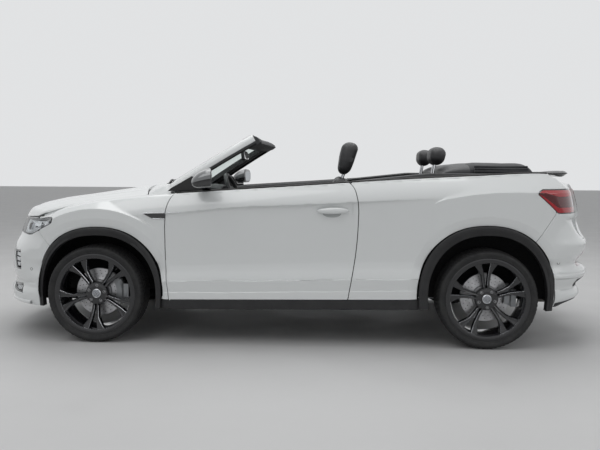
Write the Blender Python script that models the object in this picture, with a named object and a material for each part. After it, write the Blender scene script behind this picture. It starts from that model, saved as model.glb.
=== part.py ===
"""A four-seat open car with its fabric roof folded: the solids, in metres, +Z up, front towards -X.

The origin is on the ground, half way along and across the car. The left side is at -Y.
Half-width values are written as positive numbers and turned to the left or the right side at the end.
"""

import math

import bmesh
import bpy
import numpy as np
from mathutils import Matrix, Vector

# ---------------------------------------------------------------- driving sizes
WHEELBASE = 2.630
FRONT_OVERHANG = 0.840
REAR_OVERHANG = 0.798
BODY_WIDTH = 1.811
TRACK = 1.542
TYRE_RADIUS = 0.331
TYRE_WIDTH = 0.225
RIM_RADIUS = 0.268
SCREEN_HEIGHT = 1.440

SHUT = 0.005  # gap round a moving panel
SEAM = 0.0008  # gap between two fixed panels
TOUCH = 0.0003  # gap where one piece is seated on another
SKIN = 0.012  # a pressed wing or bumper
DOOR_DEPTH = 0.130
WALL_DEPTH = 0.095

LENGTH = FRONT_OVERHANG + WHEELBASE + REAR_OVERHANG
X_NOSE = -LENGTH / 2
X_TAIL = LENGTH / 2
X_FRONT = X_NOSE + FRONT_OVERHANG
X_REAR = X_FRONT + WHEELBASE
HALF_WIDTH = BODY_WIDTH / 2
SIDE_BASE = HALF_WIDTH - 0.0205  # the half width that side offsets are counted from

WHITE = (0.80, 0.83, 0.84)
BLACK = (0.020, 0.021, 0.023)
GLOSS = (0.010, 0.010, 0.011)
GREY = (0.10, 0.10, 0.105)
STEEL = (0.30, 0.30, 0.31)
RED = (0.35, 0.01, 0.02)
LAMP = (0.75, 0.78, 0.80)


# ---------------------------------------------------------------- curves
def smooth(t):
    t = np.clip(t, 0.0, 1.0)
    return t * t * (3 - 2 * t)


def curve(points):
    """A smooth function through (place, value) points, flat beyond its ends."""
    px, py = (np.array(c, float) for c in zip(*points))
    slope = np.gradient(py, px)

    def value(x):
        x = np.clip(np.asarray(x, float), px[0], px[-1])
        i = np.clip(np.searchsorted(px, x) - 1, 0, len(px) - 2)
        width = px[i + 1] - px[i]
        t = (x - px[i]) / width
        start = (1 + 2 * t) * (1 - t) ** 2 * py[i] + t * (1 - t) ** 2 * width * slope[i]
        end = t * t * (3 - 2 * t) * py[i + 1] + t * t * (t - 1) * width * slope[i + 1]
        return start + end

    return value


def bezier(p, t):
    t = np.asarray(t, float)[:, None]
    p = np.array(p, float)
    return (1 - t) ** 3 * p[0] + 3 * (1 - t) ** 2 * t * p[1] + 3 * (1 - t) * t * t * p[2] + t**3 * p[3]


def resample(points, count):
    """count points evenly spaced along a polyline."""
    points = np.array(points, float)
    run = np.concatenate([[0], np.cumsum(np.linalg.norm(np.diff(points, axis=0), axis=1))])
    at = np.linspace(0, run[-1], count)
    return np.stack([np.interp(at, run, points[:, k]) for k in range(points.shape[1])], axis=1)


# ---------------------------------------------------------------- lines along the body side
# Each is a height at a place along the car, as (axle, distance behind it, height).
def along(rows):
    axle = {"front": X_FRONT, "rear": X_REAR}
    return curve([(axle[name] + behind, height) for name, behind, height in rows])


belt_z = along([
    ("front", -0.46, 0.835),
    ("front", -0.25, 0.904),
    ("front", -0.05, 0.948),
    ("front", 0.28, 0.988),
    ("front", 0.71, 1.022),
    ("rear", -1.25, 1.067),
    ("rear", -0.61, 1.111),
    ("rear", -0.06, 1.141),
    ("rear", 0.33, 1.158),
    ("rear", 0.42, 1.156),
])
line_z = along([
    ("front", -0.40, 0.780),
    ("front", 0.30, 0.870),
    ("front", 0.60, 0.893),
    ("front", 0.90, 0.925),
    ("rear", -1.24, 0.949),
    ("rear", -0.41, 0.994),
    ("rear", 0.30, 1.015),
])
skirt_z = along([("front", -0.40, 0.423), ("front", 0.51, 0.430), ("rear", -0.48, 0.463), ("rear", 0.5, 0.475)])
sill_z = along([("front", 0.50, 0.303), ("rear", -0.47, 0.326)])
under_z = along([("front", 0.50, 0.240), ("rear", -0.47, 0.258)])
# How far the shoulder leans in at the belt, and how strong the pressed line is.
lean = along([
    ("front", -0.45, 0.080),
    ("front", -0.30, 0.088),
    ("front", -0.05, 0.075),
    ("front", 0.30, 0.048),
    ("rear", -0.9, 0.055),
    ("rear", 0.4, 0.085),
])
line_depth = along([("front", 0.25, 0.0), ("front", 0.50, 0.009), ("rear", -0.60, 0.009), ("rear", -0.36, 0.0)])


def wing_crest(x):
    """Height of the pressed arc over the front wheel."""
    return 0.912 - 0.834 * (x - X_FRONT - 0.020) ** 2


haunch_crest = along([
    ("rear", -0.60, 0.760),
    ("rear", -0.47, 0.885),
    ("rear", -0.33, 0.978),
    ("rear", -0.20, 1.009),
    ("rear", 0.00, 1.034),
    ("rear", 0.35, 1.040),
])
# The side from the skirt's upper edge (0) to the pressed line (1): how far it stands in.
flank = curve([
    (0.00, 0.0015), (0.03, -0.0010), (0.08, -0.0070), (0.13, -0.0145), (0.20, -0.0195), (0.32, -0.0205),
    (0.50, -0.0165), (0.75, -0.0090), (1.00, 0.0000),
])
LIP_WIDTH = 0.058  # a facet pressed into the body round each wheel arch
LIP_DEPTH = 0.014


def outside_arch(shape, x, z):
    """Roughly how far a place lies outside a wheel arch."""
    middle, half, top = shape
    up = np.maximum(z - AXLE_Z, 0)
    ratio = ((np.abs(x - middle) / half) ** 2.25 + (up / (top - AXLE_Z)) ** 2.25) ** (1 / 2.25)
    return (ratio - 1) * 0.5 * (half + top - AXLE_Z)


def arch_facet(x, z):
    """How far the facets round the wheel arches are pressed in at a place."""
    near = np.minimum(outside_arch(FRONT_ARCH, x, z), outside_arch(REAR_ARCH, x, z))
    return LIP_DEPTH * np.clip(1 - near / LIP_WIDTH, 0, 1.2)


def soft_max(a, b, width):
    return 0.5 * (a + b + np.sqrt((a - b) ** 2 + width**2))


def side_offset(x, z):
    """How far the side stands outside SIDE_BASE at a place along the car and a height."""
    belt, line, step = belt_z(x), line_z(x), skirt_z(x)
    crest = 0.008
    up = np.clip((z - line) / (belt - line), 0, 1.3)
    shoulder = crest - (crest + lean(x)) * up**1.6
    down = np.clip((z - step) / (line - step), 0, 1)
    door = crest - line_depth(x) * (1 - np.exp(-np.maximum(line - z, 0) / 0.007)) + flank(down)
    skirt = 0.0035 - 0.009 * np.clip((step - z) / 0.075, 0, 1) + 0.004 * smooth((step - 0.075 - z) / 0.006)
    wide = np.where(z > line, shoulder, np.where(z > step, door, skirt))
    # The convex ridges over both wheels.
    low = 0.05 * (1 - smooth((z - step - 0.02) / 0.12))
    over = z - wing_crest(x)
    front = 0.0195 - 1.35 * np.maximum(over, 0) + 0.02 * np.minimum(over, 0) - low
    front = front - 0.10 * smooth((x - X_FRONT - 0.30) / 0.35) - 0.03 * smooth((X_FRONT - 0.25 - x) / 0.30)
    over = z - haunch_crest(x)
    rear = 0.0195 - 0.75 * np.maximum(over, 0) + 0.03 * np.minimum(over, 0) - low
    rear = rear - 0.10 * smooth((X_REAR - 0.28 - x) / 0.34)
    wide = soft_max(wide, np.where(x < 0, front, rear), 0.004) - arch_facet(x, z)
    return np.minimum(wide, HALF_WIDTH - SIDE_BASE)


# ---------------------------------------------------------------- the plan outline of the body
FRONT_CORNER = 0.734  # length of the rounded front, back from the nose
REAR_CORNER = 0.584
NOSE_PLAN = [
    (X_NOSE + FRONT_CORNER, SIDE_BASE),
    (X_NOSE + FRONT_CORNER - 0.422, SIDE_BASE),
    (X_NOSE, SIDE_BASE - 0.263),
    (X_NOSE, 0.0),
]
TAIL_PLAN = [
    (X_TAIL - REAR_CORNER, SIDE_BASE),
    (X_TAIL - REAR_CORNER + 0.308, SIDE_BASE),
    (X_TAIL, SIDE_BASE - 0.010),
    (X_TAIL, 0.0),
]


def plan_table():
    """Columns s, x, y, outward x, outward y. s is x on the straight side and runs on round both corners."""
    t = np.linspace(0, 1, 161)
    rows = []
    for points, sign in ((NOSE_PLAN, -1), (TAIL_PLAN, 1)):
        xy = bezier(points, t)
        run = np.concatenate([[0], np.cumsum(np.linalg.norm(np.diff(xy, axis=0), axis=1))])
        along_x, along_y = np.gradient(xy[:, 0]), np.gradient(xy[:, 1])
        size = np.hypot(along_x, along_y)
        rows.append(np.stack([xy[0, 0] + sign * run, xy[:, 0], xy[:, 1], -sign * along_y / size * -sign * sign,
                              sign * along_x / size], axis=1))
    nose, tail = rows
    nose[:, 3] = -np.abs(nose[:, 3])
    tail[:, 3] = np.abs(tail[:, 3])
    nose[:, 4], tail[:, 4] = np.abs(nose[:, 4]), np.abs(tail[:, 4])
    return np.concatenate([nose[::-1], tail])


PLAN = plan_table()
S_NOSE, S_TAIL = PLAN[0, 0], PLAN[-1, 0]
S_FRONT, S_REAR = X_NOSE + FRONT_CORNER, X_TAIL - REAR_CORNER

# How far the front and the rear stand back from the nose and the tail, as (height, distance).
nose_back = curve([
    (0.200, 0.110), (0.225, 0.045), (0.255, 0.013), (0.290, 0.000), (0.325, 0.004), (0.350, 0.020), (0.476, 0.010),
    (0.573, 0.017), (0.642, 0.036), (0.691, 0.062), (0.773, 0.090), (0.830, 0.115), (0.884, 0.165), (0.930, 0.240),
])
tail_back = curve([
    (0.280, 0.200), (0.310, 0.090), (0.420, 0.060), (0.470, 0.012), (0.515, 0.004), (0.545, 0.050), (0.640, 0.016),
    (0.700, 0.000), (0.740, 0.030), (0.825, 0.068), (0.891, 0.076), (1.000, 0.100), (1.070, 0.128), (1.083, 0.137),
    (1.124, 0.192), (1.160, 0.260),
])


def body(s, z, deeper=0.0):
    """Points (x, half width, z) of the body's skin, at s along the plan outline and height z."""
    s, z = np.broadcast_arrays(np.asarray(s, float), np.asarray(z, float))
    x, y, out_x, out_y = (np.interp(s, PLAN[:, 0], PLAN[:, k]) for k in (1, 2, 3, 4))
    front = smooth((S_FRONT - 0.10 - s) / 0.60)
    rear = smooth((s - S_REAR - 0.10) / 0.50)
    offset = side_offset(np.clip(x, X_FRONT - 0.40, X_REAR + 0.42), z) * (1 - front - rear)
    offset = offset - nose_back(z) * front - tail_back(z) * rear - deeper
    return np.stack([x + out_x * offset, y + out_y * offset, z], axis=-1)


def s_at_half_width(y, end):
    """s where the nose (-1) or the tail (+1) has this half width in plan."""
    side = PLAN[PLAN[:, 0] < 0] if end < 0 else PLAN[PLAN[:, 0] > 0][::-1]
    return np.interp(y, side[:, 2], side[:, 0])


# ---------------------------------------------------------------- meshes
def material(name, colour, rough=0.5, metal=0.0):
    found = bpy.data.materials.get(name)
    if found:
        return found
    made = bpy.data.materials.new(name)
    made.use_nodes = True
    shader = made.node_tree.nodes["Principled BSDF"]
    shader.inputs["Base Color"].default_value = (*colour, 1.0)
    shader.inputs["Roughness"].default_value = rough
    shader.inputs["Metallic"].default_value = metal
    return made


FINISHES = {
    "paint": (WHITE, 0.25, 0.0),
    "black_plastic": (BLACK, 0.6, 0.0),
    "gloss_black": (GLOSS, 0.15, 0.0),
    "trim": (GREY, 0.7, 0.0),
    "leather": ((0.035, 0.036, 0.038), 0.5, 0.0),
    "fabric": ((0.018, 0.018, 0.020), 0.9, 0.0),
    "rubber": ((0.025, 0.025, 0.027), 0.8, 0.0),
    "steel": (STEEL, 0.45, 0.8),
    "glass": ((0.55, 0.60, 0.60), 0.05, 0.0),
    "lamp": (LAMP, 0.1, 0.0),
    "red_lamp": (RED, 0.1, 0.0),
}


def add(name, mesh_data, finish):
    """An object from (points, faces), with its faces turned outwards."""
    points, faces = mesh_data
    mesh = bpy.data.meshes.new(name)
    mesh.from_pydata([tuple(map(float, p)) for p in points], [], [tuple(f) for f in faces])
    tidy = bmesh.new()
    tidy.from_mesh(mesh)
    bmesh.ops.remove_doubles(tidy, verts=tidy.verts, dist=1e-6)
    bmesh.ops.recalc_face_normals(tidy, faces=tidy.faces)
    tidy.to_mesh(mesh)
    tidy.free()
    mesh.shade_smooth()
    mesh.set_sharp_from_angle(angle=math.radians(32))
    mesh.materials.append(material(finish, *FINISHES[finish]))
    obj = bpy.data.objects.new(name, mesh)
    bpy.context.scene.collection.objects.link(obj)
    return obj


def shell(outer, inner, hole=None):
    """A closed plate between two grids of points; hole is (first row, last row, first column, last column)."""
    outer, inner = np.array(outer, float), np.array(inner, float)
    rows, cols = outer.shape[:2]
    points = np.concatenate([outer.reshape(-1, 3), inner.reshape(-1, 3)])
    at = np.arange(rows * cols).reshape(rows, cols)
    back = at + rows * cols
    faces = []
    for i in range(rows - 1):
        for j in range(cols - 1):
            if hole and hole[0] <= i < hole[1] and hole[2] <= j < hole[3]:
                continue
            faces.append((at[i, j], at[i, j + 1], at[i + 1, j + 1], at[i + 1, j]))
            faces.append((back[i, j], back[i + 1, j], back[i + 1, j + 1], back[i, j + 1]))
    edges = [at]
    if hole:
        edges.append(at[hole[0]:hole[1] + 1, hole[2]:hole[3] + 1][::-1])
    for part in edges:
        rim = [*part[0], *part[1:, -1], *part[-1, -2::-1], *part[-2:0:-1, 0]]
        for a, b in zip(rim, rim[1:] + rim[:1]):
            faces.append((b, a, a + rows * cols, b + rows * cols))
    if hole:
        inside = at[hole[0] + 1:hole[1], hole[2] + 1:hole[3]].ravel()
        unused = {*map(int, inside), *map(int, inside + rows * cols)}
        keep = [k for k in range(len(points)) if k not in unused]
        new = {k: n for n, k in enumerate(keep)}
        points, faces = points[keep], [tuple(new[int(k)] for k in f) for f in faces]
    return points, faces


def tube_of_rings(rings, closed=False):
    """A solid through rings of points; its ends are capped, or meet when closed."""
    rings = np.array(rings, float)
    count, ring = rings.shape[:2]
    faces = []
    for i in range(count if closed else count - 1):
        k = (i + 1) % count
        for j in range(ring):
            m = (j + 1) % ring
            faces.append((i * ring + j, i * ring + m, k * ring + m, k * ring + j))
    if not closed:
        faces.append(tuple(range(ring))[::-1])
        faces.append(tuple((count - 1) * ring + j for j in range(ring)))
    return rings.reshape(-1, 3), faces


def block(x, y, z):
    """A box from three (low, high) pairs."""
    rings = [[(a, y[0], z[0]), (a, y[1], z[0]), (a, y[1], z[1]), (a, y[0], z[1])] for a in x]
    return tube_of_rings(rings)


def turned(profile, centre, steps):
    """A ring turned about the Y direction through centre, from a closed (radius, across) profile."""
    rings = []
    for k in range(steps):
        a = 2 * math.pi * k / steps
        rings.append([(centre[0] + r * math.cos(a), centre[1] + w, centre[2] + r * math.sin(a)) for r, w in profile])
    return tube_of_rings(rings, closed=True)


def rod(start, end, radius, steps=12):
    """A round bar between two points."""
    start, end = Vector(start), Vector(end)
    turn = (end - start).to_track_quat("Z", "Y").to_matrix()
    rings = []
    for p in (start, end):
        ring = [p + turn @ Vector((radius * math.cos(a), radius * math.sin(a), 0))
                for a in (2 * math.pi * k / steps for k in range(steps))]
        rings.append([tuple(v) for v in ring])
    return tube_of_rings(rings)


def prism(outline, y, flat="xz"):
    """An outline of (x, z) points, carried from y[0] to y[1]; with flat "xy" the outline is (x, y) and y is z."""
    if flat == "xz":
        return tube_of_rings([[(a, w, b) for a, b in outline] for w in y])
    return tube_of_rings([[(a, b, w) for a, b in outline] for w in y])


def pad(x, y, z, soft=0.04, tilt=0.0, steps=1):
    """A block with rounded edges, leant back by tilt degrees about its lower middle."""
    made = bmesh.new()
    bmesh.ops.create_cube(made, size=1.0)
    size = [high - low for low, high in (x, y, z)]
    middle = [(low + high) / 2 for low, high in (x, y, z)]
    bmesh.ops.scale(made, vec=size, verts=made.verts)
    bmesh.ops.bevel(made, geom=list(made.edges), offset=soft, segments=steps, profile=0.5, affect="EDGES")
    foot = Vector((0, 0, -size[2] / 2))
    turn = Matrix.Translation(foot) @ Matrix.Rotation(math.radians(tilt), 4, "Y") @ Matrix.Translation(-foot)
    bmesh.ops.transform(made, matrix=Matrix.Translation(middle) @ turn, verts=made.verts)
    points = [tuple(v.co) for v in made.verts]
    faces = [tuple(v.index for v in f.verts) for f in made.faces]
    made.free()
    return points, faces


def joined(name, pieces, finish):
    """One solid from several that overlap, by Boolean unions."""
    whole = add(name, pieces[0], finish)
    for piece in pieces[1:]:
        unite(whole, piece)
    return whole


def combine(obj, piece, operation):
    """A Boolean with one more piece, applied at once."""
    helper = add(f"{obj.name}_{operation.lower()}", piece, "trim")
    modifier = obj.modifiers.new(operation, "BOOLEAN")
    modifier.operation, modifier.object = operation, helper
    graph = bpy.context.evaluated_depsgraph_get()
    result = bpy.data.meshes.new_from_object(obj.evaluated_get(graph))
    obj.modifiers.clear()
    obj.data = result
    bpy.data.objects.remove(helper)
    return obj


def even_out(obj):
    """Triangles without slivers, from the many-cornered faces that the Booleans leave."""
    tidy = bmesh.new()
    tidy.from_mesh(obj.data)
    bmesh.ops.dissolve_degenerate(tidy, edges=tidy.edges, dist=2e-5)
    bmesh.ops.triangulate(tidy, faces=tidy.faces, quad_method="BEAUTY", ngon_method="BEAUTY")
    bmesh.ops.dissolve_degenerate(tidy, edges=tidy.edges, dist=2e-5)
    tidy.to_mesh(obj.data)
    tidy.free()


def cut(obj, piece):
    return combine(obj, piece, "DIFFERENCE")


def unite(obj, piece):
    return combine(obj, piece, "UNION")


def mirrored(points):
    """(x, half width, z) points on the left side, where y is negative."""
    points = np.array(points, float)
    points[..., 1] *= -1
    return points


def other_side(obj, name):
    """A copy of a left piece for the right."""
    mesh = obj.data.copy()
    mesh.transform(Matrix.Scale(-1, 4, (0, 1, 0)))
    mesh.flip_normals()
    made = bpy.data.objects.new(name, mesh)
    bpy.context.scene.collection.objects.link(made)
    return made


def pair(name, obj):
    """Names a left piece and makes its right one."""
    obj.name = f"{name}_l"
    return obj, other_side(obj, f"{name}_r")


def pivot(point, *objects):
    """Moves objects' origins to a joint's axis."""
    for obj in objects:
        obj.data.transform(Matrix.Translation(-Vector(point)))
        obj.location = point


def place(points):
    """(s, z) from (x, z) points of the side: s where the body at that height has that x."""
    found = []
    for x, z in points:
        line = body(PLAN[:, 0], z)[:, 0]
        found.append((np.interp(x, line, PLAN[:, 0]), z))
    return np.array(found)


def coons(bottom, top, first, last, columns, rows):
    """A grid of (s, z) points between four edges; bottom and top run the same way, as first and last do."""
    bottom, top = resample(bottom, columns), resample(top, columns)
    first, last = resample(first, rows), resample(last, rows)
    u = np.linspace(0, 1, columns)[None, :, None]
    v = np.linspace(0, 1, rows)[:, None, None]
    grid = (1 - v) * bottom[None] + v * top[None] + (1 - u) * first[:, None] + u * last[:, None]
    grid -= (1 - u) * (1 - v) * bottom[0] + u * (1 - v) * bottom[-1] + (1 - u) * v * top[0] + u * v * top[-1]
    return grid


def plate(grid, depth, sink=0.0):
    """A solid plate of the body's skin over a grid of (s, z) points, on the left."""
    outer = body(grid[..., 0], grid[..., 1], sink)
    inner = body(grid[..., 0], grid[..., 1], sink + depth)
    return shell(mirrored(outer), mirrored(inner))


def both_sides(points):
    """Columns of left points carried on over the middle to the right; the last column is on the middle."""
    left = mirrored(points)
    right = np.array(points, float)[:, -2::-1]
    left[:, -1, 1] = 0.0
    return np.concatenate([left, right], axis=1)


# ---------------------------------------------------------------- wheels and wheel arches
AXLE_Z = TYRE_RADIUS
STEPS = 32  # flats round a tyre and a rim
HUB_FACE = TRACK / 2 - 0.050  # half width of the face where a wheel is bolted on
DISC_RADIUS = 0.165
HUB_RADIUS = 0.075
BORE_GAP = 0.0003

FRONT_ARCH = (X_FRONT + 0.0245, 0.4375, 0.788)  # middle, half width and height of the cladding's outer edge
REAR_ARCH = (X_REAR - 0.0115, 0.4525, 0.820)
FRONT_LIP = (X_FRONT + 0.023, 0.402, 0.733)  # the same of its inner edge
REAR_LIP = (X_REAR - 0.005, 0.395, 0.757)


def arch(shape, grow=0.0, low=0.30, count=25, start=0.0, end=1.0):
    """(x, z) points over a wheel arch, from the front foot to the rear foot; start and end cut it short."""
    middle, half, top = shape
    half, top = half + grow, top + grow
    points = []
    power = 2 / 2.25
    for t in np.linspace(0, math.pi, 61):
        c, q = math.cos(t), math.sin(t)
        points.append((middle - half * math.copysign(abs(c) ** power, c), AXLE_Z + (top - AXLE_Z) * abs(q) ** power))
    foot_front = (points[0][0] + 0.012, low)
    foot_rear = (points[-1][0] - 0.012, low)
    whole = resample([foot_front, *points, foot_rear], 201)
    return resample(whole[int(200 * start) : int(200 * end) + 1], count)


def after(points, x=None, z=None):
    """The share along a list of 201 points where it passes a place."""
    column = 0 if x is not None else 1
    return int(np.argmin(np.abs(points[:, column] - (x if x is not None else z)))) / 200


WHEELS = (  # name, along, side
    ("fl", X_FRONT, -1),
    ("fr", X_FRONT, 1),
    ("rl", X_REAR, -1),
    ("rr", X_REAR, 1),
)
TYRE_PROFILE = [  # (radius, across from the middle) from the inner bead outwards and back
    (RIM_RADIUS + BORE_GAP, -0.0950),
    (RIM_RADIUS + 0.0098, -0.0955),
    (0.2800, -0.1065),
    (0.3050, -0.1125),
    (0.3240, -0.1010),
    (TYRE_RADIUS, -0.0800),
    (TYRE_RADIUS, 0.0800),
    (0.3240, 0.1010),
    (0.3050, 0.1125),
    (0.2800, 0.1065),
    (RIM_RADIUS + 0.0098, 0.0955),
    (RIM_RADIUS + BORE_GAP, 0.0950),
]
RIM_PROFILE = [
    (0.246, -0.1040),
    (RIM_RADIUS + 0.009, -0.1040),
    (RIM_RADIUS + 0.009, -0.0960),
    (RIM_RADIUS, -0.0955),
    (RIM_RADIUS, 0.0955),
    (RIM_RADIUS + 0.009, 0.0960),
    (RIM_RADIUS + 0.009, 0.1040),
    (0.242, 0.1040),
]


def flats(radius):
    """The corner radius of a ring of STEPS flats that stand at this radius."""
    return radius / math.cos(math.pi / STEPS)


def ring(profile, centre):
    made, faces = turned([(flats(r), w) for r, w in profile], (0, 0, 0), STEPS)
    half = math.pi / STEPS
    x, z = made[:, 0].copy(), made[:, 2].copy()
    made[:, 0] = x * math.cos(half) - z * math.sin(half)
    made[:, 2] = x * math.sin(half) + z * math.cos(half)
    return made + np.array(centre), faces


def spokes(angle):
    """A V of two bars from the hub to the rim, in a left wheel whose middle is the origin."""
    outline = [(0.045, -14), (0.120, -13.5), (0.254, -17.0), (0.254, -9.5), (0.120, -2.2), (0.085, 0),
               (0.120, 2.2), (0.254, 9.5), (0.254, 17.0), (0.120, 13.5), (0.045, 14)]
    front, back = [], []
    for radius, degrees in outline:
        a = angle + math.radians(degrees)
        face = -0.070 - 0.020 * (radius / 0.246) ** 1.5
        front.append((radius * math.cos(a), face, radius * math.sin(a)))
        back.append((radius * math.cos(a), face + 0.032, radius * math.sin(a)))
    return tube_of_rings([front, back])


def make_wheels():
    tyre = add("tyre", ring(TYRE_PROFILE, (0, 0, 0)), "rubber")
    rim = add("rim", ring(RIM_PROFILE, (0, 0, 0)), "gloss_black")
    for k in range(5):
        unite(rim, spokes(math.pi / 2 + k * math.tau / 5))
    unite(rim, rod((0, 0.050, 0), (0, -0.063, 0), HUB_RADIUS, 20))
    unite(rim, rod((0, 0.040, 0), (0, -0.078, 0), 0.036, 12))
    unite(rim, rod((0, 0.032, 0), (0, 0.008, 0), DISC_RADIUS, 24))
    sources = {-1: (tyre, rim), 1: (other_side(tyre, "tyre_right"), other_side(rim, "rim_right"))}
    for name, x, side in WHEELS:
        for stem, source in zip(("tyre", "rim"), sources[side]):
            made = bpy.data.objects.new(f"{stem}_{name}", source.data)
            made.location = (x, side * TRACK / 2, AXLE_Z)
            bpy.context.scene.collection.objects.link(made)
    for both in sources.values():
        for source in both:
            bpy.data.objects.remove(source)


# ---------------------------------------------------------------- shut lines, as (x, z) on the side
DOOR_FRONT = [
    (X_FRONT + 0.508, 0.297), (X_FRONT + 0.491, 0.432), (X_FRONT + 0.485, 0.540), (X_FRONT + 0.483, 0.700),
    (X_FRONT + 0.486, 0.834), (X_FRONT + 0.498, 0.925), (X_FRONT + 0.515, 0.975), (X_FRONT + 0.550, 1.024),
]
DOOR_REAR = [
    (X_REAR - 0.921, 0.320), (X_REAR - 0.868, 0.653), (X_REAR - 0.856, 0.849), (X_REAR - 0.856, 0.930),
    (X_REAR - 0.868, 1.010), (X_REAR - 0.885, 1.060), (X_REAR - 0.911, 1.091),
]
SEAM_AT_FRONT_ARCH = 0.600  # heights where the bumpers' edges reach the arches
SEAM_AT_REAR_ARCH = 0.700
TAIL_LAMP_LOW = 0.905


def arch_at(shape, z, front):
    """x of an arch's outer edge at a height, on its front or rear side."""
    middle, half, top = shape
    reach = half * (1 - ((z - AXLE_Z) / (top - AXLE_Z)) ** 2.25) ** (1 / 2.25)
    return middle - reach if front else middle + reach


FENDER_FRONT = [
    (arch_at(FRONT_ARCH, SEAM_AT_FRONT_ARCH, True), SEAM_AT_FRONT_ARCH),
    (X_FRONT - 0.426, 0.730),
    (X_FRONT - 0.420, 0.846),
]
QUARTER_REAR = [
    (arch_at(REAR_ARCH, SEAM_AT_REAR_ARCH, False), SEAM_AT_REAR_ARCH),
    (X_REAR + 0.394, 0.760),
    (X_REAR + 0.464, TAIL_LAMP_LOW),
    (X_REAR + 0.510, 0.990),
    (X_REAR + 0.500, 1.070),
]


def shifted(points, dx):
    return [(x + dx, z) for x, z in points]


def on_belt(x, drop=0.0):
    return [(a, float(belt_z(a)) - drop) for a in x]


BONNET_RISE = 0.010  # how far it stands above the shoulder line
X_BONNET_CORNER = X_FRONT - 0.376
X_BONNET_REAR = X_FRONT + 0.344
X_COWL = X_FRONT + 0.254  # the bonnet's rear edge on the middle
bonnet_ridge = curve([  # the middle of the bonnet: height at a place
    (X_NOSE + 0.105, 0.800), (X_NOSE + 0.130, 0.850), (X_NOSE + 0.200, 0.895), (X_NOSE + 0.334, 0.937),
    (X_NOSE + 0.634, 0.990), (X_NOSE + 0.934, 1.036), (X_NOSE + 1.114, 1.063),
])
BONNET_THICK = 0.024
LAMP_TOP = 0.842


def bonnet_edge_z(x):
    return belt_z(x) + BONNET_RISE


def nose_edge(v, inset=0.0):
    """The bonnet's front edge, from the middle (0) to its corner (1): on the skin, along the lamps' upper edge."""
    s_corner = place([(X_BONNET_CORNER, bonnet_edge_z(X_BONNET_CORNER))])[0, 0]
    s = S_NOSE + (s_corner - S_NOSE) * np.asarray(v, float)
    z = 0.800 + 0.046 * smooth(np.asarray(v) / 0.75) + (bonnet_edge_z(X_BONNET_CORNER) - 0.846) * smooth(
        (np.asarray(v) - 0.72) / 0.28)
    return body(s, z, inset)


# The bonnet's side edge, inboard of the shoulder line.
bonnet_half = curve([
    (X_BONNET_CORNER, float(nose_edge(1.0)[1])),
    (X_FRONT - 0.240, 0.714),
    (X_FRONT, 0.742),
    (X_FRONT + 0.200, 0.760),
    (X_FRONT + 0.350, 0.768),
])


def bonnet_point(u, v):
    """u from the front edge to the rear one, v from the middle to the side edge."""
    u, v = np.broadcast_arrays(np.asarray(u, float), np.asarray(v, float))
    x_mid = (X_NOSE + 0.105) + (X_COWL - X_NOSE - 0.105) * u
    x_side = X_BONNET_CORNER + (X_BONNET_REAR - X_BONNET_CORNER) * u
    x = x_mid + (x_side - x_mid) * v**2.4
    y = bonnet_half(x_side) * v
    z_mid, z_side = bonnet_ridge(x_mid), bonnet_edge_z(x_side)
    z = z_mid + (z_side - z_mid) * v**3.2
    points = np.stack([x, y, z], axis=-1)
    # The front edge is drawn onto the skin of the nose.
    x0 = (X_NOSE + 0.105) + (X_BONNET_CORNER - X_NOSE - 0.105) * v**2.4
    z0 = bonnet_ridge(X_NOSE + 0.105) + (bonnet_edge_z(X_BONNET_CORNER) - bonnet_ridge(X_NOSE + 0.105)) * v**3.2
    raw = np.stack([x0, bonnet_half(X_BONNET_CORNER) * v, z0], axis=-1)
    return points + (nose_edge(v) - raw) * ((1 - u) ** 3)[..., None]


def bonnet_grid(u, v, sink=0.0, trim=0.0):
    """A grid of the bonnet, sunk below its surface and trimmed back at its edges."""
    u, v = np.meshgrid(u, v, indexing="ij")
    at = bonnet_point(u, v)
    du = bonnet_point(np.clip(u + 0.01, 0, 1), v) - bonnet_point(np.clip(u - 0.01, 0, 1), v)
    dv = bonnet_point(u, np.clip(v + 0.01, 0, 1)) - bonnet_point(u, np.clip(v - 0.01, 0, 1))
    normal = np.cross(du, dv)
    normal /= np.linalg.norm(normal, axis=-1, keepdims=True)
    normal *= np.sign(normal[..., 2:3])
    return at - normal * sink


def make_bonnet():
    u = np.array([0, 0.03, 0.09, 0.18, 0.35, 0.55, 0.8, 1.0])
    v = np.array([1.0, 0.96, 0.88, 0.76, 0.6, 0.4, 0.2, 0.0])
    edge = SHUT / 2
    outer, inner = bonnet_grid(u, v), bonnet_grid(u, v, BONNET_THICK)
    for grid in (outer, inner):
        grid[:, 0, 1] -= edge
    panel = add("bonnet", shell(both_sides(outer), both_sides(inner)), "paint")
    for side in (-1, 1):
        y = side * BONNET_HINGE_HALF
        unite(panel, rod((BONNET_HINGE_X, y, BONNET_HINGE_Z), (BONNET_HINGE_X, y + side * 0.016, BONNET_HINGE_Z),
                         HINGE_PIN, 8))
        unite(panel, block((BONNET_HINGE_X - 0.030, BONNET_HINGE_X), sorted((y + side * 0.001, y + side * 0.015)),
                           (BONNET_HINGE_Z - 0.006, BONNET_HINGE_Z + 0.022)))
    return panel


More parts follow.
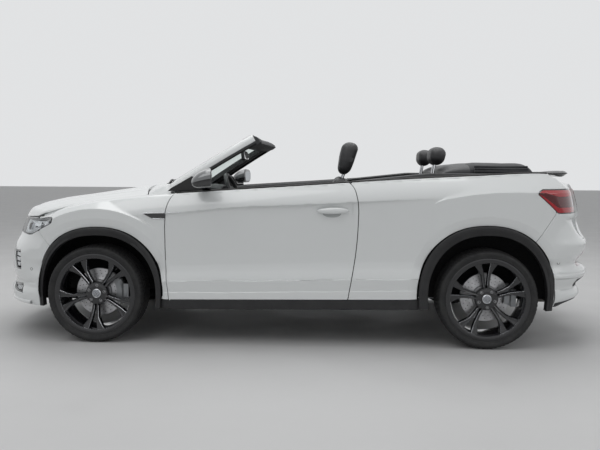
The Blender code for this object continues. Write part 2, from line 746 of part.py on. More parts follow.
def make_fender():
    """The front wing: from the bumper's edge over the wheel to the door, and in to the bonnet."""
    x_front, x_door = FENDER_FRONT[1][0] - 0.010, DOOR_FRONT[0][0] + 0.010
    front = place([(x_front, 0.303), (x_front, FENDER_FRONT[1][1]), *shifted(FENDER_FRONT[2:], -0.004)])
    rear = place([(x_door, float(sill_z(x_door))), *shifted(DOOR_FRONT[1:], 0.010)])
    bottom = place([(x, float(sill_z(x))) for x in np.linspace(x_front, x_door, 17)])
    x_top = np.linspace(X_BONNET_CORNER, DOOR_FRONT[-1][0] + 0.010, 17)
    top = place([*shifted(FENDER_FRONT[2:], -0.004), *on_belt(x_top)])
    grid = coons(bottom, top, front, rear, 17, 10)
    outer = body(grid[..., 0], grid[..., 1])
    # The wing is thin along the door, whose front edge swings in behind it.
    depth = np.full(grid.shape[:2], SKIN)
    depth[:, -2] = 0.010
    depth[:, -1] = 0.001
    inner = body(grid[..., 0], grid[..., 1], depth)
    # The top is carried inwards from the shoulder to the bonnet's edge.
    x = np.clip(outer[-1, :, 0], X_BONNET_CORNER, X_BONNET_REAR)
    row = outer[-1].copy()
    row[:, 1] = np.minimum(bonnet_half(x) + SHUT / 2, outer[-1, :, 1] - 0.004)
    row[:, 2] += (BONNET_RISE - 0.001) * np.clip((outer[-1, :, 1] - row[:, 1]) / 0.03, 0, 1)
    low = row.copy()
    low[:, 2] -= SKIN
    inner[-1] = outer[-1]
    inner[-1, :, 1] = outer[-1, :, 1] - np.minimum(SKIN, (outer[-1, :, 1] - row[:, 1]) * 0.5)
    inner[-1, :, 2] -= SKIN
    panel = add("fender", shell(mirrored(np.concatenate([outer, row[None]])),
                                mirrored(np.concatenate([inner, low[None]]))), "paint")
    cut(panel, lamp_cutter(True))
    cut(panel, door_cutter())
    cut(panel, seam_cutter(FENDER_FRONT[:2], 0.1, -1))
    return cut(panel, arch_cutter(FRONT_ARCH))


def arch_cutter(shape):
    return prism([tuple(p) for p in arch(shape, SEAM / 2, 0.10, 41)], (-0.99, -0.60))


def door_cutter():
    """The doorway, a shut gap larger than the door."""
    front = [(x - SHUT, z) for x, z in door_edge(0.0)]
    rear = [(x + SHUT, z) for x, z in door_edge(1.0)]
    front = [(front[0][0], 0.10), *front, (front[-1][0] + 0.01, 1.30)]
    rear = [(rear[0][0], 0.10), *rear, (rear[-1][0] - 0.01, 1.30)]
    return prism([*front, *rear[::-1]], (-0.99, -0.60))


def door_edge(share):
    """(x, z) of the door's corners down one edge: 0 is its front edge, 1 its rear edge."""
    points = []
    for i in range(DOOR_ROWS):
        x, z = door_points(i, np.array([share]))
        points.append((float(x[0]), float(z[0])))
    return points


def door_rows(x):
    """Heights of the rows of a door's outside at a place, from its lower edge to the belt."""
    low, step, line, belt = sill_z(x) + SHUT / 2, skirt_z(x), line_z(x), belt_z(x)
    return np.stack([low, low + 0.035, step - 0.006, step + 0.006, step + (line - step) * 0.3,
                     step + (line - step) * 0.65, line - 0.045, line - 0.012, line, line + (belt - line) * 0.4,
                     line + (belt - line) * 0.75, belt - 0.0], axis=-1)


def between(points, z):
    points = np.array(points, float)
    return np.interp(z, points[:, 1], points[:, 0])


HINGE_X = X_FRONT + 0.560
HINGE_HALF = 0.853
HINGE_PIN = 0.008
HINGE_Z = (0.370, 0.830)
DOOR_FLANGE = 0.006


DOOR_ROWS = 12


def door_points(row, share):
    """x and z of a row of a door's outside, at shares of the way from its front edge to its rear edge."""
    z = np.full(len(share), 0.7)
    for _ in range(12):
        x0, x1 = between(DOOR_FRONT, z) + SHUT / 2, between(DOOR_REAR, z) - SHUT / 2
        x = x0 + (x1 - x0) * share
        z = door_rows(x)[:, row]
    return x, z


def make_door():
    """A door: its outside, and an inside that starts at the hinge line so that it swings clear of its pillar."""
    share = np.array([0, 0.060, 0.066, 0.17, 0.30, 0.43, 0.57, 0.70, 0.83, 0.960, 0.966, 1.0])
    outer = np.zeros((DOOR_ROWS, len(share), 3))
    for i in range(DOOR_ROWS):
        x, z = door_points(i, share)
        s = place(list(zip(x, z)))[:, 0]
        outer[i] = body(s, z)
    inner = outer.copy()
    inner[..., 1] = SIDE_BASE - 0.010 - DOOR_DEPTH
    flange = outer[..., 1] - DOOR_FLANGE
    for column in (0, 1, -2, -1):
        inner[:, column, 1] = flange[:, column]
    # The deep box stands between the hinge and the lock.
    inner[:, 1, 0] = HINGE_X + HINGE_PIN + 0.003
    inner[:, 2, 0] = HINGE_X + HINGE_PIN + 0.004
    inner[:, -2, 0] = outer[:, -1, 0] - 0.030
    inner[:, -3, 0] = outer[:, -1, 0] - 0.031
    box = add("door", shell(mirrored(outer), mirrored(inner)), "paint")
    for z in HINGE_Z:
        unite(box, rod((HINGE_X, -HINGE_HALF, z + BORE_GAP / 2), (HINGE_X, -HINGE_HALF, z + 0.022), HINGE_PIN, 8))
        unite(box, block((HINGE_X, HINGE_X + 0.030), (-HINGE_HALF - 0.004, -HINGE_HALF + 0.006),
                         (z + 0.004, z + 0.020)))
    return box


def bumper_edge(shape, seam, low, height, front):
    """(s, z) up a bumper's end: beside the wheel arch, then along its seam with the wing."""
    points = arch(shape, 0.0, low, 201)
    points = points[:100] if front else points[100:][::-1]
    points = points[points[:, 1] < height - 0.004]
    edge = np.concatenate([points[::8], seam])
    return place(edge[edge[:, 1].argsort()])


def make_front_bumper():
    edge_sz = bumper_edge(FRONT_ARCH, shifted(FENDER_FRONT[:2], 0.015), 0.208, SEAM_AT_FRONT_ARCH, True)
    top_side = FENDER_FRONT[1][1]
    share = np.array([0, 0.08, 0.17, 0.26, 0.35, 0.44, 0.54, 0.66, 0.82, 1.0])
    rows = np.array([0, 0.05, 0.12, 0.2, 0.32, 0.5, 0.7, 0.86, 1.0])
    s_top = edge_sz[-1, 0]
    outer = np.zeros((len(rows), len(share), 3))
    inner = outer.copy()
    for j, u in enumerate(share):
        z = 0.208 + (top_side - 0.208) * rows
        s_edge = np.interp(z, edge_sz[:, 1], edge_sz[:, 0])
        s = s_edge + (S_NOSE - s_edge) * u
        outer[:, j] = body(s, z)
        inner[:, j] = body(s, z, SKIN)
    panel = add("front_bumper", shell(both_sides(outer), both_sides(inner)), "paint")
    cut(panel, lamp_cutter(True))
    cut(panel, right_side(lamp_cutter(True)))
    for piece in (arch_cutter(FRONT_ARCH), seam_cutter(FENDER_FRONT[:2], 0.1, 1)):
        cut(panel, piece)
        cut(panel, right_side(piece))
    return cut(panel, block((X_NOSE - 0.1, X_NOSE + 0.4), (-GRILLE_HALF - SEAM, GRILLE_HALF + SEAM),
                            (GRILLE_LOW - SEAM, 0.9)))


def right_side(piece):
    """The same piece on the other side."""
    points, faces = piece
    return np.array(points) * (1, -1, 1), [f[::-1] for f in faces]


GRILLE_HALF = 0.44
GRILLE_LOW = 0.600


def make_grille():
    """The black field between the lamps, over the bumper's upper edge."""
    s = np.linspace(s_at_half_width(GRILLE_HALF + 0.06, -1), S_NOSE, 9)
    s, z = np.meshgrid(s, np.array([GRILLE_LOW, 0.65, 0.70, 0.75, 0.794 - 2 * SHUT]))
    panel = add("grille", shell(both_sides(body(s, z, 0.006)), both_sides(body(s, z, 0.045))), "gloss_black")
    for side in (-1, 1):
        cut(panel, block((X_NOSE - 0.1, X_FRONT), sorted((side * GRILLE_HALF, side * 0.99)), (0.5, 1.0)))
    return panel


def lamp_band(front, grow=0.0, count=13):
    """(s, z) grid of a lamp on the left, as rows from its lower to its upper edge."""
    if front:
        s0 = place([(X_FRONT - 0.352 + grow, 0.815)])[0, 0]
        s1 = s_at_half_width(GRILLE_HALF - 0.020, -1) - grow
        t = np.linspace(0, 1, count)
        s = s0 + (s1 - s0) * t
        low = np.interp(t, [0, 0.14, 0.26, 1], [0.812, 0.760, 0.726, 0.722]) - grow
        high = np.interp(t, [0, 0.04, 1], [0.826, 0.838, 0.800]) + grow
    else:
        s0 = place([(X_REAR + 0.342 - grow, 1.04)])[0, 0]
        s1 = s_at_half_width(LID_HALF - 0.020, 1) + grow
        t = np.linspace(0, 1, count)
        s = s0 + (s1 - s0) * t
        low = np.interp(t, [0, 0.30, 1], [1.028, TAIL_LAMP_LOW, TAIL_LAMP_LOW]) - grow
        high = np.interp(t, [0, 0.05, 1], [1.040, 1.062, 1.070]) + grow
    rows = np.array([0, 0.33, 0.67, 1])[:, None]
    return np.stack([np.broadcast_to(s, (4, count)), low + (high - low) * rows], axis=-1)


def make_lamp(name, front, finish):
    lamp = add(name, plate(lamp_band(front), 0.07, 0.001), finish)
    if front:
        return cut(lamp, block((X_NOSE - 0.1, X_FRONT), (-GRILLE_HALF - 2 * SEAM, 0), (0.5, 1.0)))
    return cut(lamp, block((X_REAR, X_TAIL + 0.2), (-LID_HALF - SHUT / 2, 0), (0.5, 1.2)))


def lamp_cutter(front):
    grid = lamp_band(front, 1.7 * SEAM)
    return plate(grid, 0.14, -0.03)


def seam_cutter(seam, low, side):
    """What lies in front (-1) or behind (1) of a wing's seam with its bumper, up to the lamp."""
    line = [(x - side * SEAM / 2, z) for x, z in seam]
    (x0, z0), (x1, z1) = line[:2]
    (x2, z2), (x3, z3) = line[-2:]
    # It starts inside the wheel arch and ends inside the lamp.
    line[0] = (x0 - 0.15 * (x1 - x0), z0 - 0.15 * (z1 - z0))
    line.append((x3 + 0.05 * (x3 - x2), z3 + 0.05 * (z3 - z2)))
    far = line[0][0] + side * 0.9
    return prism([(line[0][0], low), *line, (far, line[-1][1]), (far, low)], (-0.99, -0.40))


def make_quarter():
    """The rear wing behind the door, up to the belt."""
    x_door, x_back = DOOR_REAR[0][0] - 0.010, QUARTER_REAR[1][0] + 0.030
    bottom = place([(x, float(sill_z(x))) for x in np.linspace(x_door, x_back, 17)])
    x_top = np.linspace(DOOR_REAR[-1][0] - 0.010, X_REAR + 0.395, 18)
    top = place([*on_belt(x_top), (X_REAR + 0.440, 1.130), (X_REAR + 0.500, 1.075)])
    first = place([(x_door, float(sill_z(x_door))), *shifted(DOOR_REAR[1:], -0.010)])
    last = place([(x_back, float(sill_z(x_back))), *shifted(QUARTER_REAR[1:], 0.010)])
    grid = coons(bottom, top, first, last, 19, 11)
    panel = add("quarter", plate(grid, QUARTER_DEPTH), "paint")
    cut(panel, lamp_cutter(False))
    cut(panel, door_cutter())
    cut(panel, seam_cutter(QUARTER_REAR[:3], 0.1, 1))
    return cut(panel, arch_cutter(REAR_ARCH))


QUARTER_DEPTH = 0.030


def make_rear_bumper():
    edge_sz = bumper_edge(REAR_ARCH, shifted(QUARTER_REAR[:3], -0.015), 0.285, SEAM_AT_REAR_ARCH, False)
    top_side = TAIL_LAMP_LOW
    share = np.array([0, 0.07, 0.15, 0.23, 0.31, 0.40, 0.475, 0.6, 0.8, 1.0])
    rows = np.array([0, 0.08, 0.20, 0.33, 0.43, 0.55, 0.669, 0.85, 1.0])
    outer = np.zeros((len(rows), len(share), 3))
    inner = outer.copy()
    for j, u in enumerate(share):
        z = 0.285 + (top_side - 0.285) * rows
        s_edge = np.interp(z, edge_sz[:, 1], edge_sz[:, 0])
        s = s_edge + (S_TAIL - s_edge) * u
        outer[:, j] = body(s, z)
        inner[:, j] = body(s, z, SKIN)
    panel = add("rear_bumper", shell(both_sides(outer), both_sides(inner)), "paint")
    cut(panel, lid_cutter())
    cut(panel, block((X_TAIL - 0.5, X_TAIL + 0.1), (-DIFFUSER_HALF, DIFFUSER_HALF), (0.1, DIFFUSER_TOP)))
    for piece in (lamp_cutter(False), arch_cutter(REAR_ARCH), seam_cutter(QUARTER_REAR[:3], 0.1, -1)):
        cut(panel, piece)
        cut(panel, right_side(piece))
    return panel


DIFFUSER_HALF = 0.580
DIFFUSER_TOP = 0.440


def lid_cutter():
    return block((X_REAR, X_TAIL + 0.2), (-LID_HALF - SHUT / 2, LID_HALF + SHUT / 2), (LID_LOW - SHUT, 1.30))


LID_HALF = 0.598
LID_LOW = 0.720
LID_TOP = 1.150
X_LID_FRONT = X_REAR + 0.364
LID_THICK = 0.030
LID_HINGE_X = X_LID_FRONT - 0.006
LID_HINGE_Z = LID_TOP - 0.008
LID_HINGE_HALF = 0.430
LID_PIN = 0.005


def lid_profile(y, sink=0.0):
    """Points down the boot lid at a half width, from its front edge to its lower edge."""
    bow = 0.030 * (y / LID_HALF) ** 2
    points = [(X_LID_FRONT, LID_TOP - 0.4 * bow), (X_LID_FRONT + 0.085, LID_TOP - 0.008 - 0.5 * bow),
              (X_LID_FRONT + 0.170, LID_TOP - 0.028 - 0.6 * bow)]
    s = s_at_half_width(y, 1) if y > 0.001 else S_TAIL
    for z in (1.083, 1.000, 0.891, 0.825, 0.770, LID_LOW):
        x, _, _ = body(s, z)
        points.append((float(x), z))
    return np.array(points)


def make_boot_lid():
    halves = [LID_HALF - SHUT / 2, 0.52, 0.38, 0.20, 0.0]
    outer, inner = [], []
    for y in halves:
        line = lid_profile(y)
        step = np.gradient(line, axis=0)
        step /= np.linalg.norm(step, axis=1, keepdims=True)
        under = line - LID_THICK * np.stack([-step[:, 1], step[:, 0]], axis=1)
        under = 2 * line - under if under[4, 0] > line[4, 0] else under
        under[0, 0] = line[0, 0]
        under[-1, 1] = line[-1, 1]
        outer.append([(x, y, z) for x, z in line])
        inner.append([(x, y, z) for x, z in under])
    outer, inner = (np.array(a).transpose(1, 0, 2) for a in (outer, inner))
    panel = add("boot_lid", shell(both_sides(outer), both_sides(inner)), "paint")
    for side in (-1, 1):
        y = side * LID_HINGE_HALF
        unite(panel, rod((LID_HINGE_X, y, LID_HINGE_Z), (LID_HINGE_X, y + side * 0.030, LID_HINGE_Z), LID_PIN, 8))
        unite(panel, block((LID_HINGE_X, X_LID_FRONT + 0.010), sorted((y + side * 0.001, y + side * 0.029)),
                           (LID_HINGE_Z - 0.0045, LID_HINGE_Z + 0.002)))
    return panel


def make_spoiler():
    """The black blade over the boot lid, on two short feet."""
    halves = (0.56, 0.50, 0.35, 0.0)
    rings = []
    for y in [-h for h in halves] + list(halves[-2::-1]):
        back = 0.045 * (1 - (y / 0.60) ** 2)
        rings.append([(X_LID_FRONT + 0.016, y, 1.164), (X_LID_FRONT + 0.070, y, 1.184),
                      (X_LID_FRONT + 0.195 + back, y, 1.181), (X_LID_FRONT + 0.210 + back, y, 1.166),
                      (X_LID_FRONT + 0.190 + back, y, 1.150), (X_LID_FRONT + 0.130, y, 1.150),
                      (X_LID_FRONT + 0.016, y, 1.157)])
    feet = []
    under = lid_profile(0.300)
    for y in (-0.400, 0.400):
        x0, x1 = X_LID_FRONT + 0.045, X_LID_FRONT + 0.105
        z0, z1 = np.interp([x0, x1], under[:3, 0], under[:3, 1]) + TOUCH
        feet.append(prism([(x0, z0), (x1, z1), (x1, 1.170), (x0, 1.170)], (y - 0.03, y + 0.03)))
    blade = joined("spoiler", [tube_of_rings(rings), *feet], "gloss_black")
    return blade


def sill_grid():
    """The black strip under the door and the wings, between the wheel arches."""
    x = np.linspace(X_FRONT + 0.455, X_REAR - 0.455, 9)
    rows = []
    for share in (0, 0.3, 1.0):
        low, high = under_z(x), sill_z(x) - SHUT / 2
        z = low + (high - low) * share
        rows.append(place(list(zip(x, z))))
    return np.array(rows)


def band_solid(outer_shape, lip_shape, low):
    """The black band round a wheel arch, with its lip turned in."""
    out = place(arch(outer_shape, -SEAM / 2, low, 31))
    lip = place(arch(lip_shape, 0.0, low, 31))
    skin_out = body(out[:, 0], out[:, 1], 0.002)
    skin_lip = body(lip[:, 0], lip[:, 1], -0.004)
    skin_out[:, 1] += 0.9 * arch_facet(skin_out[:, 0], skin_out[:, 2])
    skin_lip[:, 1] += 0.9 * arch_facet(skin_lip[:, 0], skin_lip[:, 2])
    back_lip, back_out = skin_lip.copy(), skin_out.copy()
    back_lip[:, 1] -= 0.045
    back_out[:, 1] -= 0.040
    rings = np.stack([skin_out, skin_lip, back_lip, back_out], axis=1)
    return tube_of_rings(mirrored(rings))


def liner(shape, y, low, gap=0.014):
    """The inner skin over a wheel, from the inner wing out to the band."""
    over = arch(shape, gap, low, 23)
    under = arch(shape, gap - 0.004, low, 23)
    ring_points = [*map(tuple, over), *map(tuple, under[::-1])]
    return prism(ring_points, y)


def make_cladding():
    """The bands round both wheel arches and the strip between them, which is fixed to the sill."""
    grid = sill_grid()
    outer = body(grid[..., 0], grid[..., 1])
    inner = outer.copy()
    inner[..., 1] = SILL_HALF + TOUCH
    pieces = [
        band_solid(FRONT_ARCH, FRONT_LIP, 0.240),
        band_solid(REAR_ARCH, REAR_LIP, 0.262),
        shell(mirrored(outer), mirrored(inner)),
    ]
    return joined("cladding", pieces, "black_plastic")


# ---------------------------------------------------------------- windscreen
SCREEN_BASE_X = X_FRONT + 0.345  # outside of the glass on the middle, at its foot
SCREEN_BASE_Z = 1.068
HEADER_X = X_FRONT + 0.960
PILLAR_FOOT = 0.735
PILLAR_TOP = 0.600


def screen(a, b, sink=0.0):
    """The windscreen's outside: a across from the middle (0) to the pillar's edge (1), b from the foot up."""
    a, b = np.broadcast_arrays(np.asarray(a, float), np.asarray(b, float))
    x0 = SCREEN_BASE_X + 0.150 * a**2
    x1 = HEADER_X + 0.090 * a**2
    y = (PILLAR_FOOT + (PILLAR_TOP - PILLAR_FOOT) * b) * a
    x = x0 + (x1 - x0) * b
    z0 = SCREEN_BASE_Z + 0.004 * (1 - a**2)
    z1 = SCREEN_HEIGHT - 0.020 * a**2
    z = z0 + (z1 - z0) * b + 0.030 * b * (1 - b)
    lean_x, lean_z = -0.49, 0.87
    return np.stack([x - lean_x * sink, y, z - lean_z * sink], axis=-1)


GLASS_EDGE = 0.915
GLASS_FOOT = 0.035
GLASS_HEAD = 0.905


def make_screen_frame():
    """Both pillars, the header over the glass and the beam under it, as one ring on two feet."""
    a = np.array([-1, -0.96, -GLASS_EDGE, -0.6, -0.3, 0, 0.3, 0.6, GLASS_EDGE, 0.96, 1])
    b = np.array([-0.04, 0.0, GLASS_FOOT, 0.25, 0.5, 0.75, GLASS_HEAD, 0.96, 1.0])
    aa, bb = np.meshgrid(a, b)
    outer = screen(np.abs(aa), bb)
    inner = screen(np.abs(aa), bb, 0.045)
    for grid in (outer, inner):
        grid[..., 1] *= np.sign(aa)
        grid[:, 5, 1] = 0
    foot = POST_HALF + 0.008
    feet = [block((SCREEN_BASE_X + 0.114, SCREEN_BASE_X + 0.148), (y - 0.006, y + 0.006), (SCREEN_LOW, 1.034))
            for y in (-foot, foot)]
    return joined("windscreen_frame", [shell(outer, inner, (2, 6, 2, 8)), *feet], "paint")


def make_glass():
    gap = BORE_GAP / 0.6
    a = np.array([-GLASS_EDGE + gap, -0.6, -0.3, 0, 0.3, 0.6, GLASS_EDGE - gap])
    aa, bb = np.meshgrid(a, np.array([GLASS_FOOT + gap, 0.25, 0.5, 0.75, GLASS_HEAD - gap]))
    high, low = screen(np.abs(aa), bb, 0.006), screen(np.abs(aa), bb, 0.012)
    for grid in (high, low):
        grid[..., 1] *= np.sign(aa)
        grid[:, 3, 1] = 0
    return add("windscreen", shell(high, low), "glass")


# ---------------------------------------------------------------- structure
FLOOR_LOW = 0.262
FLOOR_HIGH = 0.300
SILL_HALF = SIDE_BASE - 0.150
BULKHEAD_X = X_FRONT + 0.500
BONNET_HINGE_X = X_FRONT + 0.319
BONNET_HINGE_Z = 0.980
BONNET_HINGE_LOW = 0.860  # the rail that carries its fixed half
POST_HALF = SILL_HALF - 0.035  # inside of the posts in front of the doors
BONNET_HINGE_HALF = float(bonnet_half(BONNET_HINGE_X)) - 0.067
SCREEN_LOW = 1.012  # lowest edge of the windscreen frame
BOOT_FLOOR = 0.400
INNER_WING = 0.450
REAR_WALL = 0.610


def make_floor():
    x0, x1 = BULKHEAD_X, X_REAR - 0.540
    pieces = [block((x0, x1), (-SILL_HALF, SILL_HALF), (FLOOR_LOW, FLOOR_HIGH))]
    for side in (-1, 1):
        pieces.append(block((x0, X_REAR - 0.445), sorted((side * SILL_HALF, side * (SILL_HALF - 0.100))),
                            (FLOOR_LOW - 0.012, 0.430)))
    pieces.append(block((x0 + 0.01, x1 - 0.05), (-0.10, 0.10), (FLOOR_LOW + 0.001, 0.400)))
    pieces.append(block((x1 - 0.030, x1), (-SILL_HALF + 0.05, SILL_HALF - 0.05), (FLOOR_LOW + 0.002, BOOT_FLOOR)))
    pieces.append(block((x1 - 0.020, X_TAIL - 0.176), (-REAR_WALL, REAR_WALL), (BOOT_FLOOR - 0.030, BOOT_FLOOR)))
    z = HINGE_Z[0]
    for side in (-1, 1):
        pieces.append(block((HINGE_X - 0.014, HINGE_X + 0.0035), sorted((side * POST_HALF, side * HINGE_HALF)),
                            (z - 0.021, z - 0.005)))
        pieces.append(rod((HINGE_X, side * HINGE_HALF, z - 0.022), (HINGE_X, side * HINGE_HALF, z - BORE_GAP / 2),
                          HINGE_PIN, 8))
    return joined("floor_pan", pieces, "trim")


def make_front_structure():
    x0, x1 = X_NOSE + 0.300, BULKHEAD_X - TOUCH
    wide = SILL_HALF - 0.019
    pieces = [block((x1 - 0.030, x1), (-wide, wide), (FLOOR_LOW, 0.900))]
    for side in (-1, 1):
        y = sorted((side * (INNER_WING - 0.020), side * INNER_WING))
        rail = sorted((side * (INNER_WING - 0.080), side * INNER_WING))
        pieces.append(block((x0, x1 - 0.01), y, (0.360, 0.860)))
        pieces.append(block((x0, x1 - 0.01), rail, (0.370, 0.450)))
        shelf = sorted((side * (INNER_WING - 0.010), side * (POST_HALF - 0.010)))
        pieces.append(block((X_FRONT - 0.355, x1 - 0.01), shelf, (0.800, 0.812)))
        # The upper door hinge's fixed half, and the bonnet hinge's.
        z = HINGE_Z[1]
        pieces.append(block((x1 - 0.02, HINGE_X + 0.004), sorted((side * (POST_HALF - 0.007), side * wide)), (z - 0.022, z - 0.004)))
        pieces.append(block((HINGE_X - 0.014, HINGE_X + 0.0035), sorted((side * POST_HALF, side * HINGE_HALF)),
                            (z - 0.021, z - 0.005)))
        pieces.append(rod((HINGE_X, side * HINGE_HALF, z - 0.022), (HINGE_X, side * HINGE_HALF, z - BORE_GAP / 2),
                          HINGE_PIN, 8))
        inside = side * (BONNET_HINGE_HALF - 0.018)
        pieces.append(block((BONNET_HINGE_X - 0.012, x1 - 0.01), sorted((inside, inside - side * 0.014)),
                            (BONNET_HINGE_LOW, BONNET_HINGE_LOW + 0.020)))
        pieces.append(block((BONNET_HINGE_X - 0.008, BONNET_HINGE_X + 0.008), sorted((inside, inside - side * 0.0135)),
                            (BONNET_HINGE_LOW + 0.001, BONNET_HINGE_Z)))
        pieces.append(rod((BONNET_HINGE_X, side * (BONNET_HINGE_HALF - 0.030), BONNET_HINGE_Z),
                          (BONNET_HINGE_X, side * (BONNET_HINGE_HALF - BORE_GAP), BONNET_HINGE_Z), HINGE_PIN, 8))
        # A post under each windscreen pillar.
        pieces.append(block((SCREEN_BASE_X + 0.085, x1 - 0.002), sorted((side * POST_HALF, side * (wide - 0.0005))),
                            (0.850, SCREEN_LOW - TOUCH)))
    pieces.append(block((x0, x0 + 0.04), (-0.560, 0.560), (0.400, 0.700)))
    return joined("front_structure", pieces, "black_plastic")


def make_rear_structure():
    """The rear wheelhouses, the panel behind the seats, the boot's rear panel and the side linings."""
    x0, x1 = DOOR_REAR[-1][0] + 0.075, X_REAR + 0.300
    panel_x = X_REAR - 0.270
    wide = REAR_WALL + 0.010
    pieces = [block((panel_x, panel_x + 0.012), (-wide, wide), (BOOT_FLOOR + TOUCH, 1.080))]
    pieces.append(block((panel_x, panel_x + 0.0119), (-0.580, 0.580), (1.000, DECK_TOP - DECK_THICK - TOUCH)))
    pieces.append(block((X_TAIL - 0.190, X_TAIL - 0.178), (-wide, wide), (BOOT_FLOOR + TOUCH, LID_LOW - 0.030)))
    for side in (-1, 1):
        wall = sorted((side * (REAR_WALL + TOUCH), side * (REAR_WALL + 0.020)))
        pieces.append(block((X_REAR - 0.42, X_REAR + 0.47), wall, (BOOT_FLOOR - 0.028, 0.870)))
        pieces.append(block((X_REAR + 0.46, X_TAIL - 0.180), wall, (BOOT_FLOOR + 0.010, 0.690)))
        roof = sorted((side * (REAR_WALL + 0.001), side * 0.820))
        pieces.append(block((X_REAR - 0.42, X_REAR + 0.36), roof, (0.832, 0.844)))
        lining = [(x0, 0.4303), (X_REAR - 0.46, 0.4303), (X_REAR - 0.42, 0.835), (x1, 0.835), (x1, 1.070), (x0, 1.000)]
        pieces.append(prism(lining, sorted((side * SILL_HALF, side * (SILL_HALF + 0.025)))))
    return joined("rear_structure", pieces, "trim")


SEAT_HALF = 0.230


def make_seat(name, y, x=X_FRONT + 1.10):
    """A front seat: cushion, leaning back with side bolsters, and head restraint."""
    pieces = [
        pad((x - 0.02, x + 0.50), (y - SEAT_HALF, y + SEAT_HALF), (0.400, 0.560), 0.045, -4),
        pad((x + 0.36, x + 0.52), (y - SEAT_HALF, y + SEAT_HALF), (0.430, 1.145), 0.045, 17),
        pad((x + 0.545, x + 0.665), (y - 0.135, y + 0.135), (1.150, 1.378), 0.040, 12),
        rod((x + 0.560, y - 0.06, 1.000), (x + 0.615, y - 0.06, 1.200), 0.008),
        rod((x + 0.560, y + 0.06, 1.000), (x + 0.615, y + 0.06, 1.200), 0.008),
        block((x + 0.05, x + 0.42), (y - 0.20, y - 0.16), (FLOOR_HIGH + TOUCH, 0.45)),
        block((x + 0.05, x + 0.42), (y + 0.16, y + 0.20), (FLOOR_HIGH + TOUCH, 0.45)),
    ]
    return joined(name, pieces, "leather")


def make_rear_seat():
    x = X_REAR - 0.80
    pieces = [pad((x, x + 0.42), (-0.560, 0.560), (0.420, 0.560), 0.05, -3)]
    pieces.append(pad((x + 0.270, x + 0.390), (-0.560, 0.560), (0.430, 1.125), 0.045, 10))
    pieces.append(block((x + 0.270, x + 0.38), (-0.50, 0.50), (BOOT_FLOOR + TOUCH, 0.48)))
    for y in (-0.34, 0.34):
        pieces.append(pad((X_REAR - 0.335, X_REAR - 0.225), (y - 0.135, y + 0.135), (1.225, 1.344), 0.035, 8))
        for post in (y - 0.05, y + 0.05):
            pieces.append(rod((X_REAR - 0.320, post, 1.05), (X_REAR - 0.285, post, 1.26), 0.007))
    return joined("rear_seat", pieces, "leather")


def make_dashboard():
    x0, x1 = BULKHEAD_X + TOUCH, X_FRONT + 0.800
    outline = [(x0, 0.640), (x0, 0.900), (x0 - 0.03, 0.990), (x0 + 0.02, 1.035), (x1 - 0.06, 1.020),
               (x1, 0.980), (x1 - 0.02, 0.830), (x1 - 0.10, 0.640)]
    top = prism(outline, (-0.690, 0.690))
    start = tuple(c - a * 0.300 for c, a in zip(WHEEL_CENTRE, COLUMN_AXIS))
    column = rod(start, COLUMN_END, 0.036, 16)
    hood = pad((x1 - 0.16, x1 + 0.02), (WHEEL_Y - 0.17, WHEEL_Y + 0.17), (0.98, 1.075), 0.03)
    return joined("dashboard", [top, column, hood], "trim")


WHEEL_Y = -0.370
WHEEL_TILT = 25.0
WHEEL_CENTRE = (X_FRONT + 0.895, WHEEL_Y, 0.978)
STEERING_RADIUS = 0.178
COLUMN_AXIS = (math.cos(math.radians(WHEEL_TILT)), 0.0, math.sin(math.radians(WHEEL_TILT)))
COLUMN_END = tuple(c - a * 0.045 for c, a in zip(WHEEL_CENTRE, COLUMN_AXIS))


def make_steering_wheel():
    """The rim, the boss and three spokes; it turns about the column."""
    up = Vector(COLUMN_AXIS)
    side = Vector((0, 1, 0))
    top = up.cross(side)

    def at(across, high, out):
        return tuple(side * across + top * high + up * out)

    rings = []
    for k in range(24):
        a = math.tau * k / 24
        rings.append([at((STEERING_RADIUS + 0.015 * math.cos(b)) * math.cos(a),
                         (STEERING_RADIUS + 0.015 * math.cos(b)) * math.sin(a), 0.015 * math.sin(b))
                      for b in (math.tau * m / 6 for m in range(6))])
    pieces = [tube_of_rings(rings, closed=True)]
    pieces.append(rod(at(0, 0, -0.045 + TOUCH), at(0, 0, -0.005), 0.070, 20))
    for a in (0.0, math.pi, 1.5 * math.pi):
        c, q = math.cos(a), math.sin(a)
        rings = []
        for r in (0.04, STEERING_RADIUS - 0.006):
            rings.append([at(c * r - q * w, q * r + c * w, h) for w, h in
                          ((-0.018, -0.020), (0.018, -0.020), (0.018, -0.006), (-0.018, -0.006))])
        pieces.append(tube_of_rings(rings))
    wheel = joined("steering_wheel", pieces, "trim")
    wheel.location = WHEEL_CENTRE
    return wheel


def make_soft_top():
    """The folded roof in its well: a flat packed stack with a slanted front."""
    x = np.array([X_REAR - 0.275, X_REAR - 0.235, X_REAR - 0.18, X_REAR - 0.08, X_REAR + 0.13, X_REAR + 0.27,
                  X_REAR + 0.32, X_REAR + 0.338])
    top = np.array([1.180, 1.212, 1.229, 1.238, 1.237, 1.232, 1.222, 1.194])
    rings = []
    for a, high in zip(x, top):
        half = 0.620
        low = DECK_TOP + TOUCH
        rings.append([(a, -half, low), (a, -half, low + (high - low) * 0.45), (a, -half + 0.05, high - 0.008),
                      (a, -0.2, high), (a, 0.2, high), (a, half - 0.05, high - 0.008),
                      (a, half, low + (high - low) * 0.45), (a, half, low)])
    return add("soft_top", tube_of_rings(rings), "fabric")


DECK_TOP = 1.160
DECK_THICK = 0.022


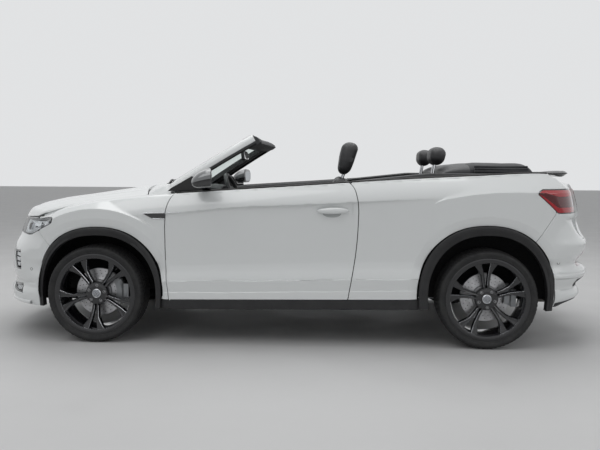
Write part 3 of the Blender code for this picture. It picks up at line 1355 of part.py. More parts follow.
def make_deck():
    """The trim round the cabin's rear: two side rails above the belt and the shelf that carries the roof."""
    x0 = DOOR_REAR[-1][0] + 0.012
    grid_x = np.array([x0, X_REAR - 0.75, X_REAR - 0.55, X_REAR - 0.38, X_REAR - 0.28, X_REAR, X_REAR + 0.20,
                       X_REAR + 0.352])
    top = np.interp(grid_x, [x0, X_REAR - 0.38, X_REAR + 0.3], [1.104, DECK_TOP, DECK_TOP])
    belt = belt_z(grid_x)
    s = place(list(zip(grid_x, belt - 0.02)))[:, 0]
    edge = body(s, belt - 0.02, QUARTER_DEPTH + 0.006)[:, 1]
    high_edge = body(s, belt, QUARTER_DEPTH + 0.006)[:, 1]
    edge[-1] -= 0.015
    high_edge[-1] -= 0.015
    pieces = []
    for side in (-1, 1):
        rings = []
        for a, high, low, e, f in zip(grid_x, top, belt, edge, high_edge):
            rings.append([(a, side * f, low), (a, side * (f - 0.012), high), (a, side * 0.600, high),
                          (a, side * 0.600, high - DECK_THICK), (a, side * (e - 0.012), low - 0.030),
                          (a, side * e, low - 0.020)])
        pieces.append(tube_of_rings(rings))
    pieces.append(block((X_REAR - 0.274, X_REAR + 0.3515), (-0.63, 0.63), (DECK_TOP - DECK_THICK, DECK_TOP - 0.0001)))
    for side in (-1, 1):
        y = side * (LID_HINGE_HALF - BORE_GAP)
        pieces.append(rod((LID_HINGE_X, y, LID_HINGE_Z), (LID_HINGE_X, y - side * 0.030, LID_HINGE_Z), LID_PIN, 8))
        pieces.append(block((X_REAR + 0.340, LID_HINGE_X), sorted((y - side * 0.001, y - side * 0.029)),
                            (LID_HINGE_Z - 0.0020, LID_HINGE_Z + 0.0045)))
    return joined("deck", pieces, "trim")


def make_mirror():
    x = X_FRONT + 0.756
    pieces = [
        pad((x - 0.075, x + 0.075), (-1.035, -0.850), (1.052, 1.184), 0.035),
        block((x - 0.030, x + 0.030), (-0.880, -0.800), (float(belt_z(x + 0.030)) + 0.0008, 1.10)),
    ]
    return joined("mirror", pieces, "gloss_black")


# ---------------------------------------------------------------- running gear
KINGPIN = HUB_FACE - 0.021
ARM_TOP = 0.262
UPPER_ARM = 0.480


def make_subframe():
    pieces = [block((X_FRONT - 0.10, X_FRONT + 0.10), (-0.36, 0.36), (0.235, 0.300))]
    for side in (-1, 1):
        y = sorted((side * 0.34, side * 0.700))
        pieces.append(block((X_FRONT - 0.022, X_FRONT + 0.022), y, (ARM_TOP - 0.027, ARM_TOP)))
        leg = sorted((side * (INNER_WING - 0.075), side * (INNER_WING - 0.025)))
        pieces.append(block((X_FRONT - 0.05, X_FRONT + 0.05), leg, (0.240, 0.370 - TOUCH)))
    return joined("front_subframe", pieces, "black_plastic")


def make_knuckle():
    """The upright that carries a front wheel, with its brake caliper; its origin is on the steering axis."""
    y = -KINGPIN
    pieces = [
        block((-0.030, 0.030), (-0.018, 0.035), (ARM_TOP + TOUCH - AXLE_Z, UPPER_ARM - TOUCH - AXLE_Z)),
        rod((0, 0.0, 0), (0, -(HUB_FACE - KINGPIN - BORE_GAP), 0), 0.050, 20),
        block((0.02, 0.150), (-0.015, 0.015), (-0.045, 0.045)),
        block((0.110, 0.205), (-0.022, 0.010), (-0.060, 0.060)),
        block((DISC_RADIUS + 0.006, 0.205), (-0.085, 0.0), (-0.060, 0.060)),
    ]
    return joined("knuckle", pieces, "steel")


def make_rear_axle():
    """The beam, its trailing arms with their mounts, the hub carriers and the brake calipers."""
    hub = HUB_FACE - BORE_GAP
    pieces = [block((X_REAR - 0.14, X_REAR - 0.06), (-0.59, 0.59), (0.280, 0.345))]
    for side in (-1, 1):
        def across(low, high):
            return sorted((side * low, side * high))

        pieces += [
            block((X_REAR - 0.40, X_REAR + 0.04), across(0.52, 0.59), (0.285, 0.360)),
            block((X_REAR - 0.40, X_REAR - 0.34), across(0.52, 0.59), (0.300, BOOT_FLOOR - 0.030 - TOUCH)),
            block((X_REAR - 0.05, X_REAR + 0.041), across(0.53, 0.690), (0.290, 0.355)),
            rod((X_REAR, side * 0.640, AXLE_Z), (X_REAR, side * hub, AXLE_Z), 0.050, 20),
            block((X_REAR + 0.02, X_REAR + 0.150), across(0.655, 0.685), (AXLE_Z - 0.045, AXLE_Z + 0.045)),
            block((X_REAR + 0.110, X_REAR + 0.200), across(0.670, 0.710), (AXLE_Z - 0.050, AXLE_Z + 0.050)),
            block((X_REAR + 0.115, X_REAR + 0.205), across(0.690, 0.722), (AXLE_Z - 0.060, AXLE_Z + 0.060)),
            block((X_REAR + DISC_RADIUS + 0.006, X_REAR + 0.2045), across(0.700, 0.785), (AXLE_Z - 0.058, AXLE_Z + 0.058)),
        ]
    return joined("rear_axle", pieces, "steel")


def make_engine():
    return add("engine_block", block((X_FRONT - 0.44, X_FRONT + 0.25), (-INNER_WING + 0.0803, INNER_WING - 0.0803),
                                     (0.3003, 0.820)), "steel")


def make_exhaust():
    low = BOOT_FLOOR - 0.030 - TOUCH
    pieces = [
        rod((X_FRONT + 0.30, 0.20, 0.225), (X_REAR - 0.20, 0.20, 0.225), 0.028, 12),
        rod((X_REAR - 0.22, 0.20, 0.222), (X_REAR + 0.42, 0.20, 0.262), 0.028, 12),
        pad((X_REAR + 0.36, X_REAR + 0.56), (-0.42, 0.42), (0.235, 0.345), 0.03),
        block((X_REAR + 0.44, X_REAR + 0.48), (-0.20, -0.16), (0.320, low)),
        block((X_FRONT + 0.70, X_FRONT + 0.74), (0.18, 0.22), (0.235, FLOOR_LOW - TOUCH)),
    ]
    return joined("exhaust", pieces, "steel")


def make_tank():
    return add("fuel_tank", block((X_REAR - 1.02, X_REAR - 0.56), (-0.52, 0.12), (0.190, FLOOR_LOW - TOUCH)),
               "black_plastic")


def make_diffuser():
    s = np.linspace(s_at_half_width(DIFFUSER_HALF + 0.06, 1), S_TAIL, 9)
    s, z = np.meshgrid(s, np.array([0.290, 0.330, 0.400, DIFFUSER_TOP - SEAM]))
    panel = add("diffuser", shell(both_sides(body(s, z)), both_sides(body(s, z, SKIN))), "black_plastic")
    for side in (-1, 1):
        cut(panel, block((X_TAIL - 0.5, X_TAIL + 0.1), sorted((side * (DIFFUSER_HALF - SEAM), side * 0.99)), (0.1, 0.6)))
    return panel


def main():
    for obj in list(bpy.data.objects):
        bpy.data.objects.remove(obj, do_unlink=True)
    make_wheels()
    pivot((BONNET_HINGE_X, 0, BONNET_HINGE_Z), make_bonnet())
    pair("fender", make_fender())
    door_left, door_right = pair("door", make_door())
    pair("quarter", make_quarter())
    make_front_bumper()
    make_grille()
    pair("headlamp", make_lamp("headlamp", True, "lamp"))
    pair("taillamp", make_lamp("taillamp", False, "red_lamp"))
    make_rear_bumper()
    pivot((LID_HINGE_X, 0, LID_HINGE_Z), make_boot_lid(), make_spoiler())
    pair("cladding", make_cladding())
    make_screen_frame()
    make_glass()
    make_floor()
    make_front_structure()
    make_rear_structure()
    make_seat("seat_front_l", -0.370)
    make_seat("seat_front_r", 0.370)
    make_rear_seat()
    make_dashboard()
    make_steering_wheel()
    make_soft_top()
    make_deck()
    mirrors = pair("mirror", make_mirror())
    for side, door, mirror in zip((-1, 1), (door_left, door_right), mirrors):
        pivot((HINGE_X, side * HINGE_HALF, 0.6), door, mirror)
    make_subframe()
    for side, obj in zip((-1, 1), pair("knuckle", make_knuckle())):
        obj.location = (X_FRONT, side * KINGPIN, AXLE_Z)
    make_rear_axle()
    make_engine()
    make_exhaust()
    make_tank()
    make_diffuser()
    for obj in bpy.data.objects:
        even_out(obj)
    bpy.context.view_layer.update()


main()
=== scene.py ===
import math

import bmesh
import bpy
import numpy as np
from mathutils import Matrix, Vector
from mathutils.geometry import delaunay_2d_cdt


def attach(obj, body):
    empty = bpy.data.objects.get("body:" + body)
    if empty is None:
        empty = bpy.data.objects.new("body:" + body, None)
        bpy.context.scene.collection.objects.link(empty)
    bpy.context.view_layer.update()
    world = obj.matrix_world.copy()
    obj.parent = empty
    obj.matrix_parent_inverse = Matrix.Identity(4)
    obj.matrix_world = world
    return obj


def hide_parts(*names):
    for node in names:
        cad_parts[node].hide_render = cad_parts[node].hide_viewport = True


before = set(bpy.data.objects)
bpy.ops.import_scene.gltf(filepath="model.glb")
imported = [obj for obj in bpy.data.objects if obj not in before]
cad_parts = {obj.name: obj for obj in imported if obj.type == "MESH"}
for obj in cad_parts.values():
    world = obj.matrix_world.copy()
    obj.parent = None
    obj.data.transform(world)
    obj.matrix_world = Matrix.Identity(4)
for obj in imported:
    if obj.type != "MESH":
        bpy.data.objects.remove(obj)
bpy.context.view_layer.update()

# Metres; -X is the front, -Y the car's left side, +Z up.
X_NOSE, X_TAIL = -2.134, 2.134
X_FRONT, X_REAR = -1.294, 1.336
AXLE_Z, TRACK = 0.331, 1.542
SIDE = 0.885  # half width that side offsets are counted from
SHUT, SEAM = 0.005, 0.003  # gaps round opening panels and between fixed ones
HALF_SEAM = SEAM / 2
STEP = 0.008  # spacing of the points round a panel
ARCH_POWER = 2.25  # of the superellipse over a wheel
GRILLE_HALF, LID_HALF = 0.44, 0.598
SIDES = (-1, "l"), (1, "r")
LEFT = np.array([1, -1, 1])  # turns a point with a half width into one on the left, and mirrors a piece


# ---------------------------------------------------------------- curves
def smooth(t):
    """0 below 0, 1 above 1, and a soft step between."""
    t = np.clip(t, 0.0, 1.0)
    return t * t * (3 - 2 * t)


def curve(points):
    """A smooth function through (place, value) points, flat beyond its ends."""
    px, py = (np.array(c, float) for c in zip(*points))
    slope = np.gradient(py, px)

    def value(x):
        x = np.clip(np.asarray(x, float), px[0], px[-1])
        i = np.clip(np.searchsorted(px, x) - 1, 0, len(px) - 2)
        w = px[i + 1] - px[i]
        t = (x - px[i]) / w
        a = (1 + 2 * t) * (1 - t) ** 2 * py[i] + t * (1 - t) ** 2 * w * slope[i]
        return a + t * t * (3 - 2 * t) * py[i + 1] + t * t * (t - 1) * w * slope[i + 1]

    return value


def bezier(p, t):
    """Points of a cubic curve."""
    t = np.asarray(t, float)[:, None]
    p = np.array(p, float)
    return (1 - t) ** 3 * p[0] + 3 * (1 - t) ** 2 * t * p[1] + 3 * (1 - t) * t * t * p[2] + t**3 * p[3]


def lengths(points):
    """The running length along a polyline."""
    return np.concatenate([[0], np.cumsum(np.linalg.norm(np.diff(points, axis=0), axis=1))])


def spread(points, step=None, count=None):
    """Points evenly spaced along a polyline."""
    points = np.array(points, float)
    run = lengths(points)
    n = count or max(2, int(run[-1] / step) + 1)
    at = np.linspace(0, run[-1], n)
    return np.stack([np.interp(at, run, points[:, k]) for k in range(points.shape[1])], axis=1)


def spline(points, step):
    """A smooth line through points, sampled every step."""
    points = np.array(points, float)
    run = lengths(points)
    at = np.linspace(0, run[-1], max(3, int(run[-1] / step) + 1))
    return np.stack([curve(list(zip(run, points[:, k])))(at) for k in range(points.shape[1])], axis=1)


# ---------------------------------------------------------------- lines along the side
def along(rows):
    """A smooth function of x from rows of (axle, distance behind it, value)."""
    axle = {"f": X_FRONT, "r": X_REAR}
    return curve([(axle[n] + d, h) for n, d, h in rows])


belt_z = along([("f", -0.46, 0.835), ("f", -0.25, 0.904), ("f", -0.05, 0.948), ("f", 0.28, 0.988), ("f", 0.71, 1.022),
                ("r", -1.25, 1.067), ("r", -0.61, 1.111), ("r", -0.06, 1.141), ("r", 0.33, 1.158), ("r", 0.42, 1.156)])
line_z = along([("f", -0.40, 0.780), ("f", 0.30, 0.870), ("f", 0.60, 0.893), ("f", 0.90, 0.925), ("r", -1.24, 0.949),
                ("r", -0.41, 0.994), ("r", 0.30, 1.015)])
skirt_z = along([("f", -0.40, 0.423), ("f", 0.51, 0.430), ("r", -0.48, 0.463), ("r", 0.5, 0.475)])
sill_z = along([("f", 0.50, 0.303), ("r", -0.47, 0.326)])
under_z = along([("f", 0.50, 0.240), ("r", -0.47, 0.258)])
lean = along([("f", -0.45, 0.080), ("f", -0.30, 0.088), ("f", -0.05, 0.070), ("f", 0.30, 0.048), ("r", -0.9, 0.055),
              ("r", 0.4, 0.085)])
line_depth = along([("f", 0.25, 0.0), ("f", 0.50, 0.009), ("r", -0.60, 0.009), ("r", -0.36, 0.0)])


def wing_crest(x):
    """Height of the ridge over the front wheel."""
    return 0.912 - 0.834 * (x - X_FRONT - 0.020) ** 2


haunch_crest = along([("r", -0.60, 0.760), ("r", -0.47, 0.885), ("r", -0.33, 0.978), ("r", -0.2, 1.009),
                      ("r", 0.0, 1.034), ("r", 0.35, 1.040)])
# The side between the pressed line (1) and the skirt's upper edge (0): how far it stands in.
flank = curve([(0.0, 0.0015), (0.03, -0.001), (0.08, -0.007), (0.13, -0.0145), (0.20, -0.0195), (0.32, -0.0205),
               (0.5, -0.0165), (0.75, -0.0090), (1.0, 0.0)])
# Wheel arches: middle, half width and height of the black band's outer edge, and of its inner edge.
FRONT_ARCH = (X_FRONT + 0.0245, 0.4375, 0.788)
REAR_ARCH = (X_REAR - 0.0115, 0.4525, 0.820)
FRONT_LIP = (X_FRONT + 0.023, 0.402, 0.733)
REAR_LIP = (X_REAR - 0.005, 0.395, 0.757)


def arch(shape, grow=0.0, low=0.30):
    """(x, z) points over a wheel arch, from the front foot to the rear foot."""
    middle, half, top = shape
    half, top = half + grow, top + grow
    t = np.linspace(0, math.pi, 121)
    c, q = np.cos(t), np.sin(t)
    power = 2 / ARCH_POWER
    x = middle - half * np.sign(c) * np.abs(c) ** power
    z = AXLE_Z + (top - AXLE_Z) * np.abs(q) ** power
    return spread([(x[0] + 0.012, low), *zip(x, z), (x[-1] - 0.012, low)], STEP)


def outside_arch(shape, x, z):
    """Roughly how far a place lies outside a wheel arch."""
    middle, half, top = shape
    up = np.maximum(z - AXLE_Z, 0)
    ratio = ((np.abs(x - middle) / half) ** ARCH_POWER + (up / (top - AXLE_Z)) ** ARCH_POWER) ** (1 / ARCH_POWER)
    return (ratio - 1) * 0.5 * (half + top - AXLE_Z)


def soft_max(a, b, r):
    """The larger of two values, rounded over r where they meet."""
    return 0.5 * (a + b + np.sqrt((a - b) ** 2 + r * r))


LIP_WIDTH, LIP_DEPTH = 0.058, 0.014  # the facet pressed into the body round each wheel arch


def arch_facet(x, z):
    """How deep the facet round the wheel arches is pressed in."""
    near = np.minimum(outside_arch(FRONT_ARCH, x, z), outside_arch(REAR_ARCH, x, z))
    return LIP_DEPTH * np.clip(1 - near / LIP_WIDTH, 0, 1.2)


def side_offset(x, z):
    """How far the side stands outside SIDE at a place along the car and a height."""
    belt, line, step = belt_z(x), line_z(x), skirt_z(x)
    up = np.clip((z - line) / (belt - line), 0, 1.3)
    shoulder = 0.008 - (0.008 + lean(x)) * up**1.6
    down = np.clip((z - step) / (line - step), 0, 1)
    door = 0.008 - line_depth(x) * (1 - np.exp(-np.maximum(line - z, 0) / 0.007)) + flank(down)
    skirt = 0.0035 - 0.009 * np.clip((step - z) / 0.075, 0, 1) + 0.004 * smooth((step - 0.075 - z) / 0.006)
    wide = np.where(z > line, shoulder, np.where(z > step, door, skirt))
    # The convex ridges over both wheels.
    low = 0.05 * (1 - smooth((z - step - 0.02) / 0.12))
    over = z - wing_crest(x)
    front = 0.0195 - 1.35 * np.maximum(over, 0) + 0.02 * np.minimum(over, 0) - low
    front = front - 0.10 * smooth((x - X_FRONT - 0.30) / 0.35) - 0.03 * smooth((X_FRONT - 0.25 - x) / 0.30)
    over = z - haunch_crest(x)
    rear = 0.0195 - 0.75 * np.maximum(over, 0) + 0.03 * np.minimum(over, 0) - low
    rear = rear - 0.10 * smooth((X_REAR - 0.28 - x) / 0.34)
    wide = soft_max(wide, np.where(x < 0, front, rear), 0.004) - arch_facet(x, z)
    return np.minimum(wide, 0.0205)


# ---------------------------------------------------------------- the body's plan outline
def plan_table():
    """Columns s, x, y, outward x, outward y. s is x on the straight side and runs on round both corners."""
    t = np.linspace(0, 1, 241)
    rows = []
    nose = [(-1.40, SIDE), (-1.822, SIDE), (X_NOSE, SIDE - 0.263), (X_NOSE, 0.0)]
    tail = [(1.55, SIDE), (1.858, SIDE), (X_TAIL, SIDE - 0.010), (X_TAIL, 0.0)]
    for points, sign in ((nose, -1), (tail, 1)):
        xy = bezier(points, t)
        ax, ay = np.gradient(xy[:, 0]), np.gradient(xy[:, 1])
        size = np.hypot(ax, ay)
        rows.append(np.stack([xy[0, 0] + sign * lengths(xy), xy[:, 0], xy[:, 1], sign * np.abs(ay) / size,
                              np.abs(ax) / size], axis=1))
    return np.concatenate([rows[0][::-1], rows[1]])


PLAN = plan_table()
S_NOSE, S_TAIL = PLAN[0, 0], PLAN[-1, 0]
nose_back = curve([
    (0.200, 0.110), (0.225, 0.045), (0.255, 0.013), (0.290, 0.000), (0.325, 0.004), (0.350, 0.020), (0.476, 0.010),
    (0.573, 0.017), (0.642, 0.036), (0.691, 0.062), (0.773, 0.090), (0.830, 0.115), (0.884, 0.165), (0.930, 0.240)])
tail_back = curve([
    (0.280, 0.200), (0.310, 0.090), (0.420, 0.060), (0.470, 0.012), (0.515, 0.004), (0.545, 0.050), (0.640, 0.016),
    (0.700, 0.000), (0.740, 0.030), (0.825, 0.068), (0.891, 0.076), (1.000, 0.100), (1.070, 0.128), (1.083, 0.137),
    (1.124, 0.192), (1.160, 0.260)])


# Pressed lines round the corners: both ends (s, z), height and reach above and below the line.
CREASES = [((-2.60, 0.394), (-1.745, 0.385), -0.006, 0.020, 0.004),
           ((1.770, 0.502), (2.250, 0.500), -0.008, 0.022, 0.004),
           ((1.800, 0.393), (2.200, 0.390), -0.005, 0.004, 0.018)]
FACET_TOP = 0.872  # the fold under the tail lamp
FACET_LINE = ((1.815, 0.872), (2.112, 0.690))


def creases(s, z):
    """How far folds and pressed lines move the skin."""
    move = np.zeros_like(s)
    for (s0, z0), (s1, z1), height, above, below in CREASES:
        over = z - np.interp(s, [s0, s1], [z0, z1])
        edge = smooth((s - s0) / 0.05) * smooth((s1 - s) / 0.08)
        move = move + edge * height * np.clip(1 - np.where(over > 0, over / above, -over / below), 0, 1)
    (s0, z0), (s1, z1) = FACET_LINE
    length = math.hypot(s1 - s0, z1 - z0)
    over = ((s - s0) * (z0 - z1) + (z - z0) * (s1 - s0)) / length
    deep = 0.020 * np.clip(over / 0.085, 0, 1) * smooth((FACET_TOP - z) / 0.008) * smooth((2.30 - s) / 0.12)
    return move - deep * (s > s0 - 0.02)


def body(s, z):
    """Points (x, half width, z) of the body's skin, at s along the plan outline and height z."""
    s, z = np.broadcast_arrays(np.asarray(s, float), np.asarray(z, float))
    x, y, out_x, out_y = (np.interp(s, PLAN[:, 0], PLAN[:, k]) for k in (1, 2, 3, 4))
    front = smooth((-1.50 - s) / 0.60)
    rear = smooth((s - 1.65) / 0.50)
    offset = side_offset(np.clip(x, X_FRONT - 0.40, X_REAR + 0.42), z) * (1 - front - rear)
    offset = offset - nose_back(z) * front - tail_back(z) * rear + creases(s, z)
    return np.stack([x + out_x * offset, y + out_y * offset, z], axis=-1)


def s_at(x, z):
    """s of the skin's point at x and z on the side."""
    x, z = np.broadcast_arrays(np.asarray(x, float), np.asarray(z, float))
    s = x.copy()
    for _ in range(30):
        s = np.clip(s + (x - body(s, z)[..., 0]) * 0.8, S_NOSE, S_TAIL)
    return s


def s_at_half(y, end):
    """s at a half width, on the nose (-1) or the tail (1)."""
    side = PLAN[PLAN[:, 0] < 0] if end < 0 else PLAN[PLAN[:, 0] > 0][::-1]
    return np.interp(y, side[:, 2], side[:, 0])


def side_map(u, v):
    """The left side: u is s, v is z."""
    return body(u, v) * LEFT


def round_end(middle, way):
    """The skin round one end of the car: u is the distance from its middle, negative on the left."""
    def surface(u, v):
        p = body(middle + way * np.abs(u), v)
        p[..., 1] *= np.sign(u)
        return p

    return surface


nose_map, tail_map = round_end(S_NOSE, 1), round_end(S_TAIL, -1)


# ---------------------------------------------------------------- meshes
class Geo:
    """Points, faces and, where they are known, the points' normals."""

    def __init__(self, points, faces, normals=None):
        self.p = np.array(points, float).reshape(-1, 3)
        self.f = [tuple(int(i) for i in f) for f in faces]
        self.n = None if normals is None else np.array(normals, float).reshape(-1, 3)

    def turned(self):
        return Geo(self.p, [f[::-1] for f in self.f], None if self.n is None else -self.n)

    def mirrored(self):
        return Geo(self.p * LEFT, [f[::-1] for f in self.f], None if self.n is None else self.n * LEFT)

    def moved(self, offset):
        return Geo(self.p + np.array(offset), self.f, self.n)

    def spun(self, angle, axis=1):
        """Turned about an axis through the origin."""
        c, q = math.cos(angle), math.sin(angle)
        i, j = [(1, 2), (2, 0), (0, 1)][axis]
        m = np.eye(3)
        m[i, i] = m[j, j] = c
        m[i, j], m[j, i] = -q, q
        return Geo(self.p @ m.T, self.f, None if self.n is None else self.n @ m.T)


def merged(parts):
    """Several pieces as one."""
    points, faces, normals, at = [], [], [], 0
    for g in parts:
        points.append(g.p)
        faces += [tuple(i + at for i in f) for f in g.f]
        normals.append(g.n if g.n is not None else np.zeros_like(g.p))
        at += len(g.p)
    whole = Geo(np.concatenate(points), faces)
    if any(g.n is not None for g in parts):
        whole.n = np.concatenate(normals)
    return whole


def emit(name, geo, mat, body_name="body", slot=None, replaces=None, sharp=35):
    """Makes the object, lets it ride on its body and hides the part that it replaces."""
    mesh = bpy.data.meshes.new(name)
    mesh.from_pydata(geo.p.tolist(), [], geo.f)
    mesh.validate()
    mesh.shade_smooth()
    mesh.set_sharp_from_angle(angle=math.radians(sharp))
    if geo.n is not None and len(mesh.vertices) == len(geo.n):
        if (np.linalg.norm(geo.n, axis=1) > 0.5).all():  # merged() leaves zeros where a part has no normals
            mesh.set_sharp_from_angle(angle=math.pi)
            mesh.normals_split_custom_set_from_vertices(geo.n.tolist())
    mesh.materials.append(mat)
    obj = bpy.data.objects.new(name, mesh)
    bpy.context.scene.collection.objects.link(obj)
    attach(obj, body_name)
    if replaces:
        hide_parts(replaces)
    return obj


def both(stem, geo, mat, body_name="body", replaces=None, **more):
    """A left piece and its mirror image on the right."""
    made = []
    for side, g in (("l", geo), ("r", geo.mirrored())):
        node = replaces.format(side) if replaces else None
        made.append(emit(f"{stem}_{side}", g, mat, body_name.format(side), replaces=node, **more))
    return made


def normals_of(surface, u, v):
    """A surface's unit normals, which point out of the car."""
    e = 0.0007  # half the distance over which the surface is compared
    n = np.cross(surface(u + e, v) - surface(u - e, v), surface(u, v + e) - surface(u, v - e))
    n = n / np.maximum(np.linalg.norm(n, axis=-1, keepdims=True), 1e-12)
    p = surface(u, v)
    centre = np.stack([p[..., 0] * 0.55, np.zeros_like(p[..., 0]), np.full_like(p[..., 0], 0.45)], axis=-1)
    return n if (n * (p - centre)).sum() > 0 else -n


def raised(surface, d):
    """The same surface moved out by d."""
    return lambda u, v: surface(u, v) + d * normals_of(surface, u, v)


def within(points, loop):
    """Which 2-D points lie inside a closed loop."""
    x, y = points[:, 0:1], points[:, 1:2]
    x0, y0 = loop[:, 0], loop[:, 1]
    x1, y1 = np.roll(x0, -1), np.roll(y0, -1)
    crosses = (y0 > y) != (y1 > y)
    with np.errstate(divide="ignore", invalid="ignore"):
        at = (x1 - x0) * (y - y0) / (y1 - y0) + x0
    return (crosses & (x < at)).sum(axis=1) % 2 == 1


def area_of(loop):
    """A loop's area, above 0 when it runs counter-clockwise."""
    x, y = loop[:, 0], loop[:, 1]
    return 0.5 * float(np.sum(x * np.roll(y, -1) - np.roll(x, -1) * y))


def closed(curves, step):
    """A counter-clockwise loop from curves that follow one another, evenly sampled, corners kept."""
    points = []
    for c in curves:
        c = spread(c, step)
        points.append(c[:-1] if len(c) > 1 else c)
    loop = np.concatenate(points)
    keep = np.linalg.norm(loop - np.roll(loop, 1, axis=0), axis=1) > step * 0.12
    loop = loop[keep]
    return loop if area_of(loop) > 0 else loop[::-1]


def inset(loop, d):
    """A counter-clockwise loop moved inwards by d."""
    ahead = np.roll(loop, -1, axis=0) - loop
    ahead /= np.maximum(np.linalg.norm(ahead, axis=1, keepdims=True), 1e-12)
    behind = np.roll(ahead, 1, axis=0)
    n1 = np.stack([-ahead[:, 1], ahead[:, 0]], axis=1)
    n0 = np.stack([-behind[:, 1], behind[:, 0]], axis=1)
    mid = (n0 + n1) / np.maximum(1 + (n0 * n1).sum(axis=1, keepdims=True), 0.45)
    return loop + mid * d


def filled(loop, cell, holes=(), rows=None):
    """Triangles over a 2-D region: (points, faces), with the loop's points first."""
    lo, hi = loop.min(axis=0), loop.max(axis=0)
    gx = np.arange(lo[0], hi[0] + cell, cell)
    gy = np.arange(lo[1], hi[1] + cell, cell * 0.87)
    grid = np.stack(np.meshgrid(gx, gy), axis=-1)
    grid[1::2, :, 0] += cell / 2
    grid = grid.reshape(-1, 2)
    if rows is not None:
        grid = np.concatenate([grid] + [np.stack([gx, r(gx)], axis=1) for r in rows])
    grid = grid[within(grid, loop)]
    edge = np.concatenate([loop, *holes]) if len(holes) else loop
    for hole in holes:
        grid = grid[~within(grid, hole)]
    if len(grid):
        near = np.full(len(grid), 9.0)
        for k in range(0, len(edge), 200):
            part = edge[k:k + 200]
            near = np.minimum(near, np.sqrt(((grid[:, None] - part[None]) ** 2).sum(-1)).min(axis=1))
        grid = grid[near > cell * 0.5]
    points = np.concatenate([edge, grid])
    edges, at = [], 0
    for ring in (loop, *holes):
        n = len(ring)
        edges += [(at + i, at + (i + 1) % n) for i in range(n)]
        at += n
    out = delaunay_2d_cdt([Vector(p) for p in points], edges, [], 0, 1e-9)
    verts = np.array([tuple(v) for v in out[0]])
    faces = np.array([f for f in out[2] if len(f) == 3])
    middle = verts[faces].mean(axis=1)
    keep = within(middle, loop)
    for hole in holes:
        keep &= ~within(middle, hole)
    return verts, faces[keep]


def strips(rings, normals):
    """Quads between rings of points with equal counts."""
    rings, normals = np.array(rings), np.array(normals)
    rows, n = rings.shape[:2]
    faces = [(i * n + j, i * n + (j + 1) % n, (i + 1) * n + (j + 1) % n, (i + 1) * n + j)
             for i in range(rows - 1) for j in range(n)]
    return Geo(rings, faces, normals)


def edge_rings(surface, loop, radius, lip, outward=1):
    """The rounded edge and the return behind it, round a loop (counter-clockwise, outward 1, or a hole's, -1)."""
    base = inset(loop, radius * outward)
    p = surface(base[:, 0], base[:, 1])
    n = normals_of(surface, base[:, 0], base[:, 1])
    along_ = np.roll(p, -1, axis=0) - np.roll(p, 1, axis=0)
    t = np.cross(along_, n)
    t /= np.maximum(np.linalg.norm(t, axis=1, keepdims=True), 1e-12)
    out = surface(loop[:, 0], loop[:, 1]) - p
    t *= np.sign((t * out).sum(axis=1, keepdims=True) + 1e-15)
    rings, normals = [], []
    for a in np.radians([0, 22, 45, 68, 90]):
        rings.append(p + radius * (math.sin(a) * t - (1 - math.cos(a)) * n))
        normals.append(math.cos(a) * n + math.sin(a) * t)
    rings.append(rings[-1] - n * lip)
    normals.append(t)
    made = strips(rings, normals)
    a, b, c = (made.p[i] for i in made.f[0][:3])
    if np.dot(np.cross(b - a, c - a), n[0]) < 0:
        made.f = [f[::-1] for f in made.f]
    return base, made


def panel(surface, loop, radius=0.0022, lip=0.012, cell=0.013, holes=(), back=None, rows=None, rim=True):
    """A sheet over a loop of the surface, with rounded edges turned in."""
    parts, inner_holes = [], []
    if rim:
        base, made = edge_rings(surface, loop, radius, lip)
        parts.append(made)
    else:
        base = loop
    for hole in holes:
        hole_base, made = edge_rings(surface, hole, radius, lip, -1)
        inner_holes.append(hole_base)
        parts.append(made)
    verts, faces = filled(base, cell, inner_holes, rows)
    p = surface(verts[:, 0], verts[:, 1])
    n = normals_of(surface, verts[:, 0], verts[:, 1])
    a, b, c = (p[faces[:, k]] for k in range(3))
    if (np.cross(b - a, c - a) * n[faces[:, 0]]).sum() < 0:
        faces = faces[:, ::-1]
    parts.append(Geo(p, faces, n))
    if back:
        parts.append(Geo(p - n * back, faces[:, ::-1], -n))
    return merged(parts)


# ---------------------------------------------------------------- plain shapes
def surface_of(rows):
    """An open surface through rows of points."""
    return loft(rows, False, False)


def lathe(profile, steps=96, sink=None):
    """Turns (radius, across) points about the Y axis; sink(angle, across) lowers some of them."""
    profile = np.array(profile, float)
    a = np.arange(steps) * math.tau / steps
    r = np.broadcast_to(profile[:, 0], (steps, len(profile))).copy()
    if sink:
        r = r - sink(a[:, None], profile[None, :, 1])
    points = np.stack([r * np.cos(a)[:, None], np.broadcast_to(profile[:, 1], r.shape), r * np.sin(a)[:, None]], -1)
    n = len(profile)
    faces = [(i * n + j, ((i + 1) % steps) * n + j, ((i + 1) % steps) * n + j + 1, i * n + j + 1)
             for i in range(steps) for j in range(n - 1)]
    return Geo(points, faces)


def loft(rings, caps=True, around=True):
    """A skin over rings with equal counts of points."""
    rings = np.array(rings, float)
    rows, n = rings.shape[:2]
    faces = [(i * n + j, i * n + (j + 1) % n, (i + 1) * n + (j + 1) % n, (i + 1) * n + j)
             for i in range(rows - 1) for j in range(n if around else n - 1)]
    if caps:
        faces += [tuple(range(n))[::-1], tuple((rows - 1) * n + j for j in range(n))]
    return Geo(rings, faces)


def tube(path, radius, sides=10):
    """A round rod along a path; radius may be a list."""
    path = np.array(path, float)
    radius = np.broadcast_to(radius, len(path))
    ahead = np.gradient(path, axis=0)
    ahead /= np.linalg.norm(ahead, axis=1, keepdims=True)
    side = np.cross(ahead[0], (0.31, 0.17, 0.93))
    rings = []
    a = np.arange(sides) * math.tau / sides
    for p, d, r in zip(path, ahead, radius):
        side = side - d * side.dot(d)
        side /= np.linalg.norm(side)
        up = np.cross(d, side)
        rings.append(p + r * (np.cos(a)[:, None] * side + np.sin(a)[:, None] * up))
    return loft(rings)


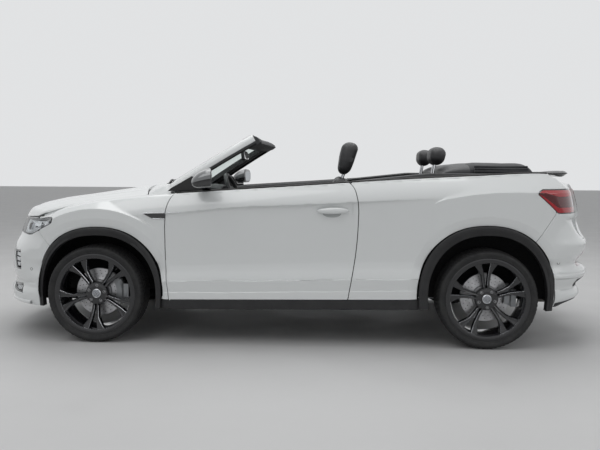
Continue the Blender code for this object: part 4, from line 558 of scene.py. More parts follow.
def extruded(outline, across, flat="xz"):
    """A 2-D outline carried between two places on the third axis."""
    i, j = "xyz".index(flat[0]), "xyz".index(flat[1])
    rings = np.zeros((2, len(outline), 3))
    for ring, y in zip(rings, across):
        ring[:, i], ring[:, j], ring[:, 3 - i - j] = *np.array(outline, float).T, y
    return loft(rings)


def box_geo(x, y, z):
    """A plain box."""
    return extruded([(x[0], z[0]), (x[1], z[0]), (x[1], z[1]), (x[0], z[1])], y)


def rounded_box(lo, hi, r, cells=10, crown=0.0):
    """A box with round edges and faces that may bulge by crown."""
    lo, hi = np.array(lo, float), np.array(hi, float)
    half, mid = (hi - lo) / 2, (hi + lo) / 2
    r = min(r, half.min() * 0.98)
    points, faces = {}, []
    t = np.linspace(-1, 1, cells + 1)

    def index(p):
        key = tuple(np.round(p, 6))
        return points.setdefault(key, len(points))

    for axis in range(3):
        for sign in (-1, 1):
            i, j = [(1, 2), (2, 0), (0, 1)][axis]
            ids = np.zeros((cells + 1, cells + 1), int)
            for a in range(cells + 1):
                for b in range(cells + 1):
                    p = np.zeros(3)
                    p[axis], p[i], p[j] = sign, t[a], t[b]
                    ids[a, b] = index(p)
            for a in range(cells):
                for b in range(cells):
                    quad = (ids[a, b], ids[a + 1, b], ids[a + 1, b + 1], ids[a, b + 1])
                    faces.append(quad if sign > 0 else quad[::-1])
    unit = np.array(list(points))
    core = half - r
    # More rows near the edges, so that the round part has enough of them.
    spaced = np.sign(unit) * (1 - (1 - np.abs(unit)) ** 1.35)
    at = np.clip(spaced * half, -core, core)
    out = spaced * half - at
    size = np.linalg.norm(out, axis=1, keepdims=True)
    top = np.abs(out).max(axis=1, keepdims=True)
    p = at + out / np.maximum(size, 1e-9) * np.minimum(r, top * r / np.maximum(top, 1e-9) if r else 0)
    on_face = np.abs(unit) > 0.999
    for axis in range(3):
        i, j = [(1, 2), (2, 0), (0, 1)][axis]
        swell = crown * (1 - np.abs(p[:, i] / half[i]) ** 2.0) * (1 - np.abs(p[:, j] / half[j]) ** 2.0)
        p[:, axis] += np.where(on_face[:, axis], np.sign(unit[:, axis]) * swell, 0)
    return Geo(p + mid, faces)


def finish_edges(obj, width):
    """Rounds an object's edges."""
    bevel = obj.modifiers.new("edges", "BEVEL")
    bevel.width, bevel.segments, bevel.limit_method, bevel.angle_limit = width, 2, "ANGLE", math.radians(28)
    bevel.harden_normals = False


# ---------------------------------------------------------------- materials
def material(name, colour, rough=0.5, metal=0.0, **inputs):
    """A Principled material; more inputs are named with underscores for spaces."""
    m = bpy.data.materials.new(name)
    m.use_nodes = True
    shader = m.node_tree.nodes["Principled BSDF"]
    shader.inputs["Base Color"].default_value = (*colour, 1)
    shader.inputs["Roughness"].default_value = rough
    shader.inputs["Metallic"].default_value = metal
    for key, value in inputs.items():
        shader.inputs[key.replace("_", " ")].default_value = value
    return m


def noise_on(m, scale, low, high):
    """Varies the roughness with noise between two levels."""
    nodes, links = m.node_tree.nodes, m.node_tree.links
    place, noise, span = (nodes.new(k) for k in ("ShaderNodeTexCoord", "ShaderNodeTexNoise", "ShaderNodeMapRange"))
    noise.inputs["Scale"].default_value = scale
    noise.inputs["Detail"].default_value = 4.0
    span.inputs["From Min"].default_value, span.inputs["From Max"].default_value = 0.3, 0.7
    span.inputs["To Min"].default_value, span.inputs["To Max"].default_value = low, high
    links.new(place.outputs["Object"], noise.inputs["Vector"])
    links.new(noise.outputs["Fac"], span.inputs["Value"])
    links.new(span.outputs["Result"], nodes["Principled BSDF"].inputs["Roughness"])
    return m


def tint_on(m, scale, first, second):
    """Varies the colour with noise between two colours."""
    nodes, links = m.node_tree.nodes, m.node_tree.links
    place, noise, ramp = (nodes.new(k) for k in ("ShaderNodeTexCoord", "ShaderNodeTexNoise", "ShaderNodeValToRGB"))
    noise.inputs["Scale"].default_value = scale
    noise.inputs["Detail"].default_value = 3.0
    ramp.color_ramp.elements[0].position, ramp.color_ramp.elements[1].position = 0.35, 0.65
    ramp.color_ramp.elements[0].color, ramp.color_ramp.elements[1].color = (*first, 1), (*second, 1)
    links.new(place.outputs["Object"], noise.inputs["Vector"])
    links.new(noise.outputs["Fac"], ramp.inputs["Fac"])
    links.new(ramp.outputs["Color"], nodes["Principled BSDF"].inputs["Base Color"])
    return m


def bump_on(m, scale, distance, kind="noise", strength=0.6):
    """Adds a fine relief: noise grain, or voronoi cells as in leather."""
    nodes, links = m.node_tree.nodes, m.node_tree.links
    place, bump = nodes.new("ShaderNodeTexCoord"), nodes.new("ShaderNodeBump")
    texture = nodes.new("ShaderNodeTexNoise" if kind == "noise" else "ShaderNodeTexVoronoi")
    texture.inputs["Scale"].default_value = scale
    bump.inputs["Distance"].default_value = distance
    bump.inputs["Strength"].default_value = strength
    links.new(place.outputs["Object"], texture.inputs["Vector"])
    links.new(texture.outputs["Fac" if kind == "noise" else "Distance"], bump.inputs["Height"])
    links.new(bump.outputs["Normal"], nodes["Principled BSDF"].inputs["Normal"])
    return m


PAINT = noise_on(material("white_paint", (0.78, 0.80, 0.80), 0.3, Coat_Weight=1.0, Coat_Roughness=0.03,
                          Specular_IOR_Level=0.5), 600, 0.28, 0.36)
# A darker copy of the white paint, for the door's ends and underside in the shut gaps: painted shade.
PAINT_IN_PAINTED_SHADE = noise_on(material("white_paint_in_painted_shade", (0.55, 0.57, 0.57), 0.5), 40, 0.4, 0.6)
GLOSS = noise_on(material("gloss_black", (0.012, 0.012, 0.014), 0.12, Coat_Weight=1.0, Coat_Roughness=0.02), 200,
                 0.08, 0.16)
PLASTIC = bump_on(noise_on(tint_on(material("black_plastic", (0.012, 0.012, 0.013), 0.5), 9, (0.009, 0.009, 0.010),
                                   (0.016, 0.016, 0.017)), 60, 0.42, 0.6), 900, 0.0002)
# Near-black for holes, vent openings and the deep fields behind the grille and intake: painted shade; behind the grille
# and intake it is also the parts' own black.
BLACK_AND_PAINTED_SHADE = noise_on(material("black_and_painted_shade", (0.010, 0.010, 0.011), 0.7), 30, 0.6, 0.85)
RUBBER = bump_on(noise_on(tint_on(material("rubber", (0.011, 0.011, 0.012), 0.7), 14, (0.008, 0.008, 0.009),
                                  (0.017, 0.017, 0.017)), 80, 0.6, 0.8), 700, 0.0003)
SEAL = noise_on(material("seal", (0.012, 0.012, 0.012), 0.6), 120, 0.5, 0.7)
RIM = noise_on(material("rim_black", (0.009, 0.009, 0.011), 0.25, 0.3, Coat_Weight=0.8, Coat_Roughness=0.05), 300,
               0.18, 0.30)
BRIGHT = noise_on(material("bright_edge", (0.62, 0.63, 0.65), 0.22, 1.0), 400, 0.16, 0.28)
CHROME = noise_on(material("chrome", (0.75, 0.76, 0.78), 0.08, 1.0), 90, 0.05, 0.10)
DISC_STEEL = noise_on(tint_on(material("disc_steel", (0.42, 0.42, 0.43), 0.35, 1.0), 30, (0.36, 0.36, 0.37),
                              (0.48, 0.48, 0.49)), 260, 0.28, 0.45)
CAST = bump_on(noise_on(material("cast_metal", (0.30, 0.31, 0.32), 0.5, 0.7), 90, 0.4, 0.6), 300, 0.0004)
LEATHER = bump_on(noise_on(tint_on(material("leather", (0.030, 0.030, 0.032), 0.5), 20, (0.025, 0.025, 0.027),
                                   (0.040, 0.040, 0.042)), 70, 0.40, 0.56), 420, 0.0005, "cells", 0.5)
SOFT_TRIM = bump_on(noise_on(material("soft_trim", (0.045, 0.046, 0.048), 0.65), 50, 0.55, 0.75), 900, 0.0003)
CLOTH = bump_on(noise_on(tint_on(material("roof_cloth", (0.020, 0.021, 0.024), 0.85, Sheen_Weight=0.25), 60,
                                 (0.017, 0.018, 0.020), (0.028, 0.029, 0.033)), 200, 0.8, 0.95), 1600, 0.0004)
CLEAR = material("clear_lens", (0.92, 0.94, 0.95), 0.03, Transmission_Weight=1.0, IOR=1.2)
GLASS = material("screen_glass", (0.80, 0.86, 0.84), 0.02, Transmission_Weight=1.0, IOR=1.05)
RED_LENS = noise_on(material("red_lens", (0.42, 0.004, 0.012), 0.08, Coat_Weight=1.0, Coat_Roughness=0.02), 150,
                    0.06, 0.12)
RED_DARK = noise_on(material("red_dark", (0.10, 0.002, 0.006), 0.12, Coat_Weight=1.0), 150, 0.10, 0.2)
PALE_LENS = noise_on(material("pale_lens", (0.60, 0.58, 0.57), 0.12, Coat_Weight=1.0), 150, 0.08, 0.16)
MIRROR_CAP = noise_on(material("mirror_cap", (0.16, 0.165, 0.17), 0.18, 0.4, Coat_Weight=1.0), 200, 0.14, 0.22)
LIGHT_GUIDE = noise_on(material("light_guide", (0.80, 0.82, 0.84), 0.15, Coat_Weight=1.0), 200, 0.1, 0.2)
LAMP_BACK = noise_on(material("lamp_back", (0.035, 0.037, 0.040), 0.3, 0.4), 80, 0.2, 0.4)
LAMP_BRIGHT = noise_on(material("lamp_bright", (0.86, 0.88, 0.90), 0.3, 0.25), 90, 0.2, 0.40)
MIRROR_GLASS = noise_on(material("mirror_glass", (0.40, 0.42, 0.44), 0.04, 1.0), 60, 0.03, 0.06)
CAP_GREY = noise_on(material("cap_grey", (0.30, 0.31, 0.33), 0.3, 0.8), 200, 0.2, 0.35)
# Grey copy of the white paint for the flat patch under each door handle: painted shade of the cup's recess.
HANDLE_CUP_PAINTED_SHADE = noise_on(material("handle_cup_painted_shade", (0.42, 0.44, 0.44), 0.35, Coat_Weight=1.0), 60, 0.3, 0.4)
CARPET = bump_on(noise_on(material("carpet", (0.020, 0.020, 0.021), 0.95), 500, 0.85, 1.0), 1400, 0.001)
FELT = bump_on(noise_on(material("wheel_lining", (0.008, 0.008, 0.009), 0.95), 60, 0.85, 1.0), 300, 0.0008)
ROOF_PANEL = bump_on(noise_on(material("roof_panel", (0.030, 0.031, 0.034), 0.55, Sheen_Weight=0.2), 80, 0.45, 0.6),
                     1200, 0.0003)
EXHAUST = noise_on(tint_on(material("exhaust_steel", (0.20, 0.19, 0.18), 0.5, 0.8), 12, (0.15, 0.14, 0.13),
                           (0.26, 0.25, 0.24)), 40, 0.4, 0.6)
UNDER = noise_on(material("underbody", (0.022, 0.022, 0.023), 0.8), 25, 0.7, 0.9)


# ---------------------------------------------------------------- body panels on the side
GAP = SHUT / 2
DOOR_FRONT = [(X_FRONT + 0.508, 0.297), (X_FRONT + 0.491, 0.432), (X_FRONT + 0.485, 0.540), (X_FRONT + 0.483, 0.700),
              (X_FRONT + 0.486, 0.834), (X_FRONT + 0.498, 0.925), (X_FRONT + 0.515, 0.975), (X_FRONT + 0.550, 1.024)]
DOOR_REAR = [(X_REAR - 0.921, 0.320), (X_REAR - 0.868, 0.653), (X_REAR - 0.856, 0.849), (X_REAR - 0.856, 0.930),
             (X_REAR - 0.868, 1.010), (X_REAR - 0.885, 1.060), (X_REAR - 0.911, 1.091)]
LAMP_LOW_REAR = 0.905  # lower edge of the tail lamp


def reach(shape, z, sign):
    """x of an arch's outer edge at a height, on its front (-1) or rear (1) side."""
    middle, half, top = shape
    up = max(z - AXLE_Z, 0) / (top - AXLE_Z)
    return middle + sign * half * (1 - up**ARCH_POWER) ** (1 / ARCH_POWER)


FENDER_SEAM = [(reach(FRONT_ARCH, 0.655, -1), 0.655), (X_FRONT - 0.404, 0.748), (X_FRONT - 0.420, 0.846)]
QUARTER_SEAM = [(reach(REAR_ARCH, 0.715, 1), 0.715), (X_REAR + 0.324, 0.760), (X_REAR + 0.421, LAMP_LOW_REAR)]


def on_side(points):
    """(x, z) on the side to (s, z)."""
    points = np.array(points, float)
    return np.stack([s_at(points[:, 0], points[:, 1]), points[:, 1]], axis=1)


def shifted(points, d):
    """(x, z) points moved back by d, as (s, z) on the side."""
    return on_side([(x + d, z) for x, z in points])


def sill_line(x0, x1, n, up):
    """The lower edge of the panels as (s, z)."""
    x = np.linspace(x0, x1, n)
    return on_side(np.stack([x, sill_z(x) + up], axis=1))


bonnet_ridge = curve([
    (X_NOSE + 0.105, 0.800), (X_NOSE + 0.130, 0.850), (X_NOSE + 0.200, 0.895), (X_NOSE + 0.334, 0.937),
    (X_NOSE + 0.634, 0.990), (X_NOSE + 0.934, 1.036), (X_NOSE + 1.114, 1.063)])
BONNET_RISE = 0.010
BONNET_HINGE = (-0.975, 0.980)  # x and z of its axis
X_BONNET_CORNER, X_BONNET_REAR, X_COWL = X_FRONT - 0.376, X_FRONT + 0.344, X_FRONT + 0.254


def bonnet_edge_z(x):
    """Height of the bonnet's side edges."""
    return belt_z(x) + BONNET_RISE


S_CORNER = float(s_at(X_BONNET_CORNER, bonnet_edge_z(X_BONNET_CORNER)))


def nose_edge(v):
    """The bonnet's front edge, from the middle (0) to its corner (1)."""
    v = np.asarray(v, float)
    z = 0.802 + 0.018 * smooth(v / 0.44) + 0.028 * np.clip((v - 0.44) / 0.5, 0, 1)
    z = z + (bonnet_edge_z(X_BONNET_CORNER) - 0.848) * smooth((v - 0.88) / 0.12)
    return body(S_NOSE + (S_CORNER - S_NOSE) * v, z)


bonnet_half = curve([
    (X_BONNET_CORNER, float(nose_edge(1.0)[1])), (X_FRONT - 0.240, 0.714), (X_FRONT, 0.742), (X_FRONT + 0.200, 0.760),
    (X_FRONT + 0.350, 0.768)])
ROLL = 0.012  # how far below the belt the shoulder starts to turn in


def fender_map(u, v):
    """The side up to the belt, then over the shoulder to the bonnet's edge; v runs on past the belt."""
    u, v = np.broadcast_arrays(np.asarray(u, float), np.asarray(v, float))
    top = belt_z(u) - ROLL
    at = body(u, np.minimum(v, top))
    start = body(u, top)
    step = start - body(u, top - 0.003)
    step /= np.linalg.norm(step, axis=-1, keepdims=True)
    x = start[..., 0]
    inner = np.stack([x, bonnet_half(np.clip(x, X_BONNET_CORNER, X_BONNET_REAR)) + GAP,
                      belt_z(u) + BONNET_RISE * smooth((S_DOOR_TOP + 0.1 - u) / 0.15) - 0.001], axis=-1)
    inner[..., 1] = np.minimum(inner[..., 1], start[..., 1] - 0.008)
    middle = start + step * ROLL * 1.3
    t = np.clip((v - top) / (FENDER_WIDTH + ROLL), 0, 1)[..., None]
    k = 0.30
    knee = middle + (inner - middle) * k
    bend = np.clip(t / k, 0, 1)
    over = (1 - bend) ** 2 * start + 2 * (1 - bend) * bend * middle + bend**2 * knee
    over = np.where(t > k, knee + (inner - knee) * (t - k) / (1 - k), over)
    return np.where((v > top)[..., None], over, at) * LEFT


FENDER_WIDTH = 0.075
S_DOOR_TOP = float(DOOR_FRONT[-1][0])


def shoulder_map(u, v):
    """The side up to the belt, where it turns in on a small radius; v runs on past the belt."""
    u, v = np.broadcast_arrays(np.asarray(u, float), np.asarray(v, float))
    top = belt_z(u) - 0.004
    start = body(u, np.minimum(v, top))
    over = np.clip(v - top, 0, None)[..., None]
    turn = np.clip(over / 0.012, 0, 1) * (math.pi / 2 - 0.25)
    r = 0.0105
    inward = -r * (1 - np.cos(turn)) - np.clip(over - 0.012, 0, None)
    lift = np.concatenate([0 * over, inward, r * np.sin(turn)], axis=-1)
    return (start + lift) * LEFT


def lamp_rows(s0, s1, low, high, count, grow):
    """Lower and upper edge of a lamp as (s, z); low and high give heights at shares of its length."""
    t = np.linspace(0, 1, count)
    s = float(s0) + (float(s1) - float(s0)) * t
    return [np.stack([s, np.interp(t, *zip(*line)) + d], axis=1) for line, d in ((low, -grow), (high, grow))]


def headlamp_rows(count=40, grow=0.0):
    """The left headlamp, from its rear tip forward."""
    return lamp_rows(s_at(X_FRONT - 0.282 + grow, 0.830), s_at_half(GRILLE_HALF - 0.020, -1) - grow,
                     ((0, 0.820), (0.03, 0.804), (0.20, 0.756), (0.33, 0.724), (0.40, 0.719), (1, 0.726)),
                     ((0, 0.840), (0.02, 0.845), (0.08, 0.846), (1, 0.812)), count, grow)


def taillamp_rows(count=40, grow=0.0):
    """The left tail lamp, from its front tip back."""
    return lamp_rows(s_at(X_REAR + 0.297 - grow, 1.04), s_at_half(LID_HALF - 0.020, 1) + grow,
                     ((0, 1.028), (0.243, LAMP_LOW_REAR), (1, LAMP_LOW_REAR)),
                     ((0, 1.042), (0.05, 1.062), (1, 1.068)), count, grow)


def rows_beside(line, *offsets):
    """Rows of points that follow a line, above and below it."""
    return [lambda x, d=d: line(x) + d for d in offsets]


SKIRT_ROWS = rows_beside(skirt_z, -0.0815, -0.0780, -0.0745, -0.004, -0.0005, 0.0005, 0.004, 0.012)


def nearest(row, s):
    """Index of the row's point nearest to s."""
    return int(np.argmin(np.abs(row[:, 0] - s)))


def wing_drop(top):
    """The rear wing's edge down from the end of the belt to the tail lamp."""
    return np.array([top, [top[0] + 0.004, 1.150], on_side([(X_REAR + 0.440, 1.130)])[0],
                     on_side([(X_REAR + 0.500, 1.078)])[0]])


def make_front_wings():
    """The painted wings in front of the doors, up to the bonnet's edges."""
    low, high = headlamp_rows(60, HALF_SEAM)
    seam = shifted(spread(FENDER_SEAM[:2], STEP), HALF_SEAM)
    k = nearest(low, seam[-1][0])
    top_seam = on_side([FENDER_SEAM[2]])[0] + [HALF_SEAM, 0]
    m = nearest(high, top_seam[0])
    front_tip = np.array([high[m], [top_seam[0], bonnet_edge_z(FENDER_SEAM[2][0]) - 0.002]])
    x_edge = np.linspace(float(top_seam[0]), DOOR_FRONT[-1][0] - GAP, 40)
    over = np.stack([x_edge, belt_z(x_edge) + FENDER_WIDTH], axis=1)
    door = shifted(spline(DOOR_FRONT, STEP)[::-1], -GAP)
    bottom = sill_line(door[-1][0], reach(FRONT_ARCH, 0.31, 1), 20, 0.001)
    arch_line = arch(FRONT_ARCH, HALF_SEAM)
    arch_line = arch_line[(arch_line[:, 1] > float(bottom[-1][1])) | (arch_line[:, 0] < FRONT_ARCH[0])]
    arch_line = arch_line[(arch_line[:, 1] > FENDER_SEAM[0][1]) | (arch_line[:, 0] > FRONT_ARCH[0])]
    arch_sz = on_side(arch_line)
    loop = closed([seam, low[:k + 1][::-1], high[:m + 1], front_tip, over, np.array([over[-1], door[0]]), door, bottom,
                   arch_sz[::-1]], STEP)
    crests = rows_beside(wing_crest, -0.006, -0.002, 0.002, 0.006)
    geo = panel(fender_map, loop, cell=0.008, rows=crests + SKIRT_ROWS)
    both("wing", geo, PAINT, replaces="fender_{}", slot="paint")


def make_door_skins():
    """The doors' painted outer faces."""
    door_front = shifted(spline(DOOR_FRONT, STEP), GAP)
    door_rear = shifted(spline(DOOR_REAR, STEP), -GAP)
    x_top = np.linspace(door_front[-1][0], door_rear[-1][0], 80)
    top = np.stack([x_top, belt_z(x_top) + 0.018], axis=1)
    bottom = sill_line(door_rear[0][0], door_front[0][0], 60, 0.002)
    loop = closed([door_front, top, door_rear[::-1], bottom], STEP)
    geo = panel(shoulder_map, loop, cell=0.009, rows=rows_beside(line_z, 0.0005, -0.006) + SKIRT_ROWS)
    both("door_skin", geo, PAINT, "door_{}", replaces="door_{}", slot="paint")


def make_rear_wings():
    """The painted sides behind the doors."""
    low, high = taillamp_rows(60, HALF_SEAM)
    first = shifted(spline(DOOR_REAR, STEP), GAP)
    x_top = np.linspace(first[-1][0], X_REAR + 0.395, 60)
    top = np.stack([x_top, belt_z(x_top) + 0.018], axis=1)
    drop = wing_drop(top[-1])
    m = nearest(high, drop[-1][0])
    seam = shifted(spline(QUARTER_SEAM, STEP), -HALF_SEAM)
    k = nearest(low, seam[-1][0])
    arch_line = arch(REAR_ARCH, HALF_SEAM)
    arch_line = arch_line[(arch_line[:, 1] > QUARTER_SEAM[0][1]) | (arch_line[:, 0] < REAR_ARCH[0])]
    arch_line = arch_line[arch_line[:, 1] > float(sill_z(X_REAR - 0.46)) + 0.002]
    bottom = sill_line(reach(REAR_ARCH, 0.335, -1), first[0][0], 20, 0.002)
    loop = closed([first, top, drop, np.array([drop[-1], high[m]]), high[:m + 1][::-1], low[:k + 1], seam[::-1],
                   on_side(arch_line)[::-1], bottom], STEP)
    crests = rows_beside(haunch_crest, -0.006, -0.002, 0.002, 0.006) + rows_beside(line_z, 0.0005, -0.006)
    geo = panel(shoulder_map, loop, cell=0.008, rows=crests + SKIRT_ROWS)
    both("rear_wing", geo, PAINT, replaces="quarter_{}", slot="paint")


# ---------------------------------------------------------------- bonnet, bumpers, lid and lamps
BONNET_LENGTH, BONNET_WIDTH = 1.08, 0.75


def bonnet_map(u, v):
    """u runs back from the front edge, v across from the middle; both are close to metres."""
    u, v = np.broadcast_arrays(np.asarray(u, float), np.asarray(v, float))
    a, b = u / BONNET_LENGTH, np.abs(v) / BONNET_WIDTH
    x_mid = (X_NOSE + 0.105) + (X_COWL - X_NOSE - 0.105) * a
    x_side = X_BONNET_CORNER + (X_BONNET_REAR - X_BONNET_CORNER) * a
    x = x_mid + (x_side - x_mid) * b**2.4
    y = bonnet_half(x_side) * b
    z_mid, z_side = bonnet_ridge(x_mid), bonnet_edge_z(x_side)
    z = z_mid + (z_side - z_mid) * b**3.2
    points = np.stack([x, y, z], axis=-1)
    x0 = (X_NOSE + 0.105) + (X_BONNET_CORNER - X_NOSE - 0.105) * b**2.4
    z0 = bonnet_ridge(X_NOSE + 0.105) + (bonnet_edge_z(X_BONNET_CORNER) - bonnet_ridge(X_NOSE + 0.105)) * b**3.2
    raw = np.stack([x0, bonnet_half(X_BONNET_CORNER) * b, z0], axis=-1)
    points = points + (nose_edge(np.clip(b, 0, 1)) - raw) * (np.clip(1 - a, 0, 1) ** 3)[..., None]
    # Two pressed folds that run forward and inwards, with the middle raised between them.
    fold = 0.52 + 0.20 * a
    points[..., 2] += 0.006 * (smooth((fold - b) / 0.055) - 0.5) * smooth(a / 0.25) * smooth((1 - a) / 0.15)
    points[..., 1] *= np.sign(v)
    return points


def rectangle(x0, x1, z0, z1):
    """A rectangle's corners, counter-clockwise."""
    return [(x0, z0), (x1, z0), (x1, z1), (x0, z1)]


def symmetric(left):
    """A closed loop from its left half (u below 0), which starts and ends on the middle."""
    return counter(np.concatenate([left, left[-2:0:-1] * (-1, 1)]))


def on_nose(points):
    """Places (s, z) on the left as nose_map's (u, v)."""
    points = np.array(points, float)
    return np.stack([S_NOSE - points[:, 0], points[:, 1]], axis=1)


def on_tail(points):
    """Places (s, z) on the left as tail_map's (u, v)."""
    points = np.array(points, float)
    return np.stack([points[:, 0] - S_TAIL, points[:, 1]], axis=1)


def joined_line(parts):
    """One evenly sampled line through lists of points."""
    return spread(np.concatenate([np.array(p, float) for p in parts]), STEP)


def counter(loop):
    """The loop counter-clockwise."""
    return loop if area_of(loop) > 0 else loop[::-1]


def rounded_loop(points, r, step=0.006):
    """A closed polygon with round corners, evenly sampled."""
    points = np.array(points, float)
    out = []
    for k in range(len(points)):
        a, b, c = points[k - 1], points[k], points[(k + 1) % len(points)]
        d0, d1 = a - b, c - b
        l0, l1 = np.linalg.norm(d0), np.linalg.norm(d1)
        cut = min(r, 0.45 * l0, 0.45 * l1)
        p0, p1 = b + d0 / l0 * cut, b + d1 / l1 * cut
        t = np.linspace(0, 1, 6)[:, None]
        out.append((1 - t) ** 2 * p0 + 2 * (1 - t) * t * b + t**2 * p1)
    line = np.concatenate(out + [out[0][:1]])
    return counter(spread(line, step)[:-1])


S_GRILLE = float(s_at_half(GRILLE_HALF, -1))
LIGHT_SLOT = [(-2.119, 0.594), (-1.942, 0.608), (-1.925, 0.468), (-2.030, 0.466)]
CORNER_VENT = [(-2.150, 0.354), (-1.925, 0.372), (-1.890, 0.306), (-2.020, 0.312)]
GRILLE_LOW = 0.600
LIP_UNDER = 0.262  # height at which the lip meets the bumper


def make_bonnet_gutter():
    """The painted step under the bonnet's side edges, so that the gap ends on metal."""
    x = np.linspace(X_BONNET_CORNER - 0.030, X_BONNET_REAR - 0.01, 60)
    half, z = bonnet_half(np.clip(x, X_BONNET_CORNER, 9)), bonnet_edge_z(x)
    floor = -0.040 + (GAP - 0.003 + 0.040) * smooth((x + 1.005) / 0.03)  # none where the bonnet's rear swings down
    rows = [np.stack([x, -(half + w), z + h], 1) for w, h in ((GAP + 0.004, -0.006), (GAP - 0.0005, -0.012),
                                                            (GAP - 0.002, -0.023), (floor, -0.030))]
    both("bonnet_gutter", surface_of(rows), PAINT, slot="paint")
    s = np.linspace(S_NOSE, S_CORNER, 50)
    edge = nose_edge((s - S_NOSE) / (S_CORNER - S_NOSE))
    line = np.concatenate([edge[::-1] * (1, -1, 1), edge[1:]])
    rows = [line + (d, 0, h) for d, h in ((0.004, -0.024), (0.020, -0.030), (0.090, -0.030))]
    emit("bonnet_front_step", surface_of(rows), SEAL)


def make_bonnet():
    """The bonnet, with an inner face."""
    half = BONNET_WIDTH - GAP * 1.02
    corners = [(0.002, -half), (0.002, half), (BONNET_LENGTH - 0.002, half), (BONNET_LENGTH - 0.002, -half)]
    loop = rounded_loop(corners, 0.006, 0.010)
    emit("bonnet_skin", panel(bonnet_map, loop, cell=0.016, back=0.018, lip=0.018), PAINT, "bonnet", slot="paint",
         replaces="bonnet")


def bar(line, section):
    """A bar along a line of points; its section is in steps back and up."""
    return loft([[p + (back, 0, up) for back, up in section] for p in line])


def make_front_bumper():
    """The painted front with its openings, lamps and vents."""
    foot_z = 0.232
    low = headlamp_rows(60, HALF_SEAM)[0]
    foot = arch(FRONT_ARCH, HALF_SEAM, foot_z)
    foot = foot[(foot[:, 0] < FRONT_ARCH[0]) & (foot[:, 1] < FENDER_SEAM[0][1]) & (foot[:, 1] > foot_z)]
    seam = [(x - HALF_SEAM, z) for x, z in FENDER_SEAM[:2]]
    side = on_side(np.concatenate([foot, spread(seam, STEP)]))
    k = nearest(low, side[-1][0])
    m = nearest(low, S_GRILLE)
    end_s = side[0][0]
    s = np.linspace(S_NOSE, end_s, 60)
    base = np.stack([s, 0.214 + 0.019 * smooth((s - S_NOSE) / (end_s - S_NOSE))], axis=1)
    top = [(S_GRILLE - 0.001, low[m][1]), (S_GRILLE - 0.001, GRILLE_LOW - HALF_SEAM), (S_NOSE, GRILLE_LOW - HALF_SEAM)]
    loop = symmetric(on_nose(joined_line([base, side, low[k:m + 1], top])))
    intake = [(S_NOSE, 0.330), (S_NOSE + 0.38, 0.330), (S_NOSE + 0.45, 0.410), (S_NOSE + 0.42, 0.505), (S_NOSE, 0.520)]
    slots = [rounded_loop(on_nose(shape), 0.010, 0.006) for shape in (LIGHT_SLOT, CORNER_VENT)]
    holes = [symmetric(on_nose(joined_line([intake])))]
    for slot in slots:
        holes += [slot, counter(slot * (-1, 1))]
    emit("front_bumper_skin", panel(nose_map, loop, holes=holes, cell=0.010), PAINT, slot="paint",
         replaces="front_bumper")
    # Near-black sheets 30 mm behind the openings: painted shade of their depth, and the black of the parts behind.
    back = [inset(h, -0.012) for h in holes]
    emit("front_intake", merged([panel(raised(nose_map, -0.030), h, rim=False, cell=0.02) for h in back]), BLACK_AND_PAINTED_SHADE)
    # Bars across the middle intake, lamps in the corner slots and a mesh in the corner vents.
    bars = []
    for z in (0.365, 0.400, 0.435, 0.470):
        reach_ = np.interp(z, [0.33, 0.41, 0.505], [0.375, 0.445, 0.415])
        u = np.linspace(-reach_, reach_, 60)
        middle = raised(nose_map, -0.014)(u, np.full(60, z))
        bars.append(bar(middle, ((0, 0.004), (0.010, 0.002), (0.010, -0.003), (-0.002, -0.003))))
    emit("intake_bars", merged(bars), PLASTIC)
    frames = [panel(raised(nose_map, -0.007), inset(slot, -0.002), holes=[inset(slot, 0.011)], radius=0.002, lip=0.02,
                    cell=0.010) for slot in slots]
    lights = []
    s0, s1 = LIGHT_SLOT[0][0] + 0.045, LIGHT_SLOT[1][0] - 0.040
    for k in range(3):
        z = 0.500 + 0.036 * k
        shape = rounded_loop(on_nose(rectangle(s0 - 0.012 * k, s1, z - 0.013, z + 0.013)), 0.006, 0.004)
        lights.append(panel(raised(nose_map, -0.014), shape, radius=0.002, lip=0.012, cell=0.008))
    s0, s1 = CORNER_VENT[0][0] + 0.040, CORNER_VENT[1][0] - 0.020
    for k in range(5):
        s = s0 + (s1 - s0) * (k + 0.5) / 5
        shape = [(s - 0.006, 0.326), (s + 0.006, 0.326), (s + 0.004, 0.356), (s - 0.008, 0.356)]
        lights.append(panel(raised(nose_map, -0.013), rounded_loop(on_nose(shape), 0.003, 0.004), radius=0.0015,
                            lip=0.010, cell=0.008))
    frames, lights = merged(frames), merged(lights)
    emit("corner_frames", merged([frames, frames.mirrored()]), GLOSS)
    emit("corner_lights", merged([lights, lights.mirrored()]), LAMP_BRIGHT)


def make_front_lip():
    """The body-coloured lip under the front, and a blank plate."""
    s = np.linspace(0, S_NOSE - float(s_at(X_FRONT - 0.47, 0.22)), 70)
    u = np.concatenate([s[::-1], -s[1:]])
    z = np.full(len(u), LIP_UNDER)
    skin, n = nose_map(u, z), normals_of(nose_map, u, z)
    n[:, 2] = 0
    rows = [skin + n * o + (0, 0, h) for o, h in ((-0.004, 0.004), (0.006, 0.000), (0.010, -0.006), (0.009, -0.016),
                                                  (0.000, -0.022), (-0.020, -0.024))]
    emit("front_lip", surface_of(rows).turned(), PAINT, slot="paint")
    plate = rounded_box((X_NOSE - 0.004, -0.260, 0.530), (X_NOSE + 0.012, 0.260, 0.590), 0.004, 10)
    plate.p[:, 0] += 0.035 * (plate.p[:, 1] / 0.26) ** 2 * 0.5 + 0.010
    emit("front_plate", plate, PALE_LENS)


